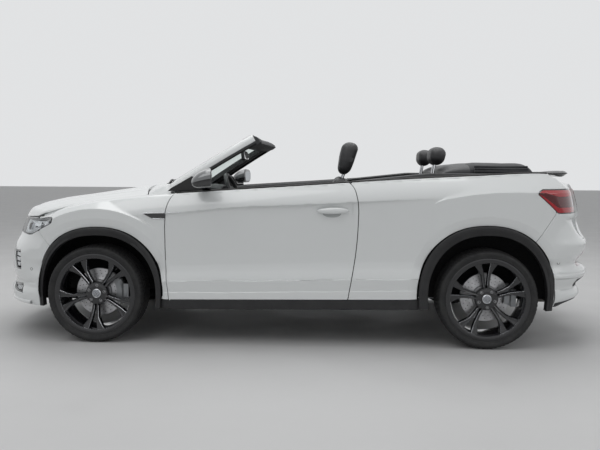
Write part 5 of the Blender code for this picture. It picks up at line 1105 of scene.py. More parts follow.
def make_grille():
    """The dark field between the headlamps, its bars and a bright strip."""
    reach_ = S_GRILLE - S_NOSE - HALF_SEAM
    loop = rounded_loop(rectangle(-reach_, reach_, GRILLE_LOW + 0.001, 0.799), 0.004, 0.010)
    # The field 34 mm behind the bars is near-black: the grille's own black, and painted shade of the deep openings
    # between the bars.
    emit("grille_field", panel(raised(nose_map, -0.034), loop, rim=False, cell=0.02), BLACK_AND_PAINTED_SHADE, replaces="grille",
         slot="black_gloss")
    bars = []
    u = np.linspace(-reach_, reach_, 70)
    for z, d in ((0.612, 0.008), (0.645, 0.012), (0.680, 0.012), (0.715, 0.012), (0.755, 0.008), (0.789, 0.004)):
        line = raised(nose_map, -d)(u, np.full(70, z))
        bars.append(bar(line, ((0, 0.007), (0.020, 0.004), (0.020, -0.005), (0, -0.007))))
    emit("grille_bars", merged(bars), GLOSS)
    line = raised(nose_map, -0.0045)(u, np.full(70, 0.7745))
    emit("grille_strip", bar(line, ((0, 0.0025), (0.006, 0.0025), (0.006, -0.0025), (0, -0.0025))), CHROME)


def lamp_loop(rows, end):
    """A lamp's outline on the body, up to the grille (-1) or the lid (1)."""
    low, high = rows(60, 0.0)
    limit = S_GRILLE - 0.001 if end < 0 else float(s_at_half(LID_HALF + 0.003, 1))
    inside = (lambda s: s > limit) if end < 0 else (lambda s: s < limit)
    low, high = low[inside(low[:, 0])], high[inside(high[:, 0])]
    z_low, z_high = low[-1][1], high[-1][1]
    tip = np.array([[limit, z_low], [limit, z_high]])
    return counter(spread(np.concatenate([low, tip, high[::-1], low[:1]]), 0.006)[:-1])


def sunk(d):
    """The left side's skin moved in by d."""
    return raised(side_map, -d)


def make_headlamps():
    """A clear cover, a black frame round it, and bright bowls behind."""
    loop = lamp_loop(headlamp_rows, -1)
    inner = inset(loop, 0.006)
    both("headlamp_cover", panel(sunk(0.001), loop, cell=0.014, radius=0.0015, lip=0.006), CLEAR,
         replaces="headlamp_{}", slot="lamp_clear")
    both("headlamp_frame", panel(sunk(0.005), inset(loop, 0.0008), holes=[inner], cell=0.010, radius=0.0006, lip=0.05),
         GLOSS)
    s0, s1 = loop[:, 0].min(), loop[:, 0].max()
    split = s0 + (s1 - s0) * 0.34
    both("headlamp_back", panel(sunk(0.052), inset(loop, 0.002), cell=0.02, rim=False), LAMP_BACK)
    bowls, lenses = [], []
    ball = rounded_box((-0.017, -0.012, -0.017), (0.017, 0.012, 0.017), 0.0119, 8)
    for s, z, r in ((split + (s1 - split) * 0.36, 0.782, 0.030), (split - (s1 - s0) * 0.14, 0.770, 0.028)):
        p, y = sunk(0.022)(s, z), -normals_of(side_map, np.array([s]), np.array([z]))[0]
        bowl = lathe([(r, -0.012), (r * 0.96, -0.016), (r * 0.9, -0.006), (r * 0.7, 0.010), (r * 0.4, 0.018),
                      (0.001, 0.020)], 32)
        x = np.cross(y, (0, 0, 1))
        x /= np.linalg.norm(x)
        turn = np.stack([x, y, np.cross(x, y)], axis=1)
        bowls.append(Geo(bowl.p @ turn.T + p, bowl.f))
        lenses.append(Geo(ball.p + p, ball.f))
    both("headlamp_bowls", merged(bowls), CHROME)
    both("headlamp_lenses", merged(lenses), GLOSS)
    # The rear part of the lamp is bright, with a light guide in a tick shape.
    bright = np.array([p for p in inset(loop, 0.008) if p[0] > split])
    both("headlamp_bright", panel(sunk(0.040), bright, cell=0.012, rim=False), LAMP_BRIGHT)
    guide = [(s1 - 0.050, 0.828), (s1 - 0.130, 0.796), (s1 - 0.200, 0.756), (s1 - 0.260, 0.742), (split + 0.02, 0.740)]
    path = spread(spline(guide, 0.01), 0.008)
    both("headlamp_guide", tube(sunk(0.016)(path[:, 0], path[:, 1]), 0.0035, 8), LIGHT_GUIDE)


def make_taillamps():
    """Fields of different reds over one glossy outline."""
    loop = lamp_loop(taillamp_rows, 1)
    both("taillamp_body", panel(sunk(0.0035), loop, cell=0.012, radius=0.0015, lip=0.05), GLOSS,
         replaces="taillamp_{}", slot="lamp_red")
    core = inset(loop, 0.0045)
    low, high = taillamp_rows(200)
    z_low, z_high = curve_through(low), curve_through(high)

    def field(a, b, c, s_from=-9, s_to=9):
        """The part of the lamp from a share a of its height to b at its front and c at its rear."""
        s = np.linspace(max(core[:, 0].min(), s_from), min(core[:, 0].max(), s_to), 50)
        w = np.linspace(0, 1, 50)
        lo, hi = z_low(s) + 0.0045, z_high(s) - 0.0045
        bottom, top = lo + (hi - lo) * (a + 0 * w), lo + (hi - lo) * (b + (c - b) * w)
        keep = top - bottom > 0.0015
        s, bottom, top = s[keep], bottom[keep], top[keep]
        line = np.concatenate([np.stack([s, bottom], 1), np.stack([s, top], 1)[::-1]])
        return counter(spread(np.concatenate([line, line[:1]]), 0.005)[:-1])

    s_max = core[:, 0].max()
    for name, shape, mat in (("red", field(0.70, 1.0, 0.98), RED_LENS),
                             ("dark", field(0.24, 0.685, 0.685), RED_DARK),
                             ("low", field(0.0, 0.225, 0.225, s_to=s_max - 0.16), RED_LENS),
                             ("pale", field(0.0, 0.225, 0.225, s_from=s_max - 0.158), PALE_LENS)):
        both(f"taillamp_{name}", panel(sunk(0.002), shape, cell=0.010, radius=0.0008, lip=0.002), mat)


def curve_through(points):
    """A function of s through a row of points."""
    points = np.array(points)
    order = points[:, 0].argsort()
    return lambda s: np.interp(s, points[order, 0], points[order, 1])


LID_LOW, LID_TOP, X_LID_FRONT = 0.720, 1.150, X_REAR + 0.364
LID_ROWS = np.linspace(1.092, LID_LOW, 40)


def lid_line(y):
    """Points down the boot lid at half widths y, from its front edge to its lower edge."""
    y = np.abs(np.asarray(y, float))
    bow = 0.030 * (y / LID_HALF) ** 2
    rows = [np.stack([X_LID_FRONT + 0 * y, LID_TOP - 0.4 * bow], -1),
            np.stack([X_LID_FRONT + 0.085 + 0 * y, LID_TOP - 0.008 - 0.5 * bow], -1),
            np.stack([X_LID_FRONT + 0.150 + 0 * y, LID_TOP - 0.022 - 0.6 * bow], -1)]
    s = s_at_half(y, 1)
    for z in LID_ROWS:
        rows.append(np.stack([body(s, z)[..., 0], z + 0 * y], -1))
    return np.stack(rows, axis=0)


LID_RUN = lengths(lid_line(0.0))  # down the middle of the lid


def lid_map(u, v):
    """u across, v down the lid from its front edge."""
    u, v = np.broadcast_arrays(np.asarray(u, float), np.asarray(v, float))
    rows = lid_line(u.ravel())
    at = np.interp(v.ravel(), LID_RUN, np.arange(len(LID_RUN)))
    i = np.clip(at.astype(int), 0, len(LID_RUN) - 2)
    t = (at - i)[:, None]
    k = np.arange(len(i))
    xz = rows[i, k] * (1 - t) + rows[i + 1, k] * t
    return np.stack([xz[:, 0], u.ravel(), xz[:, 1]], axis=-1).reshape(*u.shape, 3)


def make_lid():
    """The boot lid, with an inner face."""
    half, end = LID_HALF - GAP, LID_RUN[-1] - 0.001
    loop = rounded_loop(rectangle(-half, half, 0.001, end), 0.012, 0.010)
    emit("boot_lid_skin", panel(lid_map, loop, cell=0.016, back=0.022, lip=0.022), PAINT, "boot_lid", slot="paint",
         replaces="boot_lid")


def make_rear_corners():
    """The painted corners between the rear wings, the tail lamps and the lid, and the lamp fields on the lid."""
    high = taillamp_rows(120, HALF_SEAM)[1]
    s_lid = float(s_at_half(LID_HALF + GAP, 1))
    x_top = X_REAR + 0.395
    drop = wing_drop((x_top, float(belt_z(x_top)) + 0.018))
    over_lamp = high[(high[:, 0] > drop[-1][0]) & (high[:, 0] < s_lid)]
    outer = spread(np.concatenate([drop, over_lamp, [(s_lid, 1.068)]]), count=60)
    near = shoulder_map(outer[:, 0], outer[:, 1])
    line = lid_line(np.full(60, LID_HALF + GAP))[:, 0]
    line = line[line[:, 1] > 1.066]
    far = spread(np.stack([line[:, 0], np.full(len(line), -(LID_HALF + GAP)), line[:, 1]], 1), count=60)
    rows = [near + (0.001, 0.006, -0.014), near + (0, 0.0012, -0.001)]
    for t in np.linspace(0.03, 0.97, 12):
        row = near + (far - near) * t
        row[:, 2] += 0.010 * math.sin(math.pi * t) * smooth((0.97 - np.linspace(0, 1, 60)) / 0.2)
        rows.append(row)
    rows += [far, far + (0, 0.001, -0.004), far + (-0.004, 0.001, -0.022)]
    both("rear_corner", surface_of(rows), PAINT, slot="paint", sharp=50)
    front = np.stack([rows[k][0] for k in range(1, len(rows) - 2)])
    both("rear_corner_front", surface_of([front, front + (0.004, 0, -0.030)]), SEAL)

    def down(z):
        """How far down the lid a height is."""
        return float(np.interp(z, LID_ROWS[::-1], LID_RUN[3:][::-1]))

    edge = -(LID_HALF - GAP - 0.001)
    inner = -0.455
    for name, z0, z1, mat, d in (("back", 0.905, 1.064, GLOSS, 0.0012), ("red", 1.018, 1.058, RED_LENS, 0.0026),
                                 ("dark", 0.948, 1.013, RED_DARK, 0.0026), ("low", 0.910, 0.943, PALE_LENS, 0.0026)):
        trim = 0.004 if name != "back" else 0.0
        reach_ = inner - (0.0 if z1 > 1.0 else 0.022)
        loop = rounded_loop([(edge + trim, down(z1)), (reach_ - trim, down(z1)), (reach_ + 0.012 - trim, down(z0)),
                             (edge + trim, down(z0))], 0.006, 0.006)
        both(f"lid_lamp_{name}", panel(raised(lid_map, d), loop, radius=0.0008, lip=0.003, cell=0.012), mat, "boot_lid")
    plate = panel(raised(lid_map, 0.004), rounded_loop(rectangle(-0.260, 0.260, down(0.86), down(0.75)), 0.008, 0.010),
                  radius=0.001, lip=0.004, cell=0.03)
    emit("rear_plate", plate, PALE_LENS, "boot_lid")
    handle = rounded_box((-0.16, -0.010, -0.010), (0.16, 0.010, 0.010), 0.005, 8)
    at = lid_map(0.0, down(0.905))
    emit("lid_handle", Geo(handle.p[:, [2, 0, 1]] + at + (0.004, 0, 0), handle.f).turned(), GLOSS, "boot_lid")


def make_spoiler():
    """The blade on the boot lid and its two feet."""
    rings = []
    profile = np.array([(0.016, 1.160), (0.030, 1.168), (0.070, 1.178), (0.120, 1.182), (0.190, 1.183), (0.226, 1.180),
                        (0.238, 1.172), (0.236, 1.163), (0.222, 1.150), (0.205, 1.142), (0.188, 1.142), (0.150, 1.152),
                        (0.090, 1.156), (0.030, 1.154)])
    profile = spline(np.concatenate([profile, profile[:1]]), 0.006)[:-1]
    for y in np.concatenate([[-0.560, -0.557, -0.548], np.linspace(-0.53, 0.53, 41), [0.548, 0.557, 0.560]]):
        back = 0.016 - 0.030 * (y / 0.56) ** 2
        thin = 1 - 0.75 * smooth((abs(y) - 0.53) / 0.03)
        x = X_LID_FRONT + profile[:, 0] + back * np.clip((profile[:, 0] - 0.1) / 0.1, 0, 1)
        z = 1.166 + (profile[:, 1] - 1.166) * thin
        rings.append(np.stack([x, np.full(len(x), y), z], axis=1))
    emit("spoiler_blade", loft(rings), GLOSS, "boot_lid", slot="black_gloss", replaces="spoiler")
    feet = []
    for y in (-0.40, 0.40):
        at = lid_map(np.full(2, y), np.array([0.050, 0.120]))
        outline = [(at[0, 0], at[0, 2]), (at[1, 0], at[1, 2]), (at[1, 0] + 0.01, 1.165), (at[0, 0] - 0.01, 1.165)]
        feet.append(extruded(outline, (y - 0.03, y + 0.03)))
    finish_edges(emit("spoiler_feet", merged(feet), GLOSS, "boot_lid"), 0.003)


DIFFUSER_HALF, DIFFUSER_TOP = 0.580, 0.440


def make_rear_bumper():
    """The painted tail with its reflectors, vents and dark lower edges."""
    foot_z, base_z = 0.288, 0.300
    low = taillamp_rows(60, HALF_SEAM)[0]
    foot = arch(REAR_ARCH, HALF_SEAM, foot_z)
    foot = foot[(foot[:, 0] > REAR_ARCH[0]) & (foot[:, 1] < QUARTER_SEAM[0][1]) & (foot[:, 1] > foot_z)][::-1]
    seam = spline([(x + HALF_SEAM, z) for x, z in QUARTER_SEAM], STEP)
    side = on_side(np.concatenate([foot, seam]))
    k = nearest(low, side[-1][0])
    s_lid = float(s_at_half(LID_HALF + GAP, 1))
    s_diffuser = float(s_at_half(DIFFUSER_HALF, 1))
    edge_low = low[(low[:, 0] >= low[k, 0]) & (low[:, 0] < s_lid)]
    end_s = side[0][0]
    s = np.linspace(s_diffuser, end_s, 40)
    base = np.stack([s, base_z - 0.011 * smooth((s_diffuser - s) / (s_diffuser - end_s))], axis=1)
    left = [[(S_TAIL, DIFFUSER_TOP), (s_diffuser, DIFFUSER_TOP), (s_diffuser, base_z)], base, side, edge_low,
            [(s_lid, edge_low[-1][1]), (s_lid, LID_LOW - SHUT), (S_TAIL, LID_LOW - SHUT)]]
    loop = symmetric(on_tail(joined_line(left)))
    emit("rear_bumper_skin", panel(tail_map, loop, cell=0.010), PAINT, slot="paint", replaces="rear_bumper")
    # Dark reflector, vent and lower edge at each corner; the vent is a flat near-black patch on the skin, painted shade
    # of an opening.
    for name, shape, mat in (("reflector", [(2.050, 0.540), (2.105, 0.640), (2.190, 0.635), (2.190, 0.535)], RED_DARK),
                             ("rear_vent", [(1.985, 0.462), (2.180, 0.470), (2.250, 0.400), (2.020, 0.402)], BLACK_AND_PAINTED_SHADE)):
        loop = rounded_loop(on_tail(shape), 0.008, 0.006)
        both(name, panel(raised(tail_map, 0.001), loop, radius=0.001, lip=0.004, cell=0.012), mat)
    low_edge = [(s_diffuser + 0.002, 0.286), (s_diffuser + 0.002, 0.322), (1.960, 0.330), (end_s + 0.010, 0.312),
                (end_s + 0.010, 0.282)]
    shape = counter(spread(on_tail(low_edge + low_edge[:1]), 0.008)[:-1])
    both("rear_low_edge", panel(raised(tail_map, 0.0025), shape, radius=0.0015, lip=0.010, cell=0.014), PLASTIC)
    # Known fault: loop is the rear vent's outline here. The one that was meant is the rectangle from z 0.292 to
    # DIFFUSER_TOP - 0.002, S_TAIL - s_diffuser - 0.001 to each side of the middle, with corners of 0.010.
    emit("diffuser_skin", panel(raised(tail_map, -0.002), loop, cell=0.018), PLASTIC, slot="black_trim",
         replaces="diffuser")


# ---------------------------------------------------------------- black cladding
def make_cladding():
    """Black bands round the wheel arches and strips along the sills."""
    for name, shape, lip, low in (("front", FRONT_ARCH, FRONT_LIP, 0.240), ("rear", REAR_ARCH, REAR_LIP, 0.262)):
        out = spread(arch(shape, -HALF_SEAM, low), count=90)
        into = spread(arch(lip, 0.0, low), count=90)
        rings = []
        for share, deep in ((0.0, 0.010), (0.0, 0.002), (0.03, -0.002), (0.10, -0.0035), (0.52, -0.004),
                            (0.56, -0.002), (0.92, -0.0035), (0.97, -0.001), (1.0, 0.003)):
            at = out + (into - out) * share
            s = s_at(at[:, 0], at[:, 1])
            base = body(s, at[:, 1])
            base[:, 1] += 0.9 * arch_facet(base[:, 0], base[:, 2])
            for k in (0, 1):  # each point takes the mean of 17, which evens out the facet's steps
                wide = np.pad(base[:, k], 8, mode="reflect", reflect_type="odd")
                base[:, k] = np.convolve(wide, np.ones(17) / 17, mode="valid")
            rings.append(base - (0, deep, 0))
        rings += [rings[-1] - (0, deep, 0) for deep in (0.020, 0.048)]
        rings = np.array(rings) * LEFT
        both(f"arch_band_{name}", surface_of(rings), PLASTIC, replaces="cladding_{}", slot="black_trim", sharp=50)
    x = np.linspace(reach(FRONT_ARCH, 0.335, 1) - 0.035, reach(REAR_ARCH, 0.335, -1) + 0.035, 60)
    loop = closed([np.stack([x, under_z(x)], 1), np.stack([x, sill_z(x) - GAP * 0.6], 1)[::-1]], 0.010)
    both("sill_strip", panel(side_map, loop, cell=0.014, radius=0.004, lip=0.08), PLASTIC, slot="black_trim",
         replaces="cladding_{}")


# ---------------------------------------------------------------- windscreen and cowl
SCREEN_X, SCREEN_Z, HEADER_X, SCREEN_TOP = X_FRONT + 0.345, 1.068, X_FRONT + 0.960, 1.440
PILLAR_FOOT, PILLAR_TOP = 0.735, 0.600
GLASS_EDGE, GLASS_FOOT, GLASS_HEAD = 0.915, 0.035, 0.905
SCREEN_W, SCREEN_L = 0.70, 0.70


def screen(a, b, sink=0.0):
    """The windscreen's surface: a from -1 to 1 across, b from 0 to 1 up, moved inwards by sink."""
    side = np.abs(a)
    x0, x1 = SCREEN_X + 0.150 * side**2, HEADER_X + 0.090 * side**2
    y = (PILLAR_FOOT + (PILLAR_TOP - PILLAR_FOOT) * b) * a
    z0, z1 = SCREEN_Z + 0.004 * (1 - side**2), SCREEN_TOP - 0.020 * side**2
    x, z = x0 + (x1 - x0) * b, z0 + (z1 - z0) * b + 0.030 * b * (1 - b)
    return np.stack([x + 0.49 * sink, y, z - 0.87 * sink], axis=-1)


def screen_map(sink=0.0):
    """u across, v up, both in metres over the windscreen."""
    return lambda u, v: screen(*np.broadcast_arrays(np.asarray(u, float) / SCREEN_W, np.asarray(v, float) / SCREEN_L),
                               sink)


PILLAR_RIM = (  # (share of the half width, sink, further out) round a pillar's outer edge
    (0.94, -0.0042, 0), (0.985, -0.003, 0.001), (0.998, 0.001, 0.004), (1.0, 0.010, 0.008), (1.0, 0.026, 0.012),
    (1.0, 0.040, 0.013), (1.0, 0.043, 0.010), (0.96, 0.043, 0))


def make_pillars():
    """The pillars beside the windscreen, with their inner trim."""
    w, h = SCREEN_W, SCREEN_L
    for side, name in SIDES:
        loop = rounded_loop(rectangle(*sorted((side * GLASS_EDGE * w, side * w)), -0.035 * h, 0.985 * h), 0.002, 0.012)
        geo = panel(screen_map(-0.004), loop, radius=0.010, lip=0.044, cell=0.016)
        rings = [[screen(side * a, b, d) + (0, side * y, 0) for a, d, y in PILLAR_RIM][::side]
                 for b in np.linspace(-0.02, 0.984, 40)]
        emit(f"pillar_{name}", merged([geo, loft(rings)]), PAINT, slot="paint", replaces="windscreen_frame")
        wide = sorted((side * (GLASS_EDGE - 0.085) * w, side * 0.980 * w))
        loop = rounded_loop(rectangle(*wide, -0.03 * h, 0.955 * h), 0.03, 0.012)
        geo = panel(screen_map(0.016), loop, radius=0.010, lip=0.030, cell=0.016, back=0.036)
        edge = sorted((side * (GLASS_EDGE - 0.02) * w, side * (1.001 * w + 0.010)))
        loop = rounded_loop(rectangle(*edge, 0.06 * h, 0.986 * h), 0.004, 0.012)
        cover = panel(screen_map(0.0415), loop, radius=0.003, lip=0.010, cell=0.016, back=0.013)
        emit(f"pillar_trim_{name}", merged([geo, cover]), SOFT_TRIM)


def make_header():
    """The bar over the windscreen, with its inner side."""
    w, h = SCREEN_W, SCREEN_L
    loop = rounded_loop([(-0.995 * w, GLASS_HEAD * h), (0.995 * w, GLASS_HEAD * h), (0.985 * w, h), (-0.985 * w, h)],
                        0.015, 0.012)
    emit("header", panel(screen_map(-0.001), loop, radius=0.006, lip=0.036, cell=0.02, back=0.040), GLOSS,
         slot="black_gloss", replaces="windscreen_frame")
    # The inner side of the header, which takes the roof's catches.
    rings = []
    for a in np.linspace(-0.97, 0.97, 41):
        top, low = screen(a, 1.0, 0.0), screen(a, 0.86, 0.014)
        end = 1 - 0.35 * smooth((abs(a) - 0.90) / 0.07)
        rings.append([top + (-0.004, 0, -0.005), top + (0.030 * end, 0, -0.014), top + (0.064 * end, 0, -0.034),
                      top + (0.072 * end, 0, -0.052), top + (0.050 * end, 0, -0.068), top + (-0.010, 0, -0.082),
                      low + (0.012, 0, -0.030), low])
    emit("header_lining", loft(rings), SOFT_TRIM, replaces="windscreen_frame", sharp=50)


def make_inner_mirror():
    """The mirror behind the windscreen, on its stalk."""
    at = screen(0.0, 0.80, 0.050)
    for name, geo, mat in (
            ("inner_mirror", rounded_box((-0.013, -0.120, -0.036), (0.013, 0.120, 0.034), 0.012, 12, 0.004), SOFT_TRIM),
            ("inner_mirror_glass", rounded_box((0.011, -0.112, -0.029), (0.0145, 0.112, 0.027), 0.0017, 8), CHROME)):
        emit(name, leaned(geo, (0, 0), -8).moved(at + (0.045, 0, -0.040)), mat)
    stalk = tube([at + (0.000, 0, 0.014), at + (0.015, 0, 0.0), at + (0.036, 0, -0.030)], 0.009, 10)
    base = rounded_box((-0.03, -0.045, -0.010), (0.02, 0.045, 0.010), 0.008, 8).moved(at + (-0.010, 0, 0.010))
    emit("inner_mirror_foot", merged([stalk, base]), SOFT_TRIM)


def make_windscreen():
    """The glass and its black border."""
    w, h = SCREEN_W, SCREEN_L
    edge, foot, head = GLASS_EDGE * w - 0.001, GLASS_FOOT * h, GLASS_HEAD * h - 0.001
    loop = rounded_loop(rectangle(-edge, edge, foot, head), 0.02, 0.015)
    emit("screen_pane", panel(screen_map(0.006), loop, radius=0.001, lip=0.003, cell=0.03, back=0.005), GLASS,
         slot="screen_glass", replaces="windscreen")
    emit("screen_border", panel(screen_map(0.0125), loop, radius=0.0005, lip=0.0005, cell=0.02,
                                holes=[inset(loop, 0.022)]), SEAL)


def make_cowl():
    """The black tray between the bonnet and the glass."""
    v = np.linspace(-1, 1, 61)
    front = bonnet_map(np.full(61, BONNET_LENGTH + 0.004), v * (BONNET_WIDTH - 0.004))
    back = screen(v * 0.99, np.full(61, GLASS_FOOT + 0.01), 0.004)
    rows = []
    for share, drop in ((0, 0.040), (0, 0.026), (0.20, 0.027), (0.45, 0.030), (0.62, 0.028), (0.80, 0.014),
                        (0.92, 0.003), (1.0, 0.0)):
        rows.append((front + (back - front) * share - (0, 0, drop))[9:52])  # without its ends, under the corners
    emit("cowl", surface_of(rows), PLASTIC, sharp=40)


def make_cowl_corners():
    """Painted corners beside the tray, from the bonnet's edge to the pillars' feet."""
    v = np.concatenate([np.linspace(0.70, 0.985, 16), [0.998]])
    front = bonnet_map(np.full(17, BONNET_LENGTH + 0.005), -v * BONNET_WIDTH)
    back = screen(-np.minimum(v + 0.02, 1.0), np.full(17, 0.012), -0.003)
    # They start behind the arc that the bonnet's rear edge swings through, and their front face follows it.
    shares, lifts = (0, 0.06, 0.35, 0.7, 0.97, 1.0), (-0.001, 0.001, 0.008, 0.010, 0.003, -0.012)
    hinge = np.array([BONNET_HINGE[0], 0, BONNET_HINGE[1]])
    edge = bonnet_map(np.full(17, BONNET_LENGTH - 0.002), -v * BONNET_WIDTH)
    start = np.zeros(17)
    for k in range(17):
        t = np.linspace(0, 0.9, 181)
        line = front[k] + (back[k] - front[k]) * t[:, None] + np.interp(t, shares, lifts)[:, None] * (0, 0, 1)
        near = np.zeros(181, bool)
        for open_ in np.radians(np.linspace(2, 51, 50)):  # where each point lies as the opened bonnet sees it
            x, z = line[:, 0] - hinge[0], line[:, 2] - hinge[2]
            x, z = x * math.cos(open_) - z * math.sin(open_), x * math.sin(open_) + z * math.cos(open_)
            ahead = edge[k, 0] - hinge[0] - x
            below = edge[k, 2] - hinge[2] - 0.14 * ahead - z
            near |= (ahead > -0.004) & (below > -0.004) & (below < 0.026)
        start[k] = t[min(np.nonzero(near)[0].max() + 1, 180)] if near.any() else 0.0
    rows = []
    for share in shares:
        t = start + (1 - start) * share
        row = front + (back - front) * t[:, None]
        row[:, 2] += np.interp(t, shares, lifts)
        rows.append(row)
    arm = (rows[0] - hinge) * (1, 0, 1)
    for swing in (15, 30):
        c, d = math.cos(math.radians(swing)), math.sin(math.radians(swing))
        swung = np.stack([c * arm[:, 0] + d * arm[:, 2], 0 * arm[:, 0], -d * arm[:, 0] + c * arm[:, 2]], axis=1)
        rows.insert(0, rows[-len(shares)] - arm + swung)
    for row, share in zip(rows, (0, 0, 0, 0.06, 0.35, 0.7, 0.97, 1.0)):
        x = X_BONNET_REAR + 0.004 + share * 0.155
        row[-1] = (x, -(float(bonnet_half(X_BONNET_REAR)) + GAP), float(belt_z(x)) + 0.008)
    rows = [np.concatenate([row, [row[-1] + (0, -0.003, -0.020)]]) for row in rows]
    both("cowl_corner", surface_of(rows), PAINT, slot="paint", sharp=50)


def make_wipers():
    """Two wipers, parked along the tray."""
    for name, y0, y1 in (("l", -0.56, -0.02), ("r", 0.02, 0.50)):
        a = np.linspace(y0, y1, 24) / PILLAR_FOOT
        blade = np.stack([screen(t, 0.045 + 0.02 * (k / 23), -0.0015) for k, t in enumerate(a)])
        arm = [blade[12] + (0.0, 0, 0.005), blade[6] + (-0.004, 0, 0.005), screen(a[1], 0.028, -0.004),
               screen(a[0], 0.006, -0.001)]
        emit(f"wiper_{name}", merged([tube(blade, 0.0045, 8), tube(spline(arm, 0.02), 0.006, 8),
                                      tube([arm[-1] + (0, 0, -0.015), arm[-1] + (0, 0, 0.006)], 0.011, 12)]), PLASTIC)


def make_pillar_trim():
    """Seals under the pillars and the black corner in front of each door mirror."""
    for side, name in SIDES:
        line = np.stack([screen(side * 1.0, b, 0.056) for b in np.linspace(0.08, 0.97, 30)]) - (0, side * 0.010, 0)
        emit(f"pillar_seal_{name}", tube(line, 0.010, 10), SEAL)
    corner = [(-0.806, 1.030), (-0.560, 1.035), (-0.560, 1.052), (-0.600, 1.118), (-0.640, 1.132), (-0.780, 1.052)]
    for obj in both("mirror_corner", extruded(corner, (-0.812, -0.792)), PLASTIC, "door_{}"):
        finish_edges(obj, 0.003)


# ---------------------------------------------------------------- wheels
TYRE_SECTION = [  # (radius, across) from the outer bead over the tread to the middle
    (0.2690, -0.0940), (0.2735, -0.1000), (0.2790, -0.1045), (0.2805, -0.1068), (0.2835, -0.1080), (0.2862, -0.1070),
    (0.2885, -0.1082), (0.2950, -0.1104), (0.3010, -0.1118), (0.3070, -0.1122), (0.3120, -0.1112), (0.3165, -0.1085),
    (0.3200, -0.1048), (0.3230, -0.1005), (0.3256, -0.0955), (0.3276, -0.0900), (0.3290, -0.0840), (0.3298, -0.0780),
    (0.3302, -0.0700), (0.3304, -0.0610), (0.3305, -0.0598), (0.3235, -0.0590), (0.3235, -0.0510), (0.3306, -0.0502),
    (0.3308, -0.0400), (0.3309, -0.0300), (0.3309, -0.0250), (0.3235, -0.0242), (0.3235, -0.0150), (0.3310, -0.0142),
    (0.3310, 0.0)]
BLOCKS = 74  # tread blocks round the tyre
BOLT_CIRCLE = 0.056  # radius on which the five wheel bolts stand


def tread_cuts(angle, across):
    """Slots between the tread's blocks, swept back towards the shoulder."""
    turn = (angle / math.tau * BLOCKS + np.abs(across) * 9) % 1.0
    slot = np.clip(1 - np.abs(turn - 0.5) / 0.17, 0, 1) > 0.01
    shoulder = smooth((np.abs(across) - 0.060) / 0.002) * smooth((0.1060 - np.abs(across)) / 0.004)
    middle = smooth((0.050 - np.abs(across)) / 0.002) * smooth((np.abs(across) - 0.025) / 0.002)
    return slot * (0.0042 * shoulder + 0.0030 * middle)


def wheel_edge(radius, side):
    """Angle of a bar's edge at a radius: the edge towards the pair's middle (-1) or away from it (1)."""
    degrees = [3.5, 3.0, 4.2, 5.0, 7.2] if side < 0 else [17.5, 12.0, 11.0, 13.5, 19.5]
    return math.radians(np.interp(radius, [0.060, 0.110, 0.165, 0.190, 0.252], degrees))


def spoke_face(radius):
    """How far out a spoke's face stands at a radius."""
    return -0.066 - 0.030 * np.clip((radius - 0.05) / 0.20, 0, 1) ** 1.3


def make_spoke(sign):
    """One of the two bars of a pair; its pair points along +X."""
    rings = []
    radii = np.concatenate([np.linspace(0.050, 0.160, 10), np.linspace(0.168, 0.200, 5), np.linspace(0.212, 0.256, 5)])
    for r in radii:
        a0, a1 = wheel_edge(r, -1) * sign, wheel_edge(r, 1) * sign
        y, mid = float(spoke_face(r)), 0.5 * (a0 + a1)
        width = abs(a1 - a0) * r
        bevel = min(0.0035, width * 0.2) / r * np.sign(a1 - a0)
        flare = min(0.004, width * 0.3) / r * np.sign(a1 - a0)
        ridge = [(a0 - flare, y + 0.030), (a0, y + 0.0045), (a0 + bevel, y), (mid, y + 0.0022), (a1 - bevel, y),
                 (a1, y + 0.0045), (a1 + flare, y + 0.030)]
        rings.append([(r * math.cos(a), h, r * math.sin(a)) for a, h in ridge])
    return loft(rings)


def make_edges(sign):
    """Thin bright lines along a bar's bevels."""
    parts = []
    for side in (-1, 1):
        rings = []
        for r in np.linspace(0.085, 0.246, 24):
            a, y = wheel_edge(r, side) * sign, float(spoke_face(r))
            inward = math.copysign(1, wheel_edge(r, -side) * sign - a)
            near, far = a + inward * 0.0012 / r, a + inward * 0.0030 / r
            rings.append([(r * math.cos(t), h, r * math.sin(t)) for t, h in
                          ((near, y + 0.0029), (near, y + 0.0020), (far, y - 0.0001), (far, y + 0.0008))])
        parts.append(loft(rings))
    return merged(parts)


def make_calliper():
    """The brake calliper over the disc's edge, behind the axle."""
    rings = []
    for a in np.radians(np.linspace(-24, 24, 13)):
        c, q = math.cos(a), math.sin(a)
        swell = 0.004 * math.cos(a * 3.4)
        section = ((0.120, 0.002), (0.126, -0.014 - swell), (0.160, -0.018 - swell), (0.178, -0.010), (0.184, 0.004),
                   (0.184, 0.036), (0.176, 0.050), (0.130, 0.054), (0.124, 0.040), (0.168, 0.038), (0.168, 0.003))
        rings.append([(r * c, y, r * q) for r, y in section])
    return loft(rings).spun(math.radians(-8))


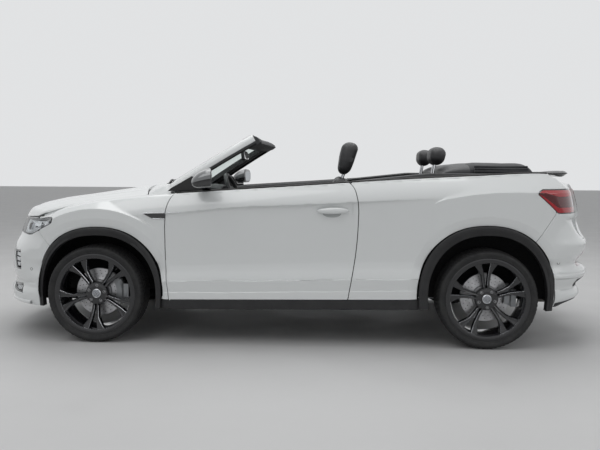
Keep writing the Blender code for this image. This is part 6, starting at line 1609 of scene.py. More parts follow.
def make_wheels():
    """Tyres, rims, brake discs and callipers."""
    def five_pairs(make):
        """A pair of bars, five times round the wheel."""
        return [g.spun(-k * math.tau / 5) for k in range(5) for g in (make(1), make(-1))]

    tyre = lathe(TYRE_SECTION + [(r, -y) for r, y in TYRE_SECTION[-2::-1]], BLOCKS * 4, sink=tread_cuts)
    barrel = lathe([(0.2435, -0.0985), (0.2455, -0.1030), (0.2500, -0.1052), (0.2725, -0.1052), (0.2762, -0.1040),
                    (0.2768, -0.1010), (0.2758, -0.0975), (0.2690, -0.0960), (0.2680, -0.0900), (0.2600, -0.0780),
                    (0.2450, -0.0640), (0.2450, 0.0700), (0.2680, 0.0850), (0.2680, 0.0950), (0.2765, 0.0975),
                    (0.2765, 0.1030), (0.2600, 0.1040), (0.2520, 0.0960), (0.2400, 0.0880), (0.2350, 0.0700),
                    (0.2350, -0.0600), (0.2380, -0.0820), (0.2435, -0.0985)], 128)
    ring = lathe([(0.2436, -0.0988), (0.2444, -0.1008), (0.2458, -0.1024)], 128)
    hub = lathe([(0.0005, -0.0560), (0.020, -0.0600), (0.034, -0.0650), (0.0345, -0.0690), (0.044, -0.0695),
                 (0.062, -0.0670), (0.074, -0.0640), (0.078, -0.0560), (0.080, -0.0300), (0.070, 0.0490),
                 (0.0005, 0.0490)], 80)
    cap = lathe([(0.0005, -0.0745), (0.012, -0.0743), (0.022, -0.0735), (0.0285, -0.0715), (0.0315, -0.0690),
                 (0.0320, -0.0640)], 48)
    cap_ring = lathe([(0.0262, -0.0733), (0.0275, -0.0742), (0.0300, -0.0728), (0.0322, -0.0695),
                      (0.0330, -0.0650)], 48)
    bolt = lathe([(0.0003, -0.0700), (0.0045, -0.0700), (0.0050, -0.0690), (0.0050, -0.0640), (0.0085, -0.0640),
                  (0.0085, -0.0735), (0.0100, -0.0735), (0.0100, -0.0600)], 12)
    bolts = [bolt.moved((BOLT_CIRCLE * math.cos(a), 0.002, BOLT_CIRCLE * math.sin(a)))
             for a in (math.radians(36) + k * math.tau / 5 for k in range(5))]
    disc = lathe([(0.085, 0.006), (0.088, 0.0075), (0.163, 0.0075), (0.1645, 0.009), (0.1645, 0.031), (0.163, 0.0325),
                  (0.085, 0.0325)], 96)
    # The disc's holes are dark dots on its face: painted shade of the holes.
    hole, holes = lathe([(0.0003, 0.0070), (0.0030, 0.0070), (0.0034, 0.0078)], 8), []
    for k in range(24):
        for j, r in enumerate((0.108, 0.126, 0.146)):
            turn = k * math.tau / 24 + 0.09 * j
            holes.append(hole.moved((r * math.cos(turn), 0, r * math.sin(turn))))
    bell = lathe([(0.070, -0.016), (0.082, -0.015), (0.086, -0.010), (0.087, 0.010)], 64)
    valve = tube([(0.238, -0.085, 0.0), (0.228, -0.098, 0.0), (0.222, -0.104, 0.0)], [0.005, 0.004, 0.0032], 10)
    for name, x, side, degrees in (("fl", X_FRONT, -1, 49), ("fr", X_FRONT, 1, 20), ("rl", X_REAR, -1, 22),
                                   ("rr", X_REAR, 1, 60)):
        def placed(geo):
            return (geo if side < 0 else geo.mirrored()).moved((x, side * TRACK / 2, AXLE_Z))

        def put(stem, geo, mat, sharp=35, **more):
            emit(f"{stem}_{name}", placed(geo.spun(-math.radians(degrees))), mat, f"wheel_{name}", sharp=sharp, **more)

        put("tyre_tread", tyre, RUBBER, 40, replaces=f"tyre_{name}", slot="tyre")
        put("wheel_rim", merged([barrel, hub, *five_pairs(make_spoke)]), RIM, 32, replaces=f"rim_{name}",
            slot="rim_black")
        put("rim_edges", merged([*five_pairs(make_edges), ring]), BRIGHT)
        put("hub_cap", cap, CAP_GREY)
        put("hub_ring", cap_ring, BRIGHT)
        put("wheel_bolts", merged(bolts), DISC_STEEL)
        put("brake_disc", merged([disc, bell]), DISC_STEEL, replaces=f"rim_{name}")
        put("disc_holes", merged(holes), BLACK_AND_PAINTED_SHADE)
        put("valve", valve, SEAL)
        emit(f"calliper_{name}", placed(make_calliper()), CAST, f"knuckle_{name[1]}" if x < 0 else "body")


# ---------------------------------------------------------------- mirrors, handles and trim on the side
def make_mirrors():
    """The door mirrors."""
    def shape(p):
        p = p.copy()
        turn = np.clip((p[:, 0] + 0.513) / 0.050, 0, 1)  # the back edge turns in quickly and leaves a flat face
        p[:, 0] = np.where(p[:, 0] > -0.513, -0.475 + 0.012 * np.minimum(turn / 0.7, 1),
                           -0.615 + (p[:, 0] + 0.615) * (0.140 / 0.102))
        t = (p[:, 1] + 1.034) / 0.18  # 0 outside, 1 at the foot
        back = np.clip((p[:, 0] + 0.463) / -0.152, 0, 1)  # 0 at the glass, 1 at the nose
        p[:, 2] = 1.118 + (p[:, 2] - 1.118) * (1 - 0.30 * back**1.5 - 0.10 * (1 - t) ** 2)
        p[:, 2] -= 0.030 * back**1.4
        p[:, 0] -= 0.038 * t * (1 - back)
        p[:, 2] += 0.004 * np.sin(t * 2)
        p[:, 0] += 0.020 * (1 - t) ** 2 * back
        return p

    cage = rounded_box((-0.615, -1.034, 1.058), (-0.463, -0.853, 1.183), 0.050, 12)
    housing = Geo(shape(cage.p), cage.f)
    at = np.array([housing.p[list(f)].mean(axis=0) for f in housing.f])
    over = (at[:, 2] > 1.104 + 0.25 * (at[:, 0] + 0.54)) & (at[:, 0] < -0.474)
    middle = np.array([-0.539, -0.944, 1.12])
    cap = Geo(middle + (housing.p - middle) * 1.012, [f for f, c in zip(housing.f, over) if c])
    shell = Geo(housing.p, [f for f, c in zip(housing.f, over) if not c])
    both("mirror_cap", trimmed(cap), MIRROR_CAP, "door_{}", replaces="mirror_{}", slot="black_gloss")
    both("mirror_shell", trimmed(shell), GLOSS, "door_{}", replaces="mirror_{}")
    glass = extruded(rounded_loop([(-1.013, 1.078), (-0.875, 1.075), (-0.874, 1.164), (-1.010, 1.164)], 0.034, 0.006),
                     (-0.4640, -0.4618), "yz")
    glass.p[:, 0] -= 0.038 * (glass.p[:, 1] + 1.034) / 0.18
    both("mirror_glass", glass, MIRROR_GLASS, "door_{}")
    belt = float(belt_z(-0.54))
    foot = loft([[(x0, y0, belt + z0), (x1, y0, belt + z0), (x1, y1, belt + z1), (x0, y1, belt + z1)]
                 for x0, x1, y0, z0, y1, z1 in ((-0.570, -0.505, -0.800, 0.002, -0.816, 0.002),
                                                (-0.565, -0.505, -0.812, 0.030, -0.830, 0.020),
                                                (-0.560, -0.512, -0.860, 0.052, -0.866, 0.028),
                                                (-0.560, -0.512, -0.900, 0.060, -0.900, 0.034))])
    for obj in both("mirror_foot", foot, GLOSS, "door_{}"):
        finish_edges(obj, 0.004)


def trimmed(geo):
    """The same without the points that no face uses."""
    used = sorted({i for f in geo.f for i in f})
    at = {i: k for k, i in enumerate(used)}
    return Geo(geo.p[used], [tuple(at[i] for i in f) for f in geo.f], None if geo.n is None else geo.n[used])


def on_skin(x, z, out=0.0):
    """Points of the left side at x and z, moved out from the skin."""
    x, z = np.broadcast_arrays(np.asarray(x, float), np.asarray(z, float))
    p = body(s_at(x, z), z) * LEFT
    p[..., 1] -= out
    return p


def make_handles():
    """Door handles: a bar over a round recess, drawn as a flat patch in painted shade."""
    x = np.linspace(0.205, 0.417, 36)
    w = (x - 0.205) / 0.212
    top = 0.912 + 0.020 * np.sin(np.clip(w, 0, 1) * math.pi) ** 0.5 + 0.003 * w
    bottom = 0.903 - 0.014 * np.sin(np.clip(w * 1.02, 0, 1) * math.pi) ** 0.6 + 0.004 * w
    out = 0.004 + 0.033 * np.clip(np.sin(np.clip(w, 0.0, 1) * math.pi), 0, 1) ** 0.45
    rings = []
    for a, hi, lo, o in zip(x, top, bottom, out):
        mid = 0.5 * (hi + lo)
        skin_y = float(on_skin(a, mid)[1])
        rings.append([(a, skin_y - o * d, mid + (hi - mid) * h) for d, h in
                      ((0.35, 0.95), (0.70, 1.0), (0.92, 0.75), (1.0, 0.25), (1.0, -0.25), (0.90, -0.75), (0.68, -1.0),
                       (0.35, -0.95))])
    both("door_handle", loft(rings), PAINT, "door_{}", slot="paint", sharp=50)
    # The cup is a flat patch just over the skin, in grey: painted shade of a recess.
    t = np.linspace(0, math.tau, 41)[:-1]
    cup = [on_skin(0.305 + 0.064 * np.cos(t) * scale, 0.893 + 0.028 * np.sin(t) * scale, out)
           for scale, out in ((1.0, -0.002), (0.94, 0.0012), (0.80, 0.0012), (0.5, 0.0012), (0.05, 0.0012))]
    both("handle_cup_painted_shade", loft(cup, False), HANDLE_CUP_PAINTED_SHADE, "door_{}")


def make_wing_blade():
    """The blade on the front wing, black between two bright lines; one line runs on over the door."""
    a = np.linspace(0, 1, 30)
    top_x, top_z = -0.955 + 0.150 * a, 0.8845 + 0.004 * a
    low_x, low_z = -0.888 + 0.083 * a, 0.8490 + 0.001 * a
    rows = [on_skin(top_x + (low_x - top_x) * share, top_z + (low_z - top_z) * share, o)
            for share, o in ((0, -0.002), (0, 0.004), (0.5, 0.006), (1, 0.004), (1, -0.002))]
    both("wing_blade", surface_of(rows).turned(), GLOSS)
    for name, px, pz in (("upper", top_x, top_z), ("lower", low_x, low_z)):
        both(f"blade_line_{name}", tube(on_skin(px, pz, 0.004), 0.0022, 6), CHROME)
    front = np.linspace(-0.797, -0.690, 16)
    pz = 0.8885 + (front + 0.797) * 0.05
    both("door_line", tube(on_skin(front, pz, 0.0025), np.linspace(0.0022, 0.0008, 16), 6), CHROME, "door_{}")


def make_sensors():
    """Small round sensors in the bumpers."""
    dots, rings = [], []
    for px, pz in ((-1.769, 0.484), (1.792, 0.580)):
        p, q = on_skin(px, pz), on_skin(px + 0.01, pz)
        turn = math.atan2(q[1] - p[1], q[0] - p[0])
        disc = lathe([(0.0002, -0.0012), (0.0075, -0.0012), (0.0090, -0.0004), (0.0092, 0.002)], 20).spun(turn, 2)
        rim = lathe([(0.0088, 0.001), (0.0092, -0.0014), (0.0106, -0.0014), (0.0110, 0.001)], 20).spun(turn, 2)
        dots.append(disc.moved(p))
        rings.append(rim.moved(p))
    both("sensors", merged(dots), PAINT)
    both("sensor_rings", merged(rings), SEAL)


def make_belt_strips():
    """The black strip along the belt, on the door and on the rear wing."""
    for stem, x0, x1, node in (("door_belt", -0.735, DOOR_REAR[-1][0] - GAP - 0.002, "door_{}"),
                               ("wing_belt", DOOR_REAR[-1][0] + GAP + 0.001, X_REAR + 0.385, "body")):
        x = np.linspace(x0, x1, 70)
        base = shoulder_map(x, belt_z(x) + 0.010)
        rows = [base + (0, inward, up) for inward, up in
                ((-0.0035, -0.004), (-0.0035, 0.006), (0.001, 0.0095), (0.012, 0.0095), (0.015, 0.006),
                 (0.015, -0.006))]
        both(stem, surface_of(rows), SEAL, node, sharp=50)


# ---------------------------------------------------------------- cabin
def leaned(geo, foot, degrees):
    """Turned about the Y axis through foot, leaning back."""
    a = math.radians(degrees)
    x, z = geo.p[:, 0] - foot[0], geo.p[:, 2] - foot[1]
    p = geo.p.copy()
    p[:, 0] = foot[0] + x * math.cos(a) + z * math.sin(a)
    p[:, 2] = foot[1] - x * math.sin(a) + z * math.cos(a)
    return Geo(p, geo.f)


def channels(v, places):
    """Depth of sewn channels at places along v."""
    return 0.006 * np.maximum.reduce([seam_at(v, c) for c in places])


def seam_at(v, place):
    """1 on a sewn seam, falling to 0 beside it."""
    return np.exp(-((v - place) / 0.008) ** 2)


def cushioned(name, geo, node=None):
    """A padded piece in leather."""
    emit(name, geo, LEATHER, slot="leather", replaces=node, sharp=60)


def make_front_seat(name, y):
    """Cushion and back with side bolsters, a middle of sewn channels and a head restraint on posts."""
    x, half = X_FRONT + 1.10, 0.232  # where the seat stands, and its half width

    def bolsters(p, rise):
        """The surface rises towards both sides."""
        side = np.clip((np.abs(p[:, 1]) - half * 0.52) / (half * 0.30), 0, 1)
        side = side - 0.55 * np.clip((np.abs(p[:, 1]) - half * 0.82) / (half * 0.18), 0, 1)
        return smooth(side) * rise

    cushion = rounded_box((-0.03, -half, -0.075), (0.49, half, 0.055), 0.045, 26, 0.010)
    p = cushion.p.copy()
    lift, top = bolsters(p, 0.030), np.clip(p[:, 2] / 0.05, 0, 1)
    inner = smooth((half * 0.55 - np.abs(p[:, 1])) / 0.02)
    p[:, 2] += lift * top - channels(p[:, 0], (0.06, 0.14, 0.22, 0.30, 0.38)) * top * inner
    p[:, 2] -= 0.008 * top * seam_at(np.abs(p[:, 1]), half * 0.54)
    cushion = leaned(Geo(p, cushion.f), (0.2, 0.0), -4).moved((x, y, 0.490))
    back = rounded_box((-0.055, -half, -0.02), (0.060, half, 0.700), 0.045, 28, 0.008)
    p = back.p.copy()
    lift, front = bolsters(p, 0.034), np.clip((0.02 - p[:, 0]) / 0.06, 0, 1)
    inner = smooth((half * 0.55 - np.abs(p[:, 1])) / 0.02)
    sewn = channels(p[:, 2], (0.10, 0.19, 0.28, 0.37, 0.46, 0.55))
    p[:, 0] -= lift * front * smooth((0.62 - p[:, 2]) / 0.12) - sewn * front * inner
    p[:, 0] += 0.008 * front * seam_at(np.abs(p[:, 1]), half * 0.54) * smooth((0.62 - p[:, 2]) / 0.1)
    p[:, 1] *= 1 - 0.16 * smooth((p[:, 2] - 0.40) / 0.30)
    back = leaned(Geo(p, back.f), (0, 0), 15).moved((x + 0.385, y, 0.440))
    head = rounded_box((-0.050, -0.132, -0.112), (0.050, 0.132, 0.114), 0.044, 20, 0.006)
    p = head.p
    p[:, 0] += 0.030 * (p[:, 2] / 0.114) ** 2 * np.sign(p[:, 2]) * 0.25
    p[:, 1] *= 1 - 0.10 * np.clip(p[:, 2] / 0.114, -1, 1) ** 2
    p[:, 0] *= 1 + 0.18 * np.clip(p[:, 2] / 0.114, -1, 1)
    p = p + np.where((np.abs(np.abs(p[:, 1]) - 0.095) < 0.006)[:, None], -0.002 * np.sign(p) * [1, 0, 1], 0)
    head = leaned(Geo(p, head.f), (0, 0), 12).moved((x + 0.602, y, 1.262))
    for stem, geo in (("cushion", cushion), ("backrest", back), ("headrest", head)):
        cushioned(f"{name}_{stem}", geo, name)
    posts = [tube([(x + 0.545, y + d, 1.060), (x + 0.575, y + d, 1.130), (x + 0.600, y + d, 1.200)], 0.007, 12)
             for d in (-0.06, 0.06)]
    emit(f"{name}_posts", merged(posts), CHROME)
    button = lathe([(0.0003, -0.004), (0.014, -0.004), (0.017, -0.001), (0.017, 0.004)], 24)
    emit(f"{name}_button", button.moved((x + 0.628, y - 0.131, 1.250)), SOFT_TRIM)
    covers = [rounded_box((x + 0.02, y + y0, 0.395), (x + 0.46, y + y1, 0.450), 0.012, 8)
              for y0, y1 in ((-0.215, -0.185), (0.185, 0.215))]
    emit(f"{name}_side_covers", merged(covers), SOFT_TRIM, replaces=name)
    rails = []
    for d in (-0.18, 0.18):
        rails.append(box_geo((x + 0.05, x + 0.42), (y + d - 0.018, y + d + 0.018), (0.3005, 0.322)))
        rails.append(box_geo((x + 0.10, x + 0.36), (y + d - 0.012, y + d + 0.012), (0.318, 0.420)))
    finish_edges(emit(f"{name}_rails", merged(rails), DISC_STEEL, replaces=name), 0.003)


def make_rear_seats():
    """The bench, its backrest and two head restraints."""
    x, half = X_REAR - 0.80, 0.555  # where the bench stands, and its half width
    cushion = rounded_box((0.0, -half, -0.070), (0.420, half, 0.055), 0.045, 30, 0.010)
    p = cushion.p
    top = np.clip(p[:, 2] / 0.05, 0, 1)
    bowl = np.exp(-((np.abs(p[:, 1]) - 0.30) / 0.15) ** 4)
    p[:, 2] += top * (-0.018 * bowl - channels(p[:, 0], (0.10, 0.18, 0.26)) * bowl - 0.006 * seam_at(p[:, 1], 0))
    cushion = leaned(cushion, (0.2, 0.0), -3).moved((x, 0, 0.490))
    back = rounded_box((-0.055, -half, 0.0), (0.055, half, 0.690), 0.045, 30, 0.008)
    p = back.p
    front = np.clip((0.02 - p[:, 0]) / 0.06, 0, 1)
    bowl = np.exp(-((np.abs(p[:, 1]) - 0.30) / 0.15) ** 4)
    sewn = channels(p[:, 2], (0.16, 0.26, 0.36, 0.46, 0.56))
    p[:, 0] += front * (0.018 * bowl + sewn * bowl + 0.006 * seam_at(p[:, 1], 0))
    back = leaned(back, (0, 0), 9).moved((x + 0.290, 0, 0.435))
    cushioned("rear_cushion", cushion, "rear_seat")
    cushioned("rear_backrest", back, "rear_seat")
    for side, y in (("l", -0.34), ("r", 0.34)):
        head = rounded_box((-0.050, -0.132, -0.060), (0.050, 0.132, 0.060), 0.044, 18, 0.006)
        p = head.p
        p[:, 1] *= 1 - 0.10 * np.clip(p[:, 2] / 0.06, -1, 1) ** 2
        p[:, 0] *= 1 - 0.10 * np.clip(-p[:, 2] / 0.06, -1, 1)
        head = leaned(head, (0, 0), 8).moved((X_REAR - 0.282, y, 1.283))
        cushioned(f"rear_headrest_{side}", head, "rear_seat")
        posts = [tube([(X_REAR - 0.318, y + d, 1.080), (X_REAR - 0.306, y + d, 1.150), (X_REAR - 0.292, y + d, 1.250)],
                      0.007, 12) for d in (-0.05, 0.05)]
        emit(f"rear_posts_{side}", merged(posts), CHROME)


WHEEL_CENTRE = np.array([X_FRONT + 0.895, -0.370, 0.978])
WHEEL_AXIS = np.array([math.cos(math.radians(25)), 0, math.sin(math.radians(25))])


def make_steering_wheel():
    """Rim, pad, arms and keys."""
    across = np.array([0.0, 1.0, 0.0])
    turn = np.stack([across, np.cross(WHEEL_AXIS, across), WHEEL_AXIS])

    def put(geo):
        """From a wheel that lies in the XY plane and faces +Z."""
        return Geo(WHEEL_CENTRE + geo.p @ turn, geo.f)

    rings, count, thick = [], 72, 0.0155  # steps round the rim, and half its thickness
    for k in range(count):
        a = math.tau * k / count
        flat = 0.012 * math.exp(-((a - 1.5 * math.pi) / 0.35) ** 2)  # the rim is a little flat at its foot
        big = 0.176 - flat
        rings.append([((big + thick * math.cos(b)) * math.cos(a), (big + thick * math.cos(b)) * math.sin(a),
                       thick * math.sin(b)) for b in (math.tau * m / 14 for m in range(14))])
    rings, n = np.array(rings), 14
    faces = [(i * n + j, ((i + 1) % count) * n + j, ((i + 1) % count) * n + (j + 1) % n, i * n + (j + 1) % n)
             for i in range(count) for j in range(n)]
    emit("wheel_rim_leather", put(Geo(rings, faces)), LEATHER, "steering_wheel", slot="leather",
         replaces="steering_wheel")
    pad = rounded_box((-0.075, -0.055, -0.028), (0.075, 0.052, 0.004), 0.016, 16, 0.004)
    pad.p[:, 0] *= 1 + 0.15 * np.clip(pad.p[:, 1] / 0.05, -1, 1)
    emit("wheel_pad", put(pad), SOFT_TRIM, "steering_wheel", slot="soft_trim", replaces="steering_wheel")
    arms = []
    for side in (-1, 1):
        section = ((-0.018, -0.016), (0.018, -0.016), (0.016, -0.004), (-0.016, -0.004))
        rings = [[(side * a, b + h, c) for h, c in section]
                 for a, b in ((0.060, -0.004), (0.110, -0.002), (0.168, 0.0))]
        arms.append(put(loft(rings)))
    rings = [[(h, -b, c) for h, c in ((-0.020, -0.016), (0.020, -0.016), (0.018, -0.005), (-0.018, -0.005))]
             for b in (0.045, 0.100, 0.158)]
    arms.append(put(loft(rings)))
    finish_edges(emit("wheel_spokes", merged(arms), GLOSS, "steering_wheel"), 0.003)
    keys = [put(rounded_box((side * 0.118 - 0.013, -0.016 + 0.011 * k - 0.004, -0.0045),
                            (side * 0.118 + 0.013, -0.016 + 0.011 * k + 0.004, -0.001), 0.0015, 4))
            for side in (-1, 1) for k in range(3)]
    emit("wheel_keys", merged(keys), SOFT_TRIM, "steering_wheel")


def make_dashboard():
    """The dashboard with its vents, screen and dials."""
    x0, x1 = X_FRONT + 0.505, X_FRONT + 0.795
    section = [(x0, 0.645), (x0, 0.900), (x0 - 0.015, 0.975), (x0 + 0.005, 1.018), (x0 + 0.060, 1.032),
               (x1 - 0.110, 1.028), (x1 - 0.050, 1.018), (x1 - 0.010, 0.995), (x1 + 0.002, 0.968), (x1 - 0.008, 0.935),
               (x1 - 0.028, 0.900), (x1 - 0.036, 0.840), (x1 - 0.060, 0.760), (x1 - 0.100, 0.650)]
    section, rings = np.array(section), []
    for y in np.concatenate([[-0.689, -0.686], np.linspace(-0.675, 0.675, 44), [0.686, 0.689]]):
        end = 0.012 * smooth((abs(y) - 0.66) / 0.03)
        deep = 0.018 * (y / 0.69) ** 2
        ring = np.column_stack([section[:, 0], np.full(len(section), y), section[:, 1]])
        ring[7:, 0] += deep * 0.4 - end
        rings.append(ring)
    emit("dash_board", loft(rings), SOFT_TRIM, slot="soft_trim", replaces="dashboard", sharp=45)
    # A trim board across the dash, air vents, the screen and the instrument hood.
    strip = rounded_box((x1 - 0.030, -0.66, 0.908), (x1 + 0.002, 0.66, 0.950), 0.006, 12)
    emit("dash_trim", strip, GLOSS, slot="black_gloss")
    vents, slats, w = [], [], 0.050
    for y in (-0.615, -0.135, 0.135, 0.615):
        vents.append(rounded_box((x1 - 0.028, y - w, 0.958), (x1 + 0.006, y + w, 0.998), 0.006, 8))
        for k in range(4):
            z = 0.965 + 0.0085 * k
            slats.append(box_geo((x1 + 0.004, x1 + 0.009), (y - w + 0.006, y + w - 0.006), (z, z + 0.003)))
    # The vents are near-black boxes behind the slats: painted shade of their openings.
    emit("dash_vents", merged(vents), BLACK_AND_PAINTED_SHADE)
    emit("dash_slats", merged(slats), CHROME)
    screen_box = rounded_box((x1 - 0.020, -0.118, 0.846), (x1 + 0.006, 0.118, 0.902), 0.005, 8)
    emit("dash_screen", screen_box, GLOSS, slot="black_gloss")
    hood = []
    for y in np.linspace(-0.17, 0.17, 25):
        rise = 0.048 * math.sqrt(max(0.0, 1 - abs(y / 0.17) ** 3.0))
        yy = y + WHEEL_CENTRE[1]
        hood.append([(x1 - 0.170, yy, 1.020), (x1 - 0.150, yy, 1.024 + rise * 0.8), (x1 - 0.060, yy, 1.026 + rise),
                     (x1 - 0.008, yy, 1.022 + rise * 0.95), (x1 + 0.012, yy, 1.018 + rise * 0.9),
                     (x1 + 0.012, yy, 1.012 + rise * 0.75), (x1 - 0.06, yy, 1.012 + rise * 0.7),
                     (x1 - 0.17, yy, 1.010)])
    emit("instrument_hood", loft(hood), SOFT_TRIM, slot="soft_trim", replaces="dashboard", sharp=50)
    dials = [lathe([(0.0003, 0.0), (0.048, 0.0), (0.050, 0.004), (0.053, 0.004), (0.054, -0.002)], 40).spun(
        math.pi / 2, 2).moved((x1 - 0.020, y, 1.005)) for y in (-0.43, -0.31)]
    emit("dials", merged(dials), GLOSS)


def make_steering_column():
    """The column and its two stalks."""
    start, end = WHEEL_CENTRE - WHEEL_AXIS * 0.28, WHEEL_CENTRE - WHEEL_AXIS * 0.046
    column = tube([start, start + (end - start) * 0.5, end], [0.040, 0.036, 0.034], 24)
    emit("steering_column", column, SOFT_TRIM, replaces="dashboard")
    base = WHEEL_CENTRE - WHEEL_AXIS * 0.062
    stalks = [tube([base + (0, side * 0.030, 0), base + (0.004, side * 0.085, 0.010),
                    base + (0.010, side * 0.125, 0.016)], [0.007, 0.006, 0.008], 10) for side in (-1, 1)]
    emit("stalks", merged(stalks), SOFT_TRIM)


def make_console():
    """The console between the seats, with a selector and a padded arm rest."""
    console = rounded_box((X_FRONT + 0.72, -0.100, 0.300), (X_FRONT + 1.72, 0.100, 0.560), 0.030, 18)
    p = console.p
    low = smooth((p[:, 0] - (X_FRONT + 0.75)) / 0.25)
    p[:, 2] += np.where(p[:, 2] > 0.45, 0.085 * (1 - low), 0)
    emit("console", console, SOFT_TRIM, slot="soft_trim", sharp=50)
    rest = rounded_box((X_FRONT + 1.36, -0.075, 0.555), (X_FRONT + 1.66, 0.075, 0.630), 0.025, 14, 0.006)
    cushioned("arm_rest", rest)
    emit("console_top", rounded_box((X_FRONT + 0.93, -0.072, 0.555), (X_FRONT + 1.32, 0.072, 0.573), 0.006, 8), GLOSS)
    boot = lathe([(0.045, 0), (0.040, -0.015), (0.026, -0.035), (0.018, -0.045)], 24)
    knob_x = X_FRONT + 1.03
    emit("selector_boot", Geo(boot.p[:, [0, 2, 1]] * (1, 1, -1) + (knob_x, 0, 0.570), boot.f), LEATHER)
    emit("selector", merged([tube([(knob_x, 0, 0.600), (knob_x, 0, 0.645)], 0.007, 12),
                             rounded_box((knob_x - 0.022, -0.020, 0.640), (knob_x + 0.022, 0.020, 0.690), 0.014, 10)]),
         GLOSS)


def make_floor_trim():
    """Pedals and floor mats."""
    pedals = []
    for y, w in ((-0.30, 0.030), (-0.40, 0.040)):
        pedals.append(rounded_box((X_FRONT + 0.575, y - w, 0.395), (X_FRONT + 0.590, y + w, 0.455), 0.004, 6))
        arm = [(X_FRONT + 0.580, y, 0.44), (X_FRONT + 0.540, y, 0.56), (X_FRONT + 0.510, y, 0.66)]
        pedals.append(tube(arm, 0.008, 8))
    emit("pedals", merged(pedals), DISC_STEEL)
    for side, name in SIDES:
        y0, y1 = sorted((side * 0.14, side * 0.60))
        for stem, near, far in (("floor", 0.54, 1.06), ("rear", 1.60, 1.86)):
            mat = rounded_box((X_FRONT + near, y0, 0.301), (X_FRONT + far, y1, 0.313), 0.0055, 12)
            emit(f"{stem}_mat_{name}", mat, CARPET)


def make_door_inside():
    """The lining of the door, with a rest for the arm, a pull and a speaker; it closes the door's box."""
    x0, x1 = X_FRONT + 0.575, DOOR_REAR[3][0] - 0.038
    face = -(SIDE - 0.010 - 0.130)
    x = np.linspace(x0, x1, 60)
    belt, low = belt_z(x), sill_z(x) + 0.020
    outer_y = body(s_at(x, belt - 0.004), belt - 0.004)[:, 1]

    def y_at(share):
        """Between the lining's face (0) and the skin (1)."""
        return -(outer_y - 0.018) * share + face * (1 - share)

    section = ((0.97, belt - 0.004), (0.95, belt + 0.006), (0.80, belt + 0.012), (0.30, belt + 0.010), (0.06, belt),
               (0.0, belt - 0.016), (0.02, belt - 0.060), (0.05, belt - 0.110), (0.05, 0.800), (0.0, 0.770),
               (0.0, 0.700), (0.16, 0.670), (0.12, 0.560), (0.03, 0.480), (0.03, 0.400), (0.10, low))
    rows = np.array([np.stack([x, y_at(share), height + 0 * x], axis=1) for share, height in section])
    both("door_lining", surface_of(rows), SOFT_TRIM, "door_{}", replaces="door_{}", slot="soft_trim", sharp=55)
    # The door's ends are in the darker copy of the white paint: painted shade in the shut gaps.
    for k, name in ((0, "front"), (-1, "rear")):
        edge = rows[:, k]
        outer = edge.copy()
        z = np.clip(edge[:, 2], 0.35, float(belt[k]) - 0.004)
        outer[:, 1] = -(body(s_at(np.full(len(z), x[k]), z), z)[:, 1] - 0.004)
        outer[0] = edge[0]
        both(f"door_end_{name}", surface_of([edge, outer]), PAINT_IN_PAINTED_SHADE, "door_{}", sharp=40)
    # The underside too is in the darker copy of the white paint: painted shade.
    under = np.stack([np.stack([x, y_at(0.10), low], axis=1),
                      np.stack([x, -(body(s_at(x, low), low)[:, 1] - 0.004), low], axis=1)])
    both("door_under", surface_of(under), PAINT_IN_PAINTED_SHADE, "door_{}", sharp=40)
    rest = rounded_box((x0 + 0.32, face - 0.002, 0.735), (x0 + 0.86, face + 0.060, 0.785), 0.018, 14)
    both("door_rest", rest, LEATHER, "door_{}", slot="leather", sharp=60)
    pull = tube(spline([(x0 + 0.22, face + 0.010, 0.905), (x0 + 0.26, face + 0.028, 0.900),
                        (x0 + 0.34, face + 0.028, 0.896), (x0 + 0.38, face + 0.010, 0.892)], 0.01), 0.007, 10)
    both("door_pull", pull, CHROME, "door_{}")
    speaker = lathe([(0.0003, 0.004), (0.060, 0.004), (0.070, 0.007), (0.080, 0.007), (0.084, 0.0)], 48)
    at = (x0 + 0.20, face + 0.014, 0.480)
    both("speaker", speaker.moved(at), PLASTIC, "door_{}")
    # Dark rings on the speaker: painted shade in its grooves.
    rings = [lathe([(r, 0.0085), (r + 0.003, 0.0085)], 32) for r in (0.014, 0.026, 0.038, 0.050)]
    both("speaker_rings", merged(rings).moved(at), BLACK_AND_PAINTED_SHADE, "door_{}")


# ---------------------------------------------------------------- behind the seats
DECK_TOP = 1.160


def make_deck():
    """The panels beside the folded roof and the shelf under it."""
    x0 = DOOR_REAR[-1][0] + 0.014
    x = np.concatenate([np.linspace(x0, X_REAR - 0.28, 40), np.linspace(X_REAR - 0.26, X_REAR + 0.350, 30)])
    belt = belt_z(x)
    skin = body(s_at(x, belt - 0.004), belt - 0.004)[:, 1]
    high = np.maximum(np.interp(x, [x0, X_REAR - 0.38, X_REAR + 0.3], [1.104, DECK_TOP, DECK_TOP]), belt + 0.001)
    high[-1] = min(high[-1], belt[-1] + 0.004)
    edge = skin - 0.019
    rows = [np.stack([x, -(edge - inward), z], axis=1) for inward, z in
            ((0.000, belt - 0.004), (0.001, belt + 0.004), (0.010, high - 0.002), (0.018, high + 0.001))]
    inner = np.stack([x, np.full(len(x), -0.602), high], axis=1)
    rows += [inner + (0, -0.010, 0.001), inner + (0, 0, -0.006), inner + (0, -0.006, -0.024),
             np.stack([x, -(edge - 0.040), belt - 0.060], axis=1)]
    both("side_deck", surface_of(rows), SOFT_TRIM, replaces="deck", slot="soft_trim", sharp=40)
    shelf = rounded_box((X_REAR - 0.272, -0.618, DECK_TOP - 0.020), (X_REAR + 0.349, 0.618, DECK_TOP), 0.006, 10)
    emit("rear_shelf", shelf, SOFT_TRIM, slot="soft_trim", replaces="deck", sharp=50)


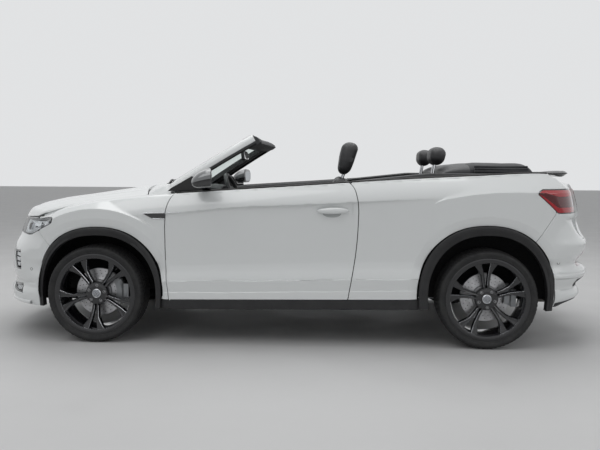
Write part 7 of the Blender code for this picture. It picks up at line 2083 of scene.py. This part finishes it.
def make_soft_top():
    """The folded roof: a stiff front section slants up to layers of cloth, folded on one another."""
    x = np.array([0.0, 0.006, 0.020, 0.045, 0.075, 0.110, 0.150, 0.172, 0.180, 0.190, 0.205, 0.250, 0.330, 0.420, 0.480,
                  0.530, 0.560, 0.578, 0.588, 0.594, 0.597]) * 1.022
    top = np.array([1.164, 1.176, 1.192, 1.206, 1.216, 1.223, 1.229, 1.230, 1.226, 1.230, 1.234, 1.237, 1.2365, 1.237,
                    1.236, 1.234, 1.230, 1.222, 1.210, 1.196, 1.180])
    x = X_REAR - 0.272 + x
    line = spread(np.stack([x, top], 1), count=110)
    half, base, highest, count = 0.612, DECK_TOP + 0.0015, 1.237, 61
    y = np.sin(np.linspace(-1, 1, count) * math.pi / 2)
    side = np.abs(y)
    rings = []
    for a, high in line:
        share, along = (high - base) / (highest - base), a - x[0]
        drop = (1 - side**7) ** (1 / 2.4)
        slack = 0.0035 * np.sin(9 * side + 14 * along) * smooth((0.93 - side) / 0.3) * smooth((along - 0.2) / 0.1)
        crease = 0.003 * np.exp(-((side - 0.62) / 0.012) ** 2) * smooth((along - 0.19) / 0.02)
        z = base + (high - base) * drop + (slack - crease) * share
        rings.append(np.stack([np.full(count, a), y * half, np.maximum(z, base)], axis=1))
    rings = np.array(rings)
    split = int(np.argmin(np.abs(line[:, 0] - (x[0] + 0.183))))
    hard, soft = rings[:split + 1], rings[split:]
    emit("roof_front", surface_of(hard).turned(), ROOF_PANEL, slot="cloth", replaces="soft_top", sharp=50)
    cloth = emit("roof_cloth", surface_of(soft).turned(), CLOTH, slot="cloth", replaces="soft_top", sharp=50)
    # Rolled edges of the lower layers show along both sides.
    edges = []
    for side in (-1, 1):
        for z, r, inset_ in ((1.172, 0.0085, 0.004), (1.190, 0.0085, 0.012), (1.207, 0.0075, 0.026)):
            path = [(a, side * (half - inset_ - 0.004 * math.sin(9 * a)), z + 0.0015 * math.sin(13 * a + z * 40))
                    for a in np.linspace(x[0] + 0.215, x[-1] - 0.03, 40)]
            edges.append(tube(path, r, 10))
    folds = emit("roof_folds", merged(edges), CLOTH, slot="cloth", replaces="soft_top")


# ---------------------------------------------------------------- under the body
def make_underside():
    """Materials for the solids under the body, the sheet under the nose and the wheels' linings."""
    for name, mat in (("floor_pan", UNDER), ("front_structure", UNDER), ("rear_structure", SOFT_TRIM),
                      ("front_subframe", CAST), ("knuckle_l", CAST), ("knuckle_r", CAST), ("rear_axle", CAST),
                      ("engine_block", CAST), ("exhaust", EXHAUST), ("fuel_tank", PLASTIC)):
        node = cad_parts[name]
        if not node.material_slots:
            node.data.materials.append(mat)
        for slot_ in node.material_slots:
            slot_.material = mat
    tray = rounded_box((X_NOSE + 0.20, -0.47, 0.222), (X_FRONT + 0.52, 0.47, 0.234), 0.004, 16)
    ribs = [tube([(x, -0.44, 0.2215), (x, 0.44, 0.2215)], 0.004, 6)
            for x in np.linspace(X_NOSE + 0.28, X_FRONT + 0.44, 9)]
    emit("front_undertray", merged([tray, *ribs]), FELT)
    # Linings over the wheels, black and rough, between the inner wall and the bands.
    for name, shape, half_low in (("front", FRONT_ARCH, 0.453), ("rear", REAR_ARCH, 0.633)):
        over = spread(arch(shape, -0.010, 0.30), count=60)
        rows = [np.stack([over[:, 0], np.full(60, -y), over[:, 1]], axis=1) for y in (half_low, 0.66, 0.80, 0.845)]
        rows.insert(0, rows[0] * (1, 1, 0) + (0, 0, 0.30))
        both(f"wheel_lining_{name}", surface_of(rows), FELT, sharp=40)


# ---------------------------------------------------------------- camera, light and floor
def make_stage():
    """Backdrop, floor and lamps."""
    world = bpy.data.worlds.new("studio")
    world.use_nodes = True
    bpy.context.scene.world = world
    nodes, links = world.node_tree.nodes, world.node_tree.links
    back = nodes["Background"]
    back.inputs["Color"].default_value = (0.82, 0.83, 0.84, 1)
    # Seen directly, in a mirror or through glass the backdrop is plain pale grey; its light on the car is weaker.
    path, seen, mix = (nodes.new(k) for k in ("ShaderNodeLightPath", "ShaderNodeMath", "ShaderNodeMapRange"))
    seen.operation = "ADD"
    also = nodes.new("ShaderNodeMath")
    also.operation, also.use_clamp = "ADD", True
    links.new(path.outputs["Is Camera Ray"], seen.inputs[0])
    links.new(path.outputs["Is Glossy Ray"], seen.inputs[1])
    links.new(seen.outputs[0], also.inputs[0])
    links.new(path.outputs["Is Transmission Ray"], also.inputs[1])
    mix.inputs["To Min"].default_value, mix.inputs["To Max"].default_value = 0.44, 0.92
    links.new(also.outputs[0], mix.inputs["Value"])
    links.new(mix.outputs[0], back.inputs["Strength"])
    floor_mesh = bpy.data.meshes.new("floor")
    floor_mesh.from_pydata([(-40, -40, 0), (40, -40, 0), (40, 40, 0), (-40, 40, 0)], [], [(0, 1, 2, 3)])
    floor_mesh.materials.append(noise_on(material("floor", (0.60, 0.60, 0.60), 0.6), 3, 0.5, 0.7))
    floor = bpy.data.objects.new("floor", floor_mesh)
    bpy.context.scene.collection.objects.link(floor)
    for name, place, size, power in (("key", (-3, -5, 7), 5, 110), ("fill", (6, -4, 4), 4, 45),
                                     ("top", (0, 1, 6), 6, 205)):
        lamp = bpy.data.lights.new(name, "AREA")
        lamp.shape, lamp.size, lamp.energy = "SQUARE", size, power
        obj = bpy.data.objects.new(name, lamp)
        obj.location = place
        obj.rotation_euler = Vector((-place[0], -place[1], 0.5 - place[2])).to_track_quat("-Z", "Y").to_euler()
        bpy.context.scene.collection.objects.link(obj)


def make_camera():
    """At the photograph's place, with its yaw, pitch and roll."""
    yaw, pitch, roll = (math.radians(a) for a in (-2.872, 4.556, -0.344))
    ahead = Vector((math.sin(yaw) * math.cos(pitch), math.cos(yaw) * math.cos(pitch), -math.sin(pitch)))
    right = Vector((math.cos(yaw), -math.sin(yaw), 0))
    down = ahead.cross(right)
    right, down = (right * math.cos(roll) + down * math.sin(roll), down * math.cos(roll) - right * math.sin(roll))
    camera = bpy.data.objects.new("camera", bpy.data.cameras.new("camera"))
    camera.data.sensor_width, camera.data.lens = 36, 40.99
    camera.matrix_world = Matrix((
        (right.x, -down.x, -ahead.x, 0.3203), (right.y, -down.y, -ahead.y, -5.3705),
        (right.z, -down.z, -ahead.z, 1.1739), (0, 0, 0, 1)))
    bpy.context.scene.collection.objects.link(camera)
    bpy.context.scene.camera = camera
    bpy.context.scene.view_settings.view_transform = "Standard"


for make in (make_front_wings, make_door_skins, make_rear_wings, make_bonnet, make_bonnet_gutter, make_front_bumper,
             make_front_lip, make_grille, make_headlamps, make_taillamps, make_lid, make_rear_corners, make_spoiler,
             make_rear_bumper, make_cladding, make_pillars, make_header, make_inner_mirror, make_windscreen, make_cowl,
             make_cowl_corners, make_wipers, make_pillar_trim, make_wheels, make_mirrors, make_handles, make_wing_blade,
             make_sensors, make_belt_strips):
    make()
make_front_seat("seat_front_l", -0.370)
make_front_seat("seat_front_r", 0.370)
for make in (make_rear_seats, make_steering_wheel, make_dashboard, make_steering_column, make_console, make_floor_trim,
             make_door_inside, make_deck, make_soft_top, make_underside, make_stage, make_camera):
    make()
